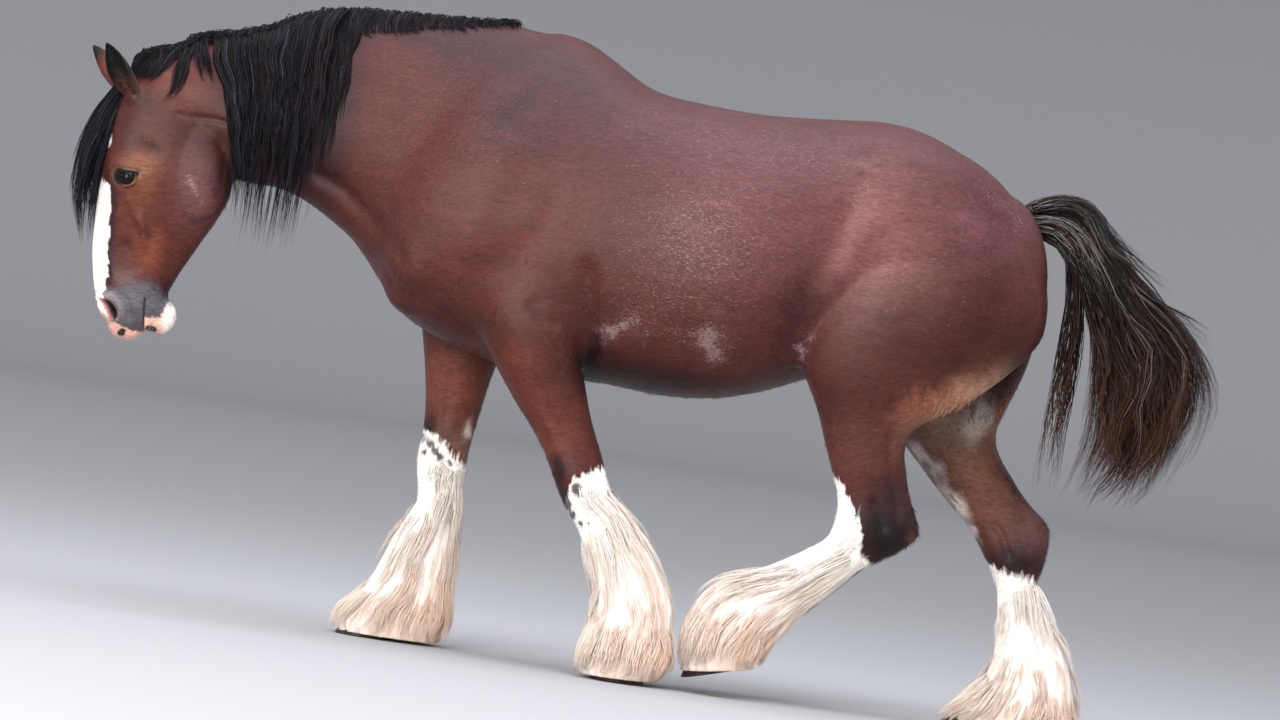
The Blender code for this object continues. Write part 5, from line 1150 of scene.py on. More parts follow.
# Ear hair is finer and shorter than the body's, with a soft dull sheen.
ear_coat, tree, surface = new_material("short_ear_hair", 0.62, Specular_IOR_Level=0.15, Sheen_Weight=0.03)
fuzz = noise(tree, laid(tree, (1.0, 1.0, 1.0)), 0.004)
finished(tree, surface, shaded(tree, stored(tree)[0], ranged(tree, fuzz, 0.7, 1.35)), fuzz, 0.4, 0.001)
for label, side in (("left", -1), ("right", 1)):
    ear = placed(f"ear_cup_{label}", ear_mesh(side, EAR_TIPS[label]))
    wall = ear.modifiers.new("wall", "SOLIDIFY")
    wall.thickness = EAR_THICKNESS
    wall.offset = 0.0
    applied(ear)
    ear.data.materials.append(ear_coat)
    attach(ear, "root")
    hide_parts(f"ear_{label}")

# The hooves
# Dark horn that grows down from the coronet in fine level rings, wider at the sole than at the top.
# The hair of the feather hides all but the toe's edge.

HOOF_HALF_WIDTH = 0.09
HOOF_TOP_HALF_WIDTH = 0.074
HOOF_HEIGHT = 0.095
HOOF_RING = 0.006
# How the greatest width lies from toe to heel, and how square the toe is.
HOOF_SECTION = (0.46, 2.2)
# Where each hoof joins its leg, and its toe and heel on the sole as x and z.
SOLES = {
    "fore_left": (FORELEG_LEFT, (0.018, 0.0), (0.168, 0.0)),
    "fore_right": (FORELEG_RIGHT, (-0.706, 0.0), (-0.54, 0.0)),
    "hind_left": (HINDLEG_LEFT, (0.264, 0.036), (0.432, 0.086)),
    "hind_right": (HINDLEG_RIGHT, (1.0, 0.0), (1.174, 0.0)),
}

# Horn is dull and finely streaked down its growth, about 1 mm from streak to streak, drawn at 3 mm.
hoof_horn, tree, surface = new_material("dark_hoof_horn", 0.48, Specular_IOR_Level=0.25)
streaks = noise(tree, laid(tree, (1.0, 1.0, 0.12)), 0.006)
horn = add(tree, "ShaderNodeValToRGB", links={"Fac": streaks})
for stop, (position, shade) in zip(horn.color_ramp.elements, ((0.3, "#120d0e"), (0.75, "#40332f"))):
    stop.position = position
    stop.color = (*linear(shade), 1.0)
finished(tree, surface, horn.outputs["Color"], streaks, 0.3, 0.0008)
for place, (leg, toe, heel) in SOLES.items():
    top = np.array((*leg[-1][:5], HOOF_TOP_HALF_WIDTH, *HOOF_SECTION, 2.0))
    sole = np.array((*toe, *heel, leg[-1][4], HOOF_HALF_WIDTH, *HOOF_SECTION, 2.2))
    share = np.linspace(0, 1, 46)[:, None]
    rows = top + share * (sole - top)
    wall_grid = on_section(rows[:, None, :], np.linspace(0, 2 * math.pi, 72, endpoint=False)[None, :])
    middle = wall_grid.mean(axis=1, keepdims=True)
    rings = 0.0007 * np.sin(2 * math.pi * share * HOOF_HEIGHT / HOOF_RING) * np.sin(math.pi * share)
    edge = 1 - 0.03 * smooth_step(0.97, 1.0, share)
    away = wall_grid - middle
    wall_grid = middle + away * edge[..., None] + unit(away) * rings[..., None]
    caps = [wall_grid[:1] * k + (1 - k) * middle[:1] for k in (0.05, 0.6)]
    ends = [wall_grid[-1:] * k + (1 - k) * middle[-1:] for k in (0.92, 0.5, 0.05)]
    hoof = placed(f"hoof_wall_{place}", shells("hoof", [np.concatenate([*caps, wall_grid, *ends])]))
    hoof.data.shade_smooth()
    hoof.data.set_sharp_from_angle(angle=math.radians(45))
    hoof.data.materials.append(hoof_horn)
    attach(hoof, "root")
    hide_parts(f"hoof_{place}")

# The mane
# Coarse black hair as long as a forearm and more, rooted along the whole crest. It falls on the near side
# from the poll to the middle of the neck and on the far side behind that, in flat wavy locks of many
# strands each, and the longest hang clear below the throat.

# A strand's width along it as a share of its widest, its ridge's height as a share of its width, the least
# and greatest of its width and of a lock's lightness, and the reach of its patch in the unwrap.
STRAND_TAPER = (0.6, 0.9, 1.0, 0.97, 0.86, 0.64, 0.28)
RIDGE = 0.45
UNEVEN_WIDTHS = (0.6, 1.25)
UNEVEN_LIGHT = (0.75, 1.3)
PATCH = 0.0015


def at_shares(grid, shares):
    """Points of each path of a grid at its own shares of the way along, straight between its points."""
    last = grid.shape[1] - 1
    at = np.clip(shares, 0, 1) * last
    low = np.minimum(at.astype(int), last - 1)
    t = (at - low)[..., None]
    rows = np.arange(len(grid))[:, None]
    return grid[rows, low] * (1 - t) + grid[rows, low + 1] * t


def strands_of(guides, outs, per, spread, depth, rng, gather=0.35, shortest=0.7, wander=0.0, uneven=0.0):
    """Many strands round each guide path: set off across and out from it, drawn together at the tip, each
    of its own length, the locks uneven too, and each wandering a little from side to side as a slow
    wave."""
    count, stations = guides.shape[:2]
    guides, outs = np.repeat(guides, per, axis=0), np.repeat(outs, per, axis=0)
    total = count * per
    length = 1 - (1 - shortest) * rng.random((total, 1)) ** 1.6
    length *= np.repeat(1 - uneven * rng.random((count, 1)), per, axis=0)
    shares = np.linspace(0, 1, stations)[None, :] * length
    path, out = at_shares(guides, shares), unit(at_shares(outs, shares))
    side = unit(np.cross(np.gradient(path, axis=1), out))
    close = 1 - (1 - gather) * shares**1.3
    offset = rng.uniform(-1, 1, (total, 1)) * np.repeat(spread, per)[:, None] * close
    lift = rng.random((total, 1)) ** 1.2 * np.repeat(depth, per)[:, None] * close
    lift = lift * smooth_step(-0.05, 0.25, shares)
    turns = shares * rng.uniform(1.0, 2.6, (total, 1)) + rng.random((total, 1))
    wave = wander * np.sin(2 * math.pi * turns) * shares
    return path + side * (offset + wave)[..., None] + out * (lift + 0.4 * wave)[..., None], out


def hair_mesh(name, paths, outs, half_width, half_depth, root_tone, tip_tone, place_uv, rng, root_shade=0.0,
              turning=1.7):
    """Flat three-sided strands along paths: wide across the lie, ridged on the outer side, tapered to a
    point. Each strand's patch of the unwrap lies at its root's place, a few thousandths of the map
    across."""
    count, stations = paths.shape[:2]
    rings = stations - 1
    side = unit(np.cross(np.gradient(paths, axis=1), outs))
    out = unit(np.cross(side, np.gradient(paths, axis=1)))
    out *= np.sign((out * outs).sum(axis=-1, keepdims=True) + 1e-9)
    shares = np.linspace(0, 1, rings)
    taper = np.interp(shares, np.linspace(0, 1, len(STRAND_TAPER)), STRAND_TAPER)[None, :, None]
    wide = half_width[:, None, None] * taper
    deep = half_depth[:, None, None] * taper
    body, side, out = paths[:, :-1], side[:, :-1], out[:, :-1]
    ring = np.stack([body - side * wide, body + out * deep, body + side * wide], axis=2)
    points = np.concatenate([ring.reshape(count, rings * 3, 3), paths[:, -1:]], axis=1)
    each = rings * 3 + 1
    index = np.arange(rings * 3).reshape(rings, 3)
    quads = np.stack([index[:-1], index[1:], np.roll(index[1:], -1, 1), np.roll(index[:-1], -1, 1)],
                     axis=-1).reshape(-1, 4)
    fans = np.stack([index[-1], np.full(3, each - 1), np.roll(index[-1], -1)], axis=-1)
    starts = (np.arange(count) * each)[:, None]
    quads = starts + quads.reshape(1, -1)
    threes = starts + np.concatenate([fans.ravel(), index[0]])[None]
    corners = np.concatenate([quads.ravel(), threes.ravel()])
    sizes = np.concatenate([np.full(quads.size // 4, 4), np.full(threes.size // 3, 3)])
    mesh = bpy.data.meshes.new(name)
    mesh.vertices.add(count * each)
    mesh.vertices.foreach_set("co", points.astype(np.float32).ravel())
    mesh.loops.add(len(corners))
    mesh.loops.foreach_set("vertex_index", corners.astype(np.int32))
    mesh.polygons.add(len(sizes))
    mesh.polygons.foreach_set("loop_start", np.concatenate([[0], np.cumsum(sizes)[:-1]]).astype(np.int32))
    mesh.update(calc_edges=True)
    mesh.shade_smooth()
    along = np.append(np.repeat(shares, 3), 1.0)
    across = np.append(np.tile((-1.0, 0.0, 1.0), rings), 0.0)
    tone = root_tone[:, None, :] + along[None, :, None] ** turning * (tip_tone - root_tone)[:, None, :]
    # Strands are painted darker near their roots: painted shade where they lie under other hair.
    tone = tone * (1 - root_shade * (1 - smooth_step(0.0, 0.35, along)))[None, :, None]
    chance = np.repeat(rng.random(count), each)
    coat_attributes(mesh, tone.reshape(-1, 3), np.stack(
        [np.tile(along, count), np.tile(across, count), chance], axis=-1))
    patch = np.stack([np.tile(across, count), np.tile(2 * along - 1, count)], axis=-1) * PATCH
    flat = np.repeat(place_uv, each, axis=0) + patch
    layer = mesh.uv_layers.new(name="OFBake")
    layer.data.foreach_set("uv", flat[corners].astype(np.float32).ravel())
    return placed(name, mesh)


def side_map(points, side):
    """How far the hide stands out on one side, over a grid of the side view. Empty cells take their
    neighbours' greatest value, and then each cell is a mean of itself and its neighbours."""
    reach = np.zeros((SIDE_COLUMNS, SIDE_ROWS))
    column = ((points[:, 0] - SIDE_START[0]) / SIDE_CELL).astype(int).clip(0, SIDE_COLUMNS - 1)
    row = ((points[:, 2] - SIDE_START[1]) / SIDE_CELL).astype(int).clip(0, SIDE_ROWS - 1)
    np.maximum.at(reach, (column, row), side * points[:, 1])
    for _ in range(2):
        padded = np.pad(reach, 1, mode="edge")
        along = np.maximum(padded[:-2, 1:-1], padded[2:, 1:-1])
        up = np.maximum(padded[1:-1, :-2], padded[1:-1, 2:])
        reach = np.maximum(reach, np.maximum(along, up) * (reach == 0))
    for _ in range(3):
        padded = np.pad(reach, 1, mode="edge")
        around = padded[:-2, 1:-1] + padded[2:, 1:-1] + padded[1:-1, :-2] + padded[1:-1, 2:]
        reach = (around + 2 * reach) / 6
    return reach


def read_map(reach, x, z):
    """A side map's value between its grid's cells."""
    u = np.clip((x - SIDE_START[0]) / SIDE_CELL - 0.5, 0, SIDE_COLUMNS - 2)
    v = np.clip((z - SIDE_START[1]) / SIDE_CELL - 0.5, 0, SIDE_ROWS - 2)
    i, j = u.astype(int), v.astype(int)
    s, t = u - i, v - j
    return ((reach[i, j] * (1 - s) + reach[i + 1, j] * s) * (1 - t)
            + (reach[i, j + 1] * (1 - s) + reach[i + 1, j + 1] * s) * t)


# The crest's line along the top of the neck, x and z read off the hide, and the hair's top line over it.
crest_x = np.arange(-1.5, -0.3, 0.01)
on_top = np.abs(dense_points[:, 1]) < 0.02
crest_z = np.array([dense_points[on_top & (np.abs(dense_points[:, 0] - x) < 0.008), 2].max()
                    for x in crest_x])
HAIR_TOP = (
    (-1.475, 1.493), (-1.452, 1.52), (-1.42, 1.543), (-1.39, 1.55), (-1.352, 1.557), (-1.325, 1.573),
    (-1.295, 1.597), (-1.256, 1.608), (-1.2, 1.622), (-1.1, 1.658), (-1.05, 1.696), (-1.0, 1.722),
    (-0.95, 1.736), (-0.9, 1.744), (-0.85, 1.749), (-0.7, 1.75), (-0.5, 1.752), (-0.4, 1.754),
)
# The side map's lower front corner, the width of its cells, and how many there are.
SIDE_START = (-1.7, 0.6)
SIDE_CELL = 0.009
SIDE_COLUMNS, SIDE_ROWS = 320, 140
near_map, far_map = side_map(dense_points, -1), side_map(dense_points, 1)


def hung_sheet(first, last, count, side, lift, rng, stations=16, wave=0.0, wave_length=0.12, loose=0.0,
               spring=1.0, lean=0.0):
    """Guide paths between two edge lines of the side view, laid outside the hide on one side. Each springs
    up from the crest to the hair's own top line, a lean behind where it hangs, and falls. A path never
    turns back in: where the hide falls away under it, it hangs on straight."""
    shares = np.linspace(0, 1, stations) ** 1.25
    edges = [along_rows(np.array(edge), shares) for edge in (first, last)]
    at = (np.arange(count) + rng.uniform(0.2, 0.8, count)) / count
    flat = edges[0][None] * (1 - at)[:, None, None] + edges[1][None] * at[:, None, None]
    x, z = flat[..., 0] + lean * smooth_step(0.24, 0.0, shares), flat[..., 1]
    crest = np.interp(x[:, :1], crest_x, crest_z)
    hump = smooth_step(0.0, 0.05, shares) * smooth_step(0.3, 0.07, shares)
    hump = hump * rng.uniform(0.7, 1.02, (count, 1)) * spring
    z = z + (crest - 0.004 - z[:, :1]) * smooth_step(0.3, 0.0, shares)
    z = z + np.maximum(np.interp(x[:, :1], *np.array(HAIR_TOP).T) - crest, 0.0) * hump
    phase = rng.uniform(0, 1, (count, 1)) * 0.55 + at[:, None] * 3.1
    lengths = wave_length * rng.uniform(0.8, 1.5, (count, 1))
    swing = wave * np.sin(2 * math.pi * (z / lengths + phase)) * smooth_step(0.0, 0.25, shares)
    x = x + swing * (1 - 0.6 * shares) + loose * rng.normal(size=(count, 1)) * shares**1.5
    reach = read_map(near_map if side < 0 else far_map, x, z)
    reach = np.maximum.accumulate(reach, axis=1) + lift[:, None] * smooth_step(0.0, 0.15, shares)
    reach = reach + 0.5 * swing
    paths = np.stack([x, side * reach, z], axis=-1)
    paths[:, 0, 1] *= 0.2
    upward = 0.9 - 0.9 * smooth_step(0.0, 0.25, shares) + 0 * x
    return paths, unit(np.stack([np.zeros_like(x), side * np.ones_like(x), upward], axis=-1))


def neck_place(roots):
    """Places on the unwrapped neck: along it from the forehead back, and round it from the crest."""
    return np.stack([0.05 + 0.9 * np.clip((roots[:, 0] + 1.55) / 1.15, 0, 1),
                     0.5 + 0.4 * np.clip(roots[:, 1] / 0.02, -1, 1)], axis=-1)


def hair_tones(count, hexes, shares, rng, vary=0.18):
    """Each strand's colour: one of a few tones, a little lighter or darker."""
    palette = np.array([linear(value) for value in hexes])
    picked = palette[rng.choice(len(palette), size=count, p=np.array(shares) / sum(shares))]
    return picked * rng.uniform(1 - vary, 1 + vary, (count, 1))


def hair_material(name, roughness, specular, sheen, streak_low, streak_high):
    """Hair parted by fine lines that run along each strand, lighter and darker between two shares."""
    material, tree, surface = new_material(name, roughness, Specular_IOR_Level=specular, Sheen_Weight=sheen,
                                           Sheen_Roughness=0.35)
    tone, shares = stored(tree)
    stretched = [worked(tree, "MULTIPLY", share, times) for share, times in zip(shares, (0.6, 4.0, 60.0))]
    line = add(tree, "ShaderNodeCombineXYZ", links=dict(zip("XYZ", stretched)))
    streaks = noise(tree, line.outputs["Vector"], 1 / 2.2, 2.0)
    varied = shaded(tree, tone, ranged(tree, streaks, streak_low, streak_high))
    finished(tree, surface, varied, streaks, 0.5, 0.0008)
    return material


def dressed(obj, material):
    """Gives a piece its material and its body."""
    obj.data.materials.append(material)
    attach(obj, "root")


# The front and back edges of the mane's near side, from crest to tips.
MANE_FRONT = ((-1.325, 1.565), (-1.245, 1.5), (-1.195, 1.4), (-1.175, 1.3), (-1.155, 1.18), (-1.135, 0.965))
MANE_BACK = ((-0.95, 1.715), (-0.945, 1.63), (-0.948, 1.5), (-0.95, 1.38), (-0.948, 1.25), (-0.965, 1.01))
# Tones of the black hair and their shares among the strands: near black, blue grey that is painted sheen,
# and faded brown.
MANE_TONES_AND_SHEEN = ("#070507", "#100e13", "#1a1a22", "#180f0e", "#262732")
MANE_SHARES = (0.34, 0.3, 0.15, 0.17, 0.04)


def joined(sheets):
    """One array of all guide paths of several sheets (paths, outs, spread, depth), one of their outward
    directions, and each path's spread and depth."""
    paths, outs = (np.concatenate([sheet[k] for sheet in sheets]) for k in (0, 1))
    spread, depth = (np.concatenate([np.full(len(sheet[0]), sheet[k]) for sheet in sheets]) for k in (2, 3))
    return paths, outs, spread, depth


def lock_tones(paths, per, hexes, shares, rng):
    """Each strand's colour, with each lock as a whole a little lighter or darker too."""
    tone = hair_tones(len(paths) * per, hexes, shares, rng)
    return tone * np.repeat(rng.uniform(*UNEVEN_LIGHT, (len(paths), 1)), per, axis=0)


def falling_hair(name, rng, sheets, per, half_width, gather=0.35, shortest=0.7, wander=0.004, uneven=0.0):
    """A black piece of many strands from several sheets of guide paths, on the near side's coat."""
    paths, outs, spread, depth = joined(sheets)
    strands, outs = strands_of(paths, outs, per, spread, depth, rng, gather, shortest, wander, uneven)
    tone = lock_tones(paths, per, MANE_TONES_AND_SHEEN, MANE_SHARES, rng)
    wide = half_width * rng.uniform(*UNEVEN_WIDTHS, len(strands))
    hair = hair_mesh(name, strands, outs, wide, RIDGE * wide, tone, tone * 1.25, neck_place(strands[:, 0]),
                     rng, 0.3)
    dressed(hair, horse_hair)


# Black horse hair is smooth and coarse, about 0.2 mm thick, and shines blue-grey along its length under
# the sky. One strand here stands for a few dozen hairs, parted by fine dark lines that run along it.
horse_hair = hair_material("coarse_black_horsehair", 0.42, 0.1, 0.01, 0.6, 1.45)
rng = np.random.default_rng(11)
sheets = []
# From the neck outward: how many guide paths, their lift, their wave and how far they stray.
MANE_SHEETS = ((36, 0.007, 0.005, 0.008), (40, 0.018, 0.007, 0.012), (34, 0.03, 0.008, 0.016))
for rows, lift, wave, loose in MANE_SHEETS:
    lifts = lift * rng.uniform(0.6, 1.5, rows)
    paths, outs = hung_sheet(MANE_FRONT, MANE_BACK, rows, -1, lifts, rng, 16, wave, 0.115, loose,
                             1.0, 0.045)
    sheets.append((paths, outs, 0.009, 0.01))
# Behind the main fall a thin wisp hangs, shorter and shorter towards the withers.
paths, outs = hung_sheet(((-0.955, 1.718), (-0.935, 1.55), (-0.928, 1.4), (-0.925, 1.17)),
                         ((-0.87, 1.745), (-0.88, 1.62), (-0.885, 1.5), (-0.89, 1.34)), 10, -1,
                         np.full(10, 0.006), rng, 16, 0.005, 0.12, 0.006)
sheets.append((paths, outs, 0.012, 0.005))
falling_hair("mane_near", rng, sheets, 14, 0.0017, 0.3, 0.66, 0.006, 0.26)

# The far side's fall, behind the middle of the crest.
rng = np.random.default_rng(12)
sheets = []
for rows, lift in ((26, 0.007), (24, 0.018)):
    paths, outs = hung_sheet(((-0.96, 1.712), (-0.96, 1.58), (-0.965, 1.44), (-0.96, 1.28)),
                             ((-0.52, 1.748), (-0.56, 1.64), (-0.6, 1.55), (-0.64, 1.45)), rows, 1,
                             lift * rng.uniform(0.6, 1.5, rows), rng, 14, 0.008, 0.12, 0.014)
    sheets.append((paths, outs, 0.013, 0.009))
falling_hair("mane_far", rng, sheets, 12, 0.002, uneven=0.35)

# Short hairs that spring from the crest and lean over to both sides fill the mane's top line.
rng = np.random.default_rng(13)
sheets = []
FRINGE = 100
for side in (-1, 1):
    lifts = rng.uniform(0.001, 0.005, FRINGE)
    paths, outs = hung_sheet(((-1.345, 1.575), (-1.335, 1.56), (-1.3, 1.525)),
                             ((-0.46, 1.75), (-0.44, 1.745), (-0.425, 1.732)),
                             FRINGE, side, lifts, rng, 8, 0.002, 0.06, 0.008, 0.9, 0.03)
    sheets.append((paths, outs, 0.01, 0.004))
falling_hair("crest_fringe", rng, sheets, 8, 0.0013, uneven=0.3, gather=0.7)

# The forelock
# The mane's foremost hair, thick and black, that falls from behind the ears over the brow and the face.

FORELOCK = (
    (-1.43, 1.522, -1.4, 1.47, 0.0, 0.026, 0.5, 2.0, 2.0),
    (-1.483, 1.484, -1.435, 1.425, 0.0, 0.032, 0.5, 2.0, 2.0),
    (-1.528, 1.42, -1.46, 1.37, 0.0, 0.038, 0.5, 2.1, 2.1),
    (-1.573, 1.345, -1.464, 1.32, 0.0, 0.06, 0.5, 2.1, 2.1),
    (-1.598, 1.25, -1.474, 1.25, 0.0, 0.08, 0.5, 2.1, 2.1),
    (-1.603, 1.165, -1.49, 1.165, 0.0, 0.078, 0.5, 2.1, 2.1),
    (-1.598, 1.09, -1.5, 1.085, 0.0, 0.062, 0.5, 2.1, 2.1),
    (-1.575, 1.01, -1.51, 1.015, 0.0, 0.042, 0.5, 2.1, 2.1),
    (-1.538, 0.935, -1.508, 0.945, 0.0, 0.016, 0.5, 2.0, 2.0),
)


# How many points a guide path has.
STATIONS = 14


def in_volume(rows, share, angle, depth):
    """A place in a form of rows: a share along it, an angle from its front, and a depth from its middle
    line, 0, to its surface, 1."""
    row = along_rows(rows, share)
    surface = on_section(row, angle)
    middle = 0.5 * (on_section(row, np.zeros_like(angle)) + on_section(row, np.full_like(angle, math.pi)))
    return middle + depth[..., None] * (surface - middle)


def outward(rows, share, angle):
    """The direction out of a form of rows at places in it."""
    deeper, shallower = (in_volume(rows, share, angle, np.full_like(share + angle, depth))
                         for depth in (0.98, 1.02))
    return unit(shallower - deeper)


def volume_paths(rows, roots, tips, angles, depths, rng, curl=0.0, hold=1.0, stations=STATIONS):
    """Guide paths inside a form of rows, from root shares to tip shares, whose angles and depths go from
    the first ones to the second. Each waves slowly by its curl."""
    rows = np.array(rows)
    shares = np.linspace(0, 1, stations)[None, :]
    share = roots[:, None] + (tips - roots)[:, None] * shares
    phase = rng.random((len(roots), 1)) * 0.4 + angles[0][:, None]
    wave = curl * np.sin(2 * math.pi * (share / 0.22 + phase)) * shares
    angle = angles[0][:, None] + (angles[1] - angles[0])[:, None] * shares + wave
    depth = depths[0][:, None] + (depths[1] - depths[0])[:, None] * np.sin(0.5 * math.pi * shares**hold)
    return in_volume(rows, share, angle, depth), outward(rows, share, angle)


def volume_place(roots, angles):
    """Places on a form's own unwrap: the share along it, and the angle round it."""
    return 0.03 + 0.94 * np.stack([np.mod(angles / (2 * math.pi), 1.0), np.clip(roots, 0, 1)], axis=-1)


rng = np.random.default_rng(14)
count = 78
roots, tips = rng.uniform(0.0, 0.16, count), np.clip(rng.uniform(0.62, 1.04, count), 0, 1)
angles = rng.uniform(-2.9, 2.9, count)
depths = rng.uniform(0.0, 0.7, count), rng.uniform(0.55, 1.06, count)
turned = angles * rng.uniform(0.75, 1.1, count)
paths, outs = volume_paths(FORELOCK, roots, tips, (angles, turned), depths, rng, 0.1, stations=15)
falling_hair("forelock", rng, [(paths, outs, 0.0075, 0.007)], 14, 0.0015, 0.5, 0.6, 0.006, 0.1)

# The poll's bunch lies forward over the top of the head to the ears, and locks hang from it over the cheek:
# the front and back edges of each sheet, its paths, lift and wave.
POLL_SHEETS = (
    (((-1.455, 1.515), (-1.474, 1.47), (-1.48, 1.42)),
     ((-1.296, 1.59), (-1.345, 1.535), (-1.392, 1.47), (-1.428, 1.428)), 34, 0.006, 0.003),
    (((-1.35, 1.556), (-1.348, 1.48), (-1.352, 1.42), (-1.395, 1.35)),
     ((-1.318, 1.575), (-1.322, 1.5), (-1.33, 1.43), (-1.362, 1.372)), 5, 0.008, 0.004),
    (((-1.43, 1.535), (-1.424, 1.48), (-1.432, 1.425)),
     ((-1.402, 1.545), (-1.398, 1.485), (-1.408, 1.42)), 4, 0.01, 0.003),
    (((-1.322, 1.573), (-1.3, 1.5), (-1.262, 1.44)),
     ((-1.298, 1.585), (-1.262, 1.52), (-1.225, 1.44)), 5, 0.008, 0.003),
)
rng = np.random.default_rng(15)
sheets = []
for side in (-1, 1):
    for first, last, rows, lift, wave in POLL_SHEETS:
        lifts = lift * rng.uniform(0.7, 1.4, rows)
        paths, outs = hung_sheet(first, last, rows, side, lifts, rng, 11, wave, 0.09, 0.006)
        sheets.append((paths, outs, 0.0085, 0.006))
falling_hair("poll_hair", rng, sheets, 14, 0.0015, shortest=0.55, uneven=0.2)

# The tail
# Long coarse hair rooted all round the dock. It springs up and back over the dock's end and falls in a
# loose bush, grey black at the top and reddish fair at the tips, with a few thin locks that hang straight
# ahead of it.

TAIL_HAIR = (
    (1.015, 1.462, 1.065, 1.372, 0.0, 0.048, 0.5, 2.0, 2.0),
    (1.06, 1.484, 1.098, 1.362, 0.0, 0.05, 0.5, 2.0, 2.0),
    (1.125, 1.503, 1.13, 1.345, 0.0, 0.056, 0.5, 2.1, 2.1),
    (1.2, 1.487, 1.165, 1.3, 0.0, 0.068, 0.5, 2.1, 2.1),
    (1.262, 1.412, 1.2, 1.235, 0.0, 0.084, 0.5, 2.1, 2.1),
    (1.338, 1.335, 1.235, 1.16, 0.0, 0.098, 0.5, 2.1, 2.1),
    (1.432, 1.245, 1.258, 1.07, 0.0, 0.11, 0.5, 2.1, 2.1),
    (1.54, 1.15, 1.268, 0.98, 0.0, 0.116, 0.5, 2.1, 2.1),
    (1.592, 1.03, 1.27, 0.9, 0.0, 0.116, 0.5, 2.1, 2.1),
    (1.58, 0.91, 1.266, 0.82, 0.0, 0.108, 0.5, 2.1, 2.1),
    (1.545, 0.8, 1.252, 0.745, 0.0, 0.092, 0.5, 2.1, 2.1),
    (1.505, 0.715, 1.236, 0.68, 0.0, 0.068, 0.5, 2.1, 2.1),
    (1.45, 0.64, 1.2, 0.615, 0.0, 0.04, 0.5, 2.1, 2.1),
)
# A few thin strands that fall straight from the dock, ahead of the rest of the tail.
TAIL_STRANDS = (
    (1.135, 1.43, 1.15, 1.4, 0.0, 0.02, 0.5, 2.0, 2.0),
    (1.15, 1.33, 1.185, 1.32, 0.0, 0.032, 0.5, 2.0, 2.0),
    (1.165, 1.2, 1.215, 1.2, 0.0, 0.05, 0.5, 2.0, 2.0),
    (1.16, 1.05, 1.225, 1.05, 0.0, 0.06, 0.5, 2.0, 2.0),
    (1.155, 0.9, 1.215, 0.9, 0.0, 0.062, 0.5, 2.0, 2.0),
    (1.15, 0.76, 1.205, 0.74, 0.0, 0.06, 0.5, 2.0, 2.0),
    (1.145, 0.66, 1.195, 0.64, 0.0, 0.056, 0.5, 2.0, 2.0),
)

# Tones of the strands and their shares, of the fair tips and of the grey hairs over the dock.
TAIL_TONES = ("#050405", "#0c0a0b", "#151112", "#21170f", "#3a2b20")
TAIL_SHARES = (0.34, 0.28, 0.18, 0.12, 0.08)
TAIL_TIP = "#5e3a26"
TAIL_GREY = "#77706e"


def tail_hair(name, rng, sheets, per, half_width):
    """Strands of the tail, whose tone goes from black and grey at the dock to a reddish fair tip."""
    paths, outs, spread, depth = joined(sheets)
    strands, outs = strands_of(paths, outs, per, spread, depth, rng, 0.5, 0.7, 0.018, 0.1)
    count = len(strands)
    tone = lock_tones(paths, per, TAIL_TONES, TAIL_SHARES, rng)
    low = smooth_step(1.2, 0.7, strands[:, -1, 2])[:, None]
    tip = tone + low * rng.uniform(0.15, 1.0, (count, 1)) ** 1.3 * (linear(TAIL_TIP) - tone)
    short = smooth_step(0.95, 1.2, strands[:, -1:, 2])
    grey = (rng.random((count, 1)) < 0.16 + 0.4 * short) * rng.uniform(0.2, 0.9, (count, 1))
    root = tone + grey * (linear(TAIL_GREY) - tone)
    wide = half_width * rng.uniform(*UNEVEN_WIDTHS, count)
    place = volume_place((strands[:, 0, 0] - 1.0) / 0.35,
                         np.arctan2(strands[:, 0, 1], strands[:, 0, 2] - 1.42))
    return hair_mesh(name, strands, outs, wide, RIDGE * wide, root, tip, place, rng, 0.15, 2.6)


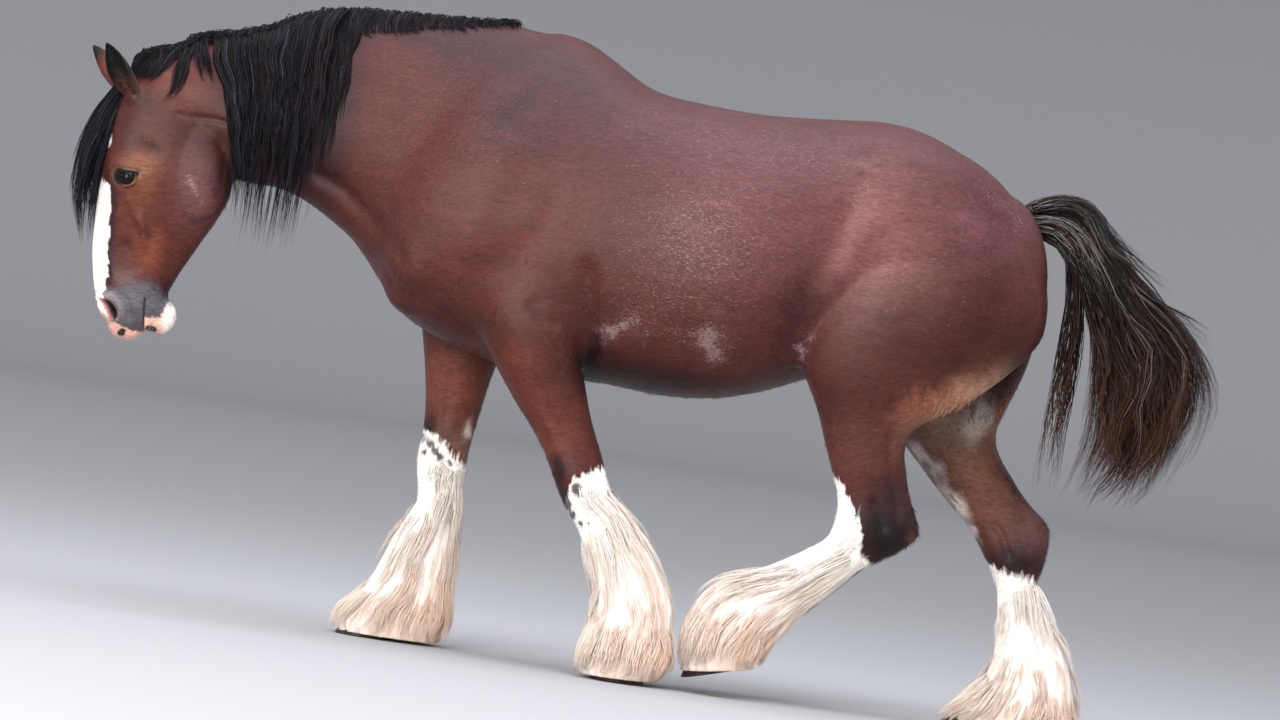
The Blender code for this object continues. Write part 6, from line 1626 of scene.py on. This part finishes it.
# The tail's hair is coarser than the mane's, its strands 3.6 mm wide.
tail_material = hair_material("coarse_tail_horsehair", 0.42, 0.12, 0.01, 0.5, 1.6)
rng = np.random.default_rng(21)
for name, count, low, high in (("tail_outer", 74, 0.6, 1.1), ("tail_inner", 112, 0.05, 0.95)):
    roots = rng.uniform(0.0, 0.3, count)
    angles = rng.uniform(-math.pi, math.pi, count)
    tips = rng.uniform(0.7, 1.0, count) ** 0.8
    depths = rng.uniform(0.25, 0.75, count), rng.uniform(low, high, count)
    turned = angles + rng.normal(0, 0.25, count)
    paths, outs = volume_paths(TAIL_HAIR, roots, tips, (angles, turned), depths, rng, 0.26, 1.2)
    sheets = [(paths, outs, 0.02, 0.018)]
    if name == "tail_outer":
        # A close cover over the dock itself, from its very root.
        count = 30
        angles = rng.uniform(-math.pi, math.pi, count)
        roots, tips = rng.uniform(-0.02, 0.05, count).clip(0), rng.uniform(0.25, 0.55, count)
        depths = rng.uniform(0.8, 0.95, count), rng.uniform(0.85, 1.03, count)
        paths, outs = volume_paths(TAIL_HAIR, roots, tips, (angles, angles), depths, rng, 0.05)
        sheets.append((paths, outs, 0.012, 0.008))
        # Locks that the walk throws out to the rear, their tips flicked clear of the rest.
        count = 13
        roots, tips = rng.uniform(0.05, 0.35, count), rng.uniform(0.5, 0.92, count)
        angles = rng.uniform(-1.3, 1.3, count)
        depths = np.full(count, 0.7), rng.uniform(1.02, 1.3, count)
        paths, outs = volume_paths(TAIL_HAIR, roots, tips, (angles, 0.4 * angles), depths, rng, 0.3, 1.8)
        paths[:, :, 2] += 0.045 * rng.random((count, 1)) * np.linspace(0, 1, STATIONS)[None, :] ** 3
        sheets.append((paths, outs, 0.01, 0.006))
        count = 4
        angles = rng.uniform(-0.5, 0.5, count)
        roots, tips = rng.uniform(0.02, 0.2, count), rng.uniform(0.44, 0.54, count)
        depths = np.full(count, 0.8), rng.uniform(1.25, 1.55, count)
        paths, outs = volume_paths(TAIL_HAIR, roots, tips, (angles, angles), depths, rng, 0.1, 2.5)
        sheets.append((paths, outs, 0.01, 0.006))
        # The strands ahead of the rest.
        count = 6
        roots, tips = rng.uniform(0.0, 0.12, count), rng.uniform(0.75, 1.0, count)
        angles = rng.uniform(-math.pi, math.pi, count)
        depths = np.full(count, 0.4), rng.uniform(0.3, 1.1, count)
        paths, outs = volume_paths(TAIL_STRANDS, roots, tips, (angles, angles + 0.3), depths, rng, 0.15)
        sheets.append((paths, outs, 0.016, 0.014))
    tail = tail_hair(name, rng, sheets, 17, 0.0018)
    dressed(tail, tail_material)
    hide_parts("tail")

# The feather
# Long silky hair, white and cream, that grows from below the knee and hock down to the coronet, longest at
# the rear, and hangs over the hoof in wavy locks to the ground. Each leg's is one piece of fine strands.

# The long hair of each lower leg, out to its tips: rows from below the knee or hock to the floor.
FEATHER_FORE_LEFT = (
    (-0.146, 0.49, -0.002, 0.525, -0.201, 0.067, 0.46, 2.4, 2.1),
    (-0.119, 0.445, 0.006, 0.492, -0.2, 0.058, 0.48, 2.1, 2.0),
    (-0.084, 0.4, 0.08, 0.45, -0.2, 0.066, 0.46, 2.1, 2.0),
    (-0.052, 0.345, 0.14, 0.375, -0.199, 0.075, 0.46, 2.1, 2.0),
    (-0.026, 0.285, 0.188, 0.295, -0.198, 0.086, 0.46, 2.1, 2.0),
    (-0.006, 0.22, 0.222, 0.225, -0.197, 0.099, 0.46, 2.2, 2.1),
    (-0.006, 0.15, 0.234, 0.155, -0.196, 0.116, 0.46, 2.2, 2.1),
    (-0.018, 0.09, 0.234, 0.092, -0.195, 0.128, 0.46, 2.2, 2.1),
    (-0.024, 0.042, 0.228, 0.045, -0.195, 0.132, 0.46, 2.2, 2.1),
    (-0.015, 0.006, 0.205, 0.01, -0.195, 0.126, 0.46, 2.2, 2.1),
)
FEATHER_FORE_RIGHT = (
    (-0.553, 0.505, -0.406, 0.505, 0.201, 0.066, 0.46, 2.4, 2.1),
    (-0.545, 0.46, -0.418, 0.456, 0.2, 0.058, 0.48, 2.1, 2.0),
    (-0.553, 0.41, -0.405, 0.41, 0.2, 0.066, 0.5, 2.1, 2.0),
    (-0.57, 0.35, -0.4, 0.35, 0.199, 0.075, 0.5, 2.1, 2.0),
    (-0.594, 0.28, -0.397, 0.28, 0.198, 0.086, 0.5, 2.1, 2.0),
    (-0.622, 0.2, -0.394, 0.2, 0.197, 0.099, 0.5, 2.2, 2.1),
    (-0.655, 0.135, -0.392, 0.13, 0.196, 0.116, 0.5, 2.2, 2.1),
    (-0.696, 0.085, -0.394, 0.078, 0.195, 0.128, 0.5, 2.2, 2.1),
    (-0.716, 0.038, -0.398, 0.034, 0.195, 0.132, 0.5, 2.2, 2.1),
    (-0.712, 0.006, -0.408, 0.006, 0.195, 0.126, 0.5, 2.2, 2.1),
)
FEATHER_HIND_LEFT = (
    (0.609, 0.51, 0.79, 0.455, -0.172, 0.062, 0.42, 2.2, 2.0),
    (0.597, 0.472, 0.722, 0.405, -0.17, 0.058, 0.48, 2.1, 2.0),
    (0.53, 0.425, 0.658, 0.345, -0.166, 0.066, 0.47, 2.1, 2.0),
    (0.457, 0.38, 0.602, 0.285, -0.163, 0.075, 0.46, 2.1, 2.0),
    (0.388, 0.35, 0.556, 0.235, -0.16, 0.086, 0.46, 2.1, 2.0),
    (0.322, 0.318, 0.517, 0.19, -0.158, 0.099, 0.46, 2.2, 2.1),
    (0.272, 0.255, 0.489, 0.145, -0.156, 0.114, 0.46, 2.2, 2.1),
    (0.256, 0.18, 0.475, 0.115, -0.155, 0.126, 0.46, 2.2, 2.1),
    (0.254, 0.11, 0.469, 0.098, -0.155, 0.13, 0.46, 2.2, 2.1),
    (0.254, 0.047, 0.463, 0.086, -0.155, 0.125, 0.46, 2.2, 2.1),
)
FEATHER_HIND_RIGHT = (
    (1.082, 0.45, 1.236, 0.49, 0.171, 0.06, 0.45, 2.2, 2.0),
    (1.101, 0.415, 1.236, 0.435, 0.17, 0.058, 0.48, 2.1, 2.0),
    (1.11, 0.365, 1.264, 0.365, 0.166, 0.066, 0.47, 2.1, 2.0),
    (1.115, 0.3, 1.3, 0.3, 0.163, 0.075, 0.46, 2.1, 2.0),
    (1.118, 0.24, 1.332, 0.235, 0.16, 0.086, 0.46, 2.1, 2.0),
    (1.11, 0.18, 1.357, 0.17, 0.158, 0.099, 0.46, 2.2, 2.1),
    (1.084, 0.12, 1.375, 0.11, 0.156, 0.116, 0.48, 2.2, 2.1),
    (1.044, 0.068, 1.384, 0.06, 0.155, 0.128, 0.48, 2.2, 2.1),
    (1.006, 0.03, 1.384, 0.026, 0.155, 0.132, 0.48, 2.2, 2.1),
    (0.998, 0.006, 1.37, 0.006, 0.155, 0.126, 0.48, 2.2, 2.1),
)

# Tones of the white hair and of the cream hair of the lower rear, and their shares.
FEATHER_TONES = ("#eee8e1", "#e7ddd4", "#ddcfc2")
FEATHER_SHARES = (0.5, 0.3, 0.2)
CREAM_TONES = ("#e9cfbc", "#e0bda3", "#d2a486")
CREAM_SHARES = (0.45, 0.35, 0.2)
FEATHER_LOCKS = 275
STRANDS_EACH = 16
TOE_SHARE = 0.12
FLOOR_SHARE = 0.5

# The wool under the strands is streaked down its length, about 1 mm from streak to streak, drawn at 3 mm.
feather_wool, tree, surface = new_material("feather_wool", 0.8, Specular_IOR_Level=0.15)
streaks = noise(tree, laid(tree, (1.0, 1.0, 0.15)), 0.006)
varied = shaded(tree, stored(tree)[0], ranged(tree, streaks, 0.85, 1.05))
finished(tree, surface, varied, streaks, 0.6, 0.002)
feather_hair = hair_material("silky_leg_feather", 0.65, 0.08, 0.1, 0.94, 1.05)
for number, (place, rows) in enumerate((
    ("fore_left", FEATHER_FORE_LEFT), ("fore_right", FEATHER_FORE_RIGHT), ("hind_left", FEATHER_HIND_LEFT),
    ("hind_right", FEATHER_HIND_RIGHT),
)):
    rng = np.random.default_rng(31 + number)
    rows = np.array(rows)
    low, high = rows[:, [0, 2]].min() - 0.02, rows[:, [0, 2]].max() + 0.02
    below = dense_points[:, 2] < rows[0, [1, 3]].max() + 0.01
    near = ((dense_points[:, 1] < 0) == place.endswith("left")) & below
    leg = dense_points[near & (dense_points[:, 0] > low) & (dense_points[:, 0] < high)]
    leg = leg[rng.choice(len(leg), min(len(leg), 5000), replace=False)]
    angle = rng.uniform(-math.pi, math.pi, FEATHER_LOCKS)
    # Some locks lie over the toe, and half of the rest reach the floor. A lock starts higher the more it
    # hangs at the rear, at the point of the hide that is nearest to its place.
    toe = rng.random(FEATHER_LOCKS) < TOE_SHARE
    angle = np.where(toe, 0.22 * angle, angle)
    rear = 0.5 - 0.5 * np.cos(angle)
    to_floor = (rng.random(FEATHER_LOCKS) < FLOOR_SHARE) | toe
    tips = np.where(to_floor, rng.uniform(0.95, 1.0, FEATHER_LOCKS), rng.uniform(0.16, 0.95, FEATHER_LOCKS))
    share = np.clip(tips - (0.2 + 0.2 * rear) * rng.uniform(0.7, 1.4, FEATHER_LOCKS), 0.0, 0.62)
    goal = in_volume(rows, share, angle, np.full(FEATHER_LOCKS, 0.8))
    roots = leg[((goal[:, None] - leg[None]) ** 2).sum(axis=2).argmin(axis=1)]
    # Each lock falls through the feather's form, a little inside its surface and wavy, and turns to the
    # rear.
    shares = np.linspace(0, 1, 7)[None, :]
    at = share[:, None] + (tips - share)[:, None] * shares
    outer = 1.03 - 0.45 * rng.random((FEATHER_LOCKS, 1)) ** 2.2 * smooth_step(0.05, 0.5, at)
    turned = (angle + rng.normal(0, 0.1, FEATHER_LOCKS))[:, None]
    turned = turned - 0.22 * (np.sin(angle) * rear)[:, None] * shares
    turned = turned + 0.05 * np.sin(2 * math.pi * (at / 0.25 + 0.5 * angle[:, None]))
    fall = in_volume(rows, at, turned, outer)
    join = smooth_step(-0.05, 0.5, shares)[..., None]
    paths = roots[:, None] * (1 - join) + fall * join
    outs = outward(rows, at, turned)
    # Only white skin grows feather, and in front it begins a hand lower: other locks are left out.
    kept = (white_share(roots) > 0.004) & ((share > 0.24) | (rear > 0.45) | toe)
    paths, outs, tips, share, angle, rear = (
        values[kept] for values in (paths, outs, tips, share, angle, rear))
    locks = len(paths)
    lift = 0.009 * (0.3 + 0.7 * smooth_step(0.05, 0.35, share))
    spread = np.full(locks, 0.021)
    strands, outs = strands_of(paths, outs, STRANDS_EACH, spread, lift, rng, 0.8, 0.55, 0.006)
    strands[..., 2] = np.maximum(strands[..., 2], 0.001 + 0.002 * rng.random((len(strands), 1)))
    # Locks are cream towards their tips, more so at the rear and near the ground.
    count = len(strands)
    tone = hair_tones(count, FEATHER_TONES, FEATHER_SHARES, rng, 0.03)
    cream = hair_tones(count, CREAM_TONES, CREAM_SHARES, rng, 0.05)
    warm = (0.45 + 0.55 * rear) * smooth_step(0.3, 0.85, tips) + rng.normal(0, 0.06, locks)
    warm = np.clip(np.repeat(warm, STRANDS_EACH) + rng.normal(0, 0.08, count), 0, 1)[:, None]
    tip = tone + 0.95 * warm * (cream - tone)
    lower = np.repeat(smooth_step(0.05, 0.45, share), STRANDS_EACH)[:, None]
    root = tone + 0.8 * warm * lower * (cream - tone)
    wide = 0.0012 * rng.uniform(*UNEVEN_WIDTHS, count)
    spots = volume_place(np.repeat(share, STRANDS_EACH), np.repeat(angle, STRANDS_EACH))
    feather = hair_mesh(f"feather_{place}", strands, outs, wide, RIDGE * wide, root, tip, spots, rng, 0.05)
    dressed(feather, feather_hair)
    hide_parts(f"{place}_lower")
    # Dense woolly hair fills each feather under its strands, a closed form inside them with a ragged lower
    # edge.
    share = np.linspace(0.03, 0.985, 56)[:, None]
    angle = np.linspace(0, 2 * math.pi, 84, endpoint=False)[None, :]
    waves = 0.03 * np.sin(19 * angle + 5 * np.sin(6 * share)) * share
    fill = 0.5 + 0.41 * smooth_step(0.08, 0.48, share) + waves
    fill = fill + 0.016 * np.sin(43 * angle + 9 * share)
    wool = in_volume(rows, np.broadcast_to(share, fill.shape), np.broadcast_to(angle, fill.shape), fill)
    wool[..., 2] = np.maximum(wool[..., 2], 0.006)
    under = placed(f"feather_wool_{place}", shells("feather_wool", [wool]))
    warm = (0.2 + 0.7 * (0.5 - 0.5 * np.cos(angle))) * smooth_step(0.45, 1.0, share)
    tone = mix(linear("#e9e0d8"), warm, "#dfbfa8")
    coat_attributes(under.data, tone.reshape(-1, 3), np.zeros((fill.size, 3)))
    under.data.shade_smooth()
    dressed(under, feather_wool)

# The coat's tufts
# Where the short coat breaks the horse's outline or lies in swirls it shows as small flat tufts, each of a
# few hairs' width, that lie down and back along the body: longest behind the elbows, thighs and hocks.

# What each place is, how many tufts it has, its middle and radii in the side view, its side, the way the
# hair lies, its length, half width and lift in mm, and the least and greatest share of the hide's outward
# direction along Z.
TUFTS = (
    ("belly", 380, (0.2, 0.8), (0.42, 0.1), 0, (0.8, 0.0, -0.45), 24, 1.1, 5, -1.0, -0.3),
    ("breast", 260, (-0.6, 0.95), (0.16, 0.16), 0, (0.15, 0.0, -1.0), 24, 1.1, 4, -1.0, 0.35),
    ("elbow", 200, (-0.13, 0.9), (0.05, 0.1), 0, (0.25, 0.0, -1.0), 30, 1.0, 6, -1.0, 0.5),
    ("forearm back", 160, (-0.17, 0.7), (0.06, 0.12), -1, (0.2, 0.0, -1.0), 22, 0.9, 3, -1.0, 1.0),
    ("far forearm back", 140, (-0.42, 0.72), (0.06, 0.14), 1, (0.2, 0.0, -1.0), 22, 0.9, 3, -1.0, 1.0),
    ("thigh edge", 330, (0.92, 0.885), (0.16, 0.04), -1, (-0.15, 0.0, -1.0), 32, 1.1, 7, -1.0, 0.4),
    ("far thigh edge", 160, (0.98, 0.88), (0.14, 0.08), 1, (0.1, 0.0, -1.0), 28, 1.1, 5, -1.0, 0.4),
    ("rear", 220, (1.07, 1.05), (0.05, 0.28), 0, (0.05, 0.0, -1.0), 20, 1.0, 4, -0.8, 0.6),
    ("flank", 160, (0.46, 1.0), (0.05, 0.13), 0, (-0.2, 0.0, -1.0), 24, 1.0, 4, -1.0, 0.5),
    ("near hock", 170, (0.78, 0.52), (0.07, 0.09), -1, (-0.2, 0.0, -1.0), 26, 1.0, 5, -1.0, 1.0),
    ("far hock", 150, (1.19, 0.5), (0.06, 0.09), 1, (0.1, 0.0, -1.0), 26, 1.0, 5, -1.0, 1.0),
    ("near stocking", 330, (-0.1, 0.42), (0.07, 0.16), -1, (0.25, 0.0, -1.0), 18, 0.8, 2.5, -1.0, 1.0),
    ("far stocking", 330, (-0.5, 0.42), (0.07, 0.16), 1, (0.1, 0.0, -1.0), 18, 0.8, 2.5, -1.0, 1.0),
    ("near shank", 330, (0.62, 0.46), (0.13, 0.13), -1, (-0.75, 0.0, -0.6), 18, 0.8, 2.5, -1.0, 1.0),
    ("far shank", 260, (1.18, 0.38), (0.08, 0.1), 1, (0.1, 0.0, -1.0), 18, 0.8, 2.5, -1.0, 1.0),
    ("gaskin", 140, (0.72, 0.7), (0.14, 0.12), -1, (0.2, 0.0, -1.0), 16, 0.8, 2, -1.0, 1.0),
    ("far gaskin", 120, (1.02, 0.68), (0.12, 0.12), 1, (0.3, 0.0, -1.0), 16, 0.8, 2, -1.0, 1.0),
    ("barrel", 300, (0.25, 1.2), (0.55, 0.32), 0, (0.8, 0.0, -0.6), 14, 0.7, 0.35, -1.0, 1.0),
    ("shoulder", 200, (-0.45, 1.3), (0.35, 0.35), 0, (0.35, 0.0, -0.95), 14, 0.7, 0.35, -1.0, 1.0),
    ("croup", 170, (0.85, 1.4), (0.28, 0.22), 0, (0.85, 0.0, -0.5), 14, 0.7, 0.35, -1.0, 1.0),
    ("neck", 140, (-0.85, 1.35), (0.25, 0.3), 0, (0.35, 0.0, -0.9), 14, 0.7, 0.35, -1.0, 1.0),
    ("throat", 170, (-1.0, 1.18), (0.2, 0.06), 0, (0.6, 0.0, -0.5), 20, 0.9, 4, -1.0, 0.0),
    ("jaw", 220, (-1.22, 0.98), (0.07, 0.2), 0, (0.5, 0.0, -0.8), 16, 0.7, 3, -1.0, 0.3),
    ("cheek", 260, (-1.32, 1.12), (0.12, 0.2), 0, (0.3, 0.0, -0.95), 9, 0.6, 0.8, -1.0, 1.0),
    ("blaze", 260, (-1.49, 1.08), (0.03, 0.2), 0, (0.25, 0.0, -1.0), 8, 0.5, 0.8, -1.0, 1.0),
    ("brow", 110, (-1.46, 1.31), (0.06, 0.08), 0, (0.1, 0.0, -1.0), 10, 0.6, 1.0, -1.0, 1.0),
)
TUFT_HAIRS = 2


def lying(roots, normals, way, length, lift, rng, stations=4, spray=0.22):
    """Short paths that start under the skin, lie along it the way that is asked and rise to their tips."""
    count = len(roots)
    way = way + spray * rng.normal(size=(count, 3))
    way = unit(way - normals * (way * normals).sum(axis=1, keepdims=True))
    shares = np.linspace(0, 1, stations)[None, :, None]
    reach = (length * rng.uniform(0.65, 1.2, count))[:, None, None]
    height = (lift * rng.uniform(0.5, 1.3, count))[:, None, None]
    rise = height * np.sin(0.62 * math.pi * shares) - 0.0012 * (1 - shares) ** 2
    bow = 0.1 * reach * rng.normal(size=(count, 1, 1)) * shares**2
    paths = roots[:, None] + reach * shares * way[:, None] + rise * normals[:, None]
    paths += bow * np.cross(way, normals)[:, None]
    return paths, np.repeat(normals[:, None], stations, axis=1)


def body_place(roots):
    """Places on the skin's own unwrap: the share along the body, the two sides side by side, and the
    height."""
    return np.stack([np.where(roots[:, 1] < 0, 0.02, 0.52)
                     + 0.45 * np.clip((roots[:, 0] + 1.65) / 3.0, 0, 1),
                     0.03 + 0.94 * np.clip(roots[:, 2] / 1.8, 0, 1)], axis=-1)


rng = np.random.default_rng(41)
groups = {"trunk": [], "limb": []}
# The tufts of these places are the second piece, and along the backs of the first few only the outline has
# them.
limbs = ("forearm", "hock", "gaskin", "stocking", "shank", "jaw", "cheek", "blaze", "brow")
for label, count, middle, radii, side, way, length, half_width, lift, low, high in TUFTS:
    chance = blob(dense_points, middle, radii) * side_share(dense_points, side)
    chance *= (dense_normals[:, 2] >= low) & (dense_normals[:, 2] <= high) & (dense_points[:, 2] > 0.12)
    if any(word in label for word in limbs[:3]):
        chance *= (np.abs(dense_normals[:, 1]) < 0.45) + 0.02
    picked = rng.choice(len(dense_points), count, replace=False, p=chance / chance.sum())
    roots, facing = (np.repeat(values[picked], TUFT_HAIRS, axis=0)
                     for values in (dense_points, dense_normals))
    shift = rng.normal(0, 0.0022, roots.shape)
    roots = roots + shift - facing * (shift * facing).sum(axis=1, keepdims=True)
    paths, outs = lying(roots, facing, np.array(way), length / 1000, lift / 1000, rng)
    # Tufts are painted up to a third lighter than the coat at their roots: painted light that offsets the
    # shade they cast on themselves.
    tone = hide_tones(roots) * rng.uniform(1.0, 1.35, (len(roots), 1))
    wide = np.full(len(roots), half_width / 1000) * rng.uniform(0.6, 1.2, len(roots))
    groups["limb" if any(word in label for word in limbs) else "trunk"].append((paths, outs, tone, wide))
tuft_coat = hair_material("short_bay_tufts", 0.52, 0.2, 0.04, 0.85, 1.18)
for label, group in groups.items():
    paths, outs, tone, wide = (np.concatenate([piece[k] for piece in group]) for k in range(4))
    tufts = hair_mesh(f"coat_tufts_{label}", paths, outs, wide, 0.3 * wide, tone, tone * 1.1,
                      body_place(paths[:, 0]), rng)
    dressed(tufts, tuft_coat)

# Lashes, whiskers and the hair inside the ears are single stiff hairs or wisps of a few.
LASH_RADIUS = 0.03
LASH_COUNT = 34
EAR_HAIRS = 110
rng = np.random.default_rng(42)
fine = []
for side in (-1, 1):
    centre, look, along, up = eye_frame(side)
    turn = np.radians(np.linspace(150, 30, LASH_COUNT))
    reach = slit_edge(turn)
    at = np.cos(turn)
    edge = centre + along * (reach * at)[:, None] + up * (reach * np.sin(turn))[:, None]
    out = np.sqrt(np.maximum(LASH_RADIUS**2 - ((edge - centre) ** 2).sum(axis=1), 0))
    roots = edge + look * out[:, None]
    way = look * 0.75 + np.array((0.0, 0.0, 0.1)) + along * (0.35 * at)[:, None]
    shares = np.linspace(0, 1, 6)[None, :, None]
    size = rng.uniform(0.01, 0.017, (len(at), 1, 1))
    sag = np.array((0, 0, -0.007)) * shares**2 * (1 - 0.3 * shares)
    paths = roots[:, None] + size * shares * way[:, None] + sag
    tone = np.tile(linear("#1c1310"), (LASH_COUNT, 1))
    fine.append((paths, np.broadcast_to(up, paths.shape), tone, np.full(LASH_COUNT, 0.00035)))
for label, count, middle, radii, way, length, tone in (
    ("chin", 40, (-1.315, 0.77), (0.03, 0.02), (0.1, 0.0, -1.0), 0.024, "#8a8082"),
    ("lip", 26, (-1.395, 0.77), (0.04, 0.03), (-0.5, 0.0, -0.8), 0.014, "#6a6264"),
    ("jaw", 20, (-1.3, 0.87), (0.03, 0.03), (0.3, 0.0, -1.0), 0.022, "#3a2a26"),
):
    chance = blob(dense_points, middle, radii) * (dense_normals[:, 2] < 0.35)
    picked = rng.choice(len(dense_points), count, replace=False, p=chance / chance.sum())
    roots, facing = dense_points[picked], dense_normals[picked]
    paths, outs = lying(roots, facing, 0.9 * facing + np.array(way), length, 0.5 * length, rng, 6, 0.3)
    fine.append((paths, outs, np.tile(linear(tone), (count, 1)), np.full(count, 0.00028)))
for label, side in (("left", -1), ("right", 1)):
    root, along, opening, across = ear_frame(side, EAR_TIPS[label])
    at, turn = rng.uniform(0.05, 0.7, EAR_HAIRS), rng.uniform(-1.0, 1.0, EAR_HAIRS)
    width = 0.026 * np.sin(math.pi * (0.18 + 0.72 * at))
    roots = (root + along * (0.158 * at)[:, None] + across * (width * np.sin(1.4 * turn))[:, None]
             + opening * (0.004 - 0.8 * width * np.cos(1.4 * turn))[:, None])
    way = along * 0.8 + opening * 0.7 - across * (0.5 * turn)[:, None]
    shares = np.linspace(0, 1, 6)[None, :, None]
    paths = roots[:, None] + 0.02 * rng.uniform(0.6, 1.2, (EAR_HAIRS, 1, 1)) * shares * unit(way)[:, None]
    tone = mix(linear("#1a1416"), at, "#2c201c")
    fine.append((paths, np.broadcast_to(opening, paths.shape), tone, np.full(EAR_HAIRS, 0.0007)))
stiff_hair = hair_material("stiff_lash_and_whisker", 0.45, 0.25, 0.03, 0.9, 1.1)
paths, outs, tone, wide = (np.concatenate([piece[k] for piece in fine]) for k in range(4))
whiskers = hair_mesh("lashes_and_whiskers", paths, outs, wide, 0.6 * wide, tone, tone,
                     body_place(paths[:, 0]), rng)
dressed(whiskers, stiff_hair)

# The studio
# A pale floor that turns up into a pale wall, a wide soft light above as under a white sky, and a fill
# from the camera's side. The camera is level with the middle of the body and leans to the photograph's
# tilt.

LEAN = math.radians(8.5)
LENS_DISTANCE = 16.0
# The photograph's scale at the horse.
PIXELS_PER_METRE = 362.0
IMAGE_WIDTH = 1280
SENSOR = 36.0
AIM = np.array((0.027, 0.0, 0.877))

# The wall stands beyond any camera that looks at the horse from the rear, and a quarter circle joins the
# floor to it.
WALL = 42.0
BEND = 6.0
bend = np.linspace(0, math.pi / 2, 25)[1:]
floor_depth = np.concatenate([np.linspace(-WALL, WALL - BEND, 79), WALL - BEND + BEND * np.sin(bend),
                              np.full(12, WALL)])
floor_height = np.concatenate([np.zeros(79), BEND - BEND * np.cos(bend), np.linspace(6.5, 30, 12)])
across = np.linspace(-45, 45, 33)[:, None]
sweep = np.stack(np.broadcast_arrays(across, floor_depth[None, :], floor_height[None, :]), axis=-1)
studio_floor = placed("studio_floor", open_sheet("studio_floor", sweep))
paper, tree, surface = new_material("matt_studio_paper", 0.9, Specular_IOR_Level=0.1)
surface.inputs["Base Color"].default_value = (*linear("#9b9a9c"), 1.0)
studio_floor.data.materials.append(paper)

world = bpy.data.worlds.new("studio_air")
bpy.context.scene.world = world
world.use_nodes = True
air = world.node_tree.nodes["Background"].inputs
air["Color"].default_value = (*linear("#e9edf2"), 1.0)
air["Strength"].default_value = 1.3


def aimed(obj, place, right, up, back):
    """Puts a light or camera in its place, with the unit directions to its right, up and behind it."""
    obj.location = place
    obj.rotation_euler = mathutils.Matrix(np.stack([right, up, back], axis=1).tolist()).to_euler()


def soft_light(name, place, aim, size, power, colour):
    """A square area light that looks at a point."""
    light = bpy.data.lights.new(name, "AREA")
    light.shape = "SQUARE"
    light.size = size
    light.energy = power
    light.color = linear(colour)
    back = unit(np.array(place) - np.array(aim))
    right = unit(np.cross((0.0, 1.0, 0.0) if abs(back[2]) > 0.9 else (0.0, 0.0, 1.0), back))
    aimed(placed(name, light), place, right, np.cross(back, right), back)


soft_light("sky_panel", (0.0, -1.5, 6.5), (0.0, 0.0, 1.2), 7.0, 700.0, "#f3f6ff")
soft_light("front_fill", (-3.0, -9.0, 3.2), (0.0, 0.0, 1.0), 4.0, 900.0, "#fff9f2")

lens = bpy.data.cameras.new("camera")
lens.sensor_width = SENSOR
lens.lens = SENSOR * LENS_DISTANCE * PIXELS_PER_METRE / IMAGE_WIDTH
lens.clip_end = 200.0
camera = placed("camera", lens)
backward = np.array((0.0, -1.0, 0.0))
aimed(camera, AIM + LENS_DISTANCE * backward, (math.cos(LEAN), 0.0, math.sin(LEAN)),
      (-math.sin(LEAN), 0.0, math.cos(LEAN)), backward)
bpy.context.scene.camera = camera
bpy.context.scene.view_settings.view_transform = "Standard"
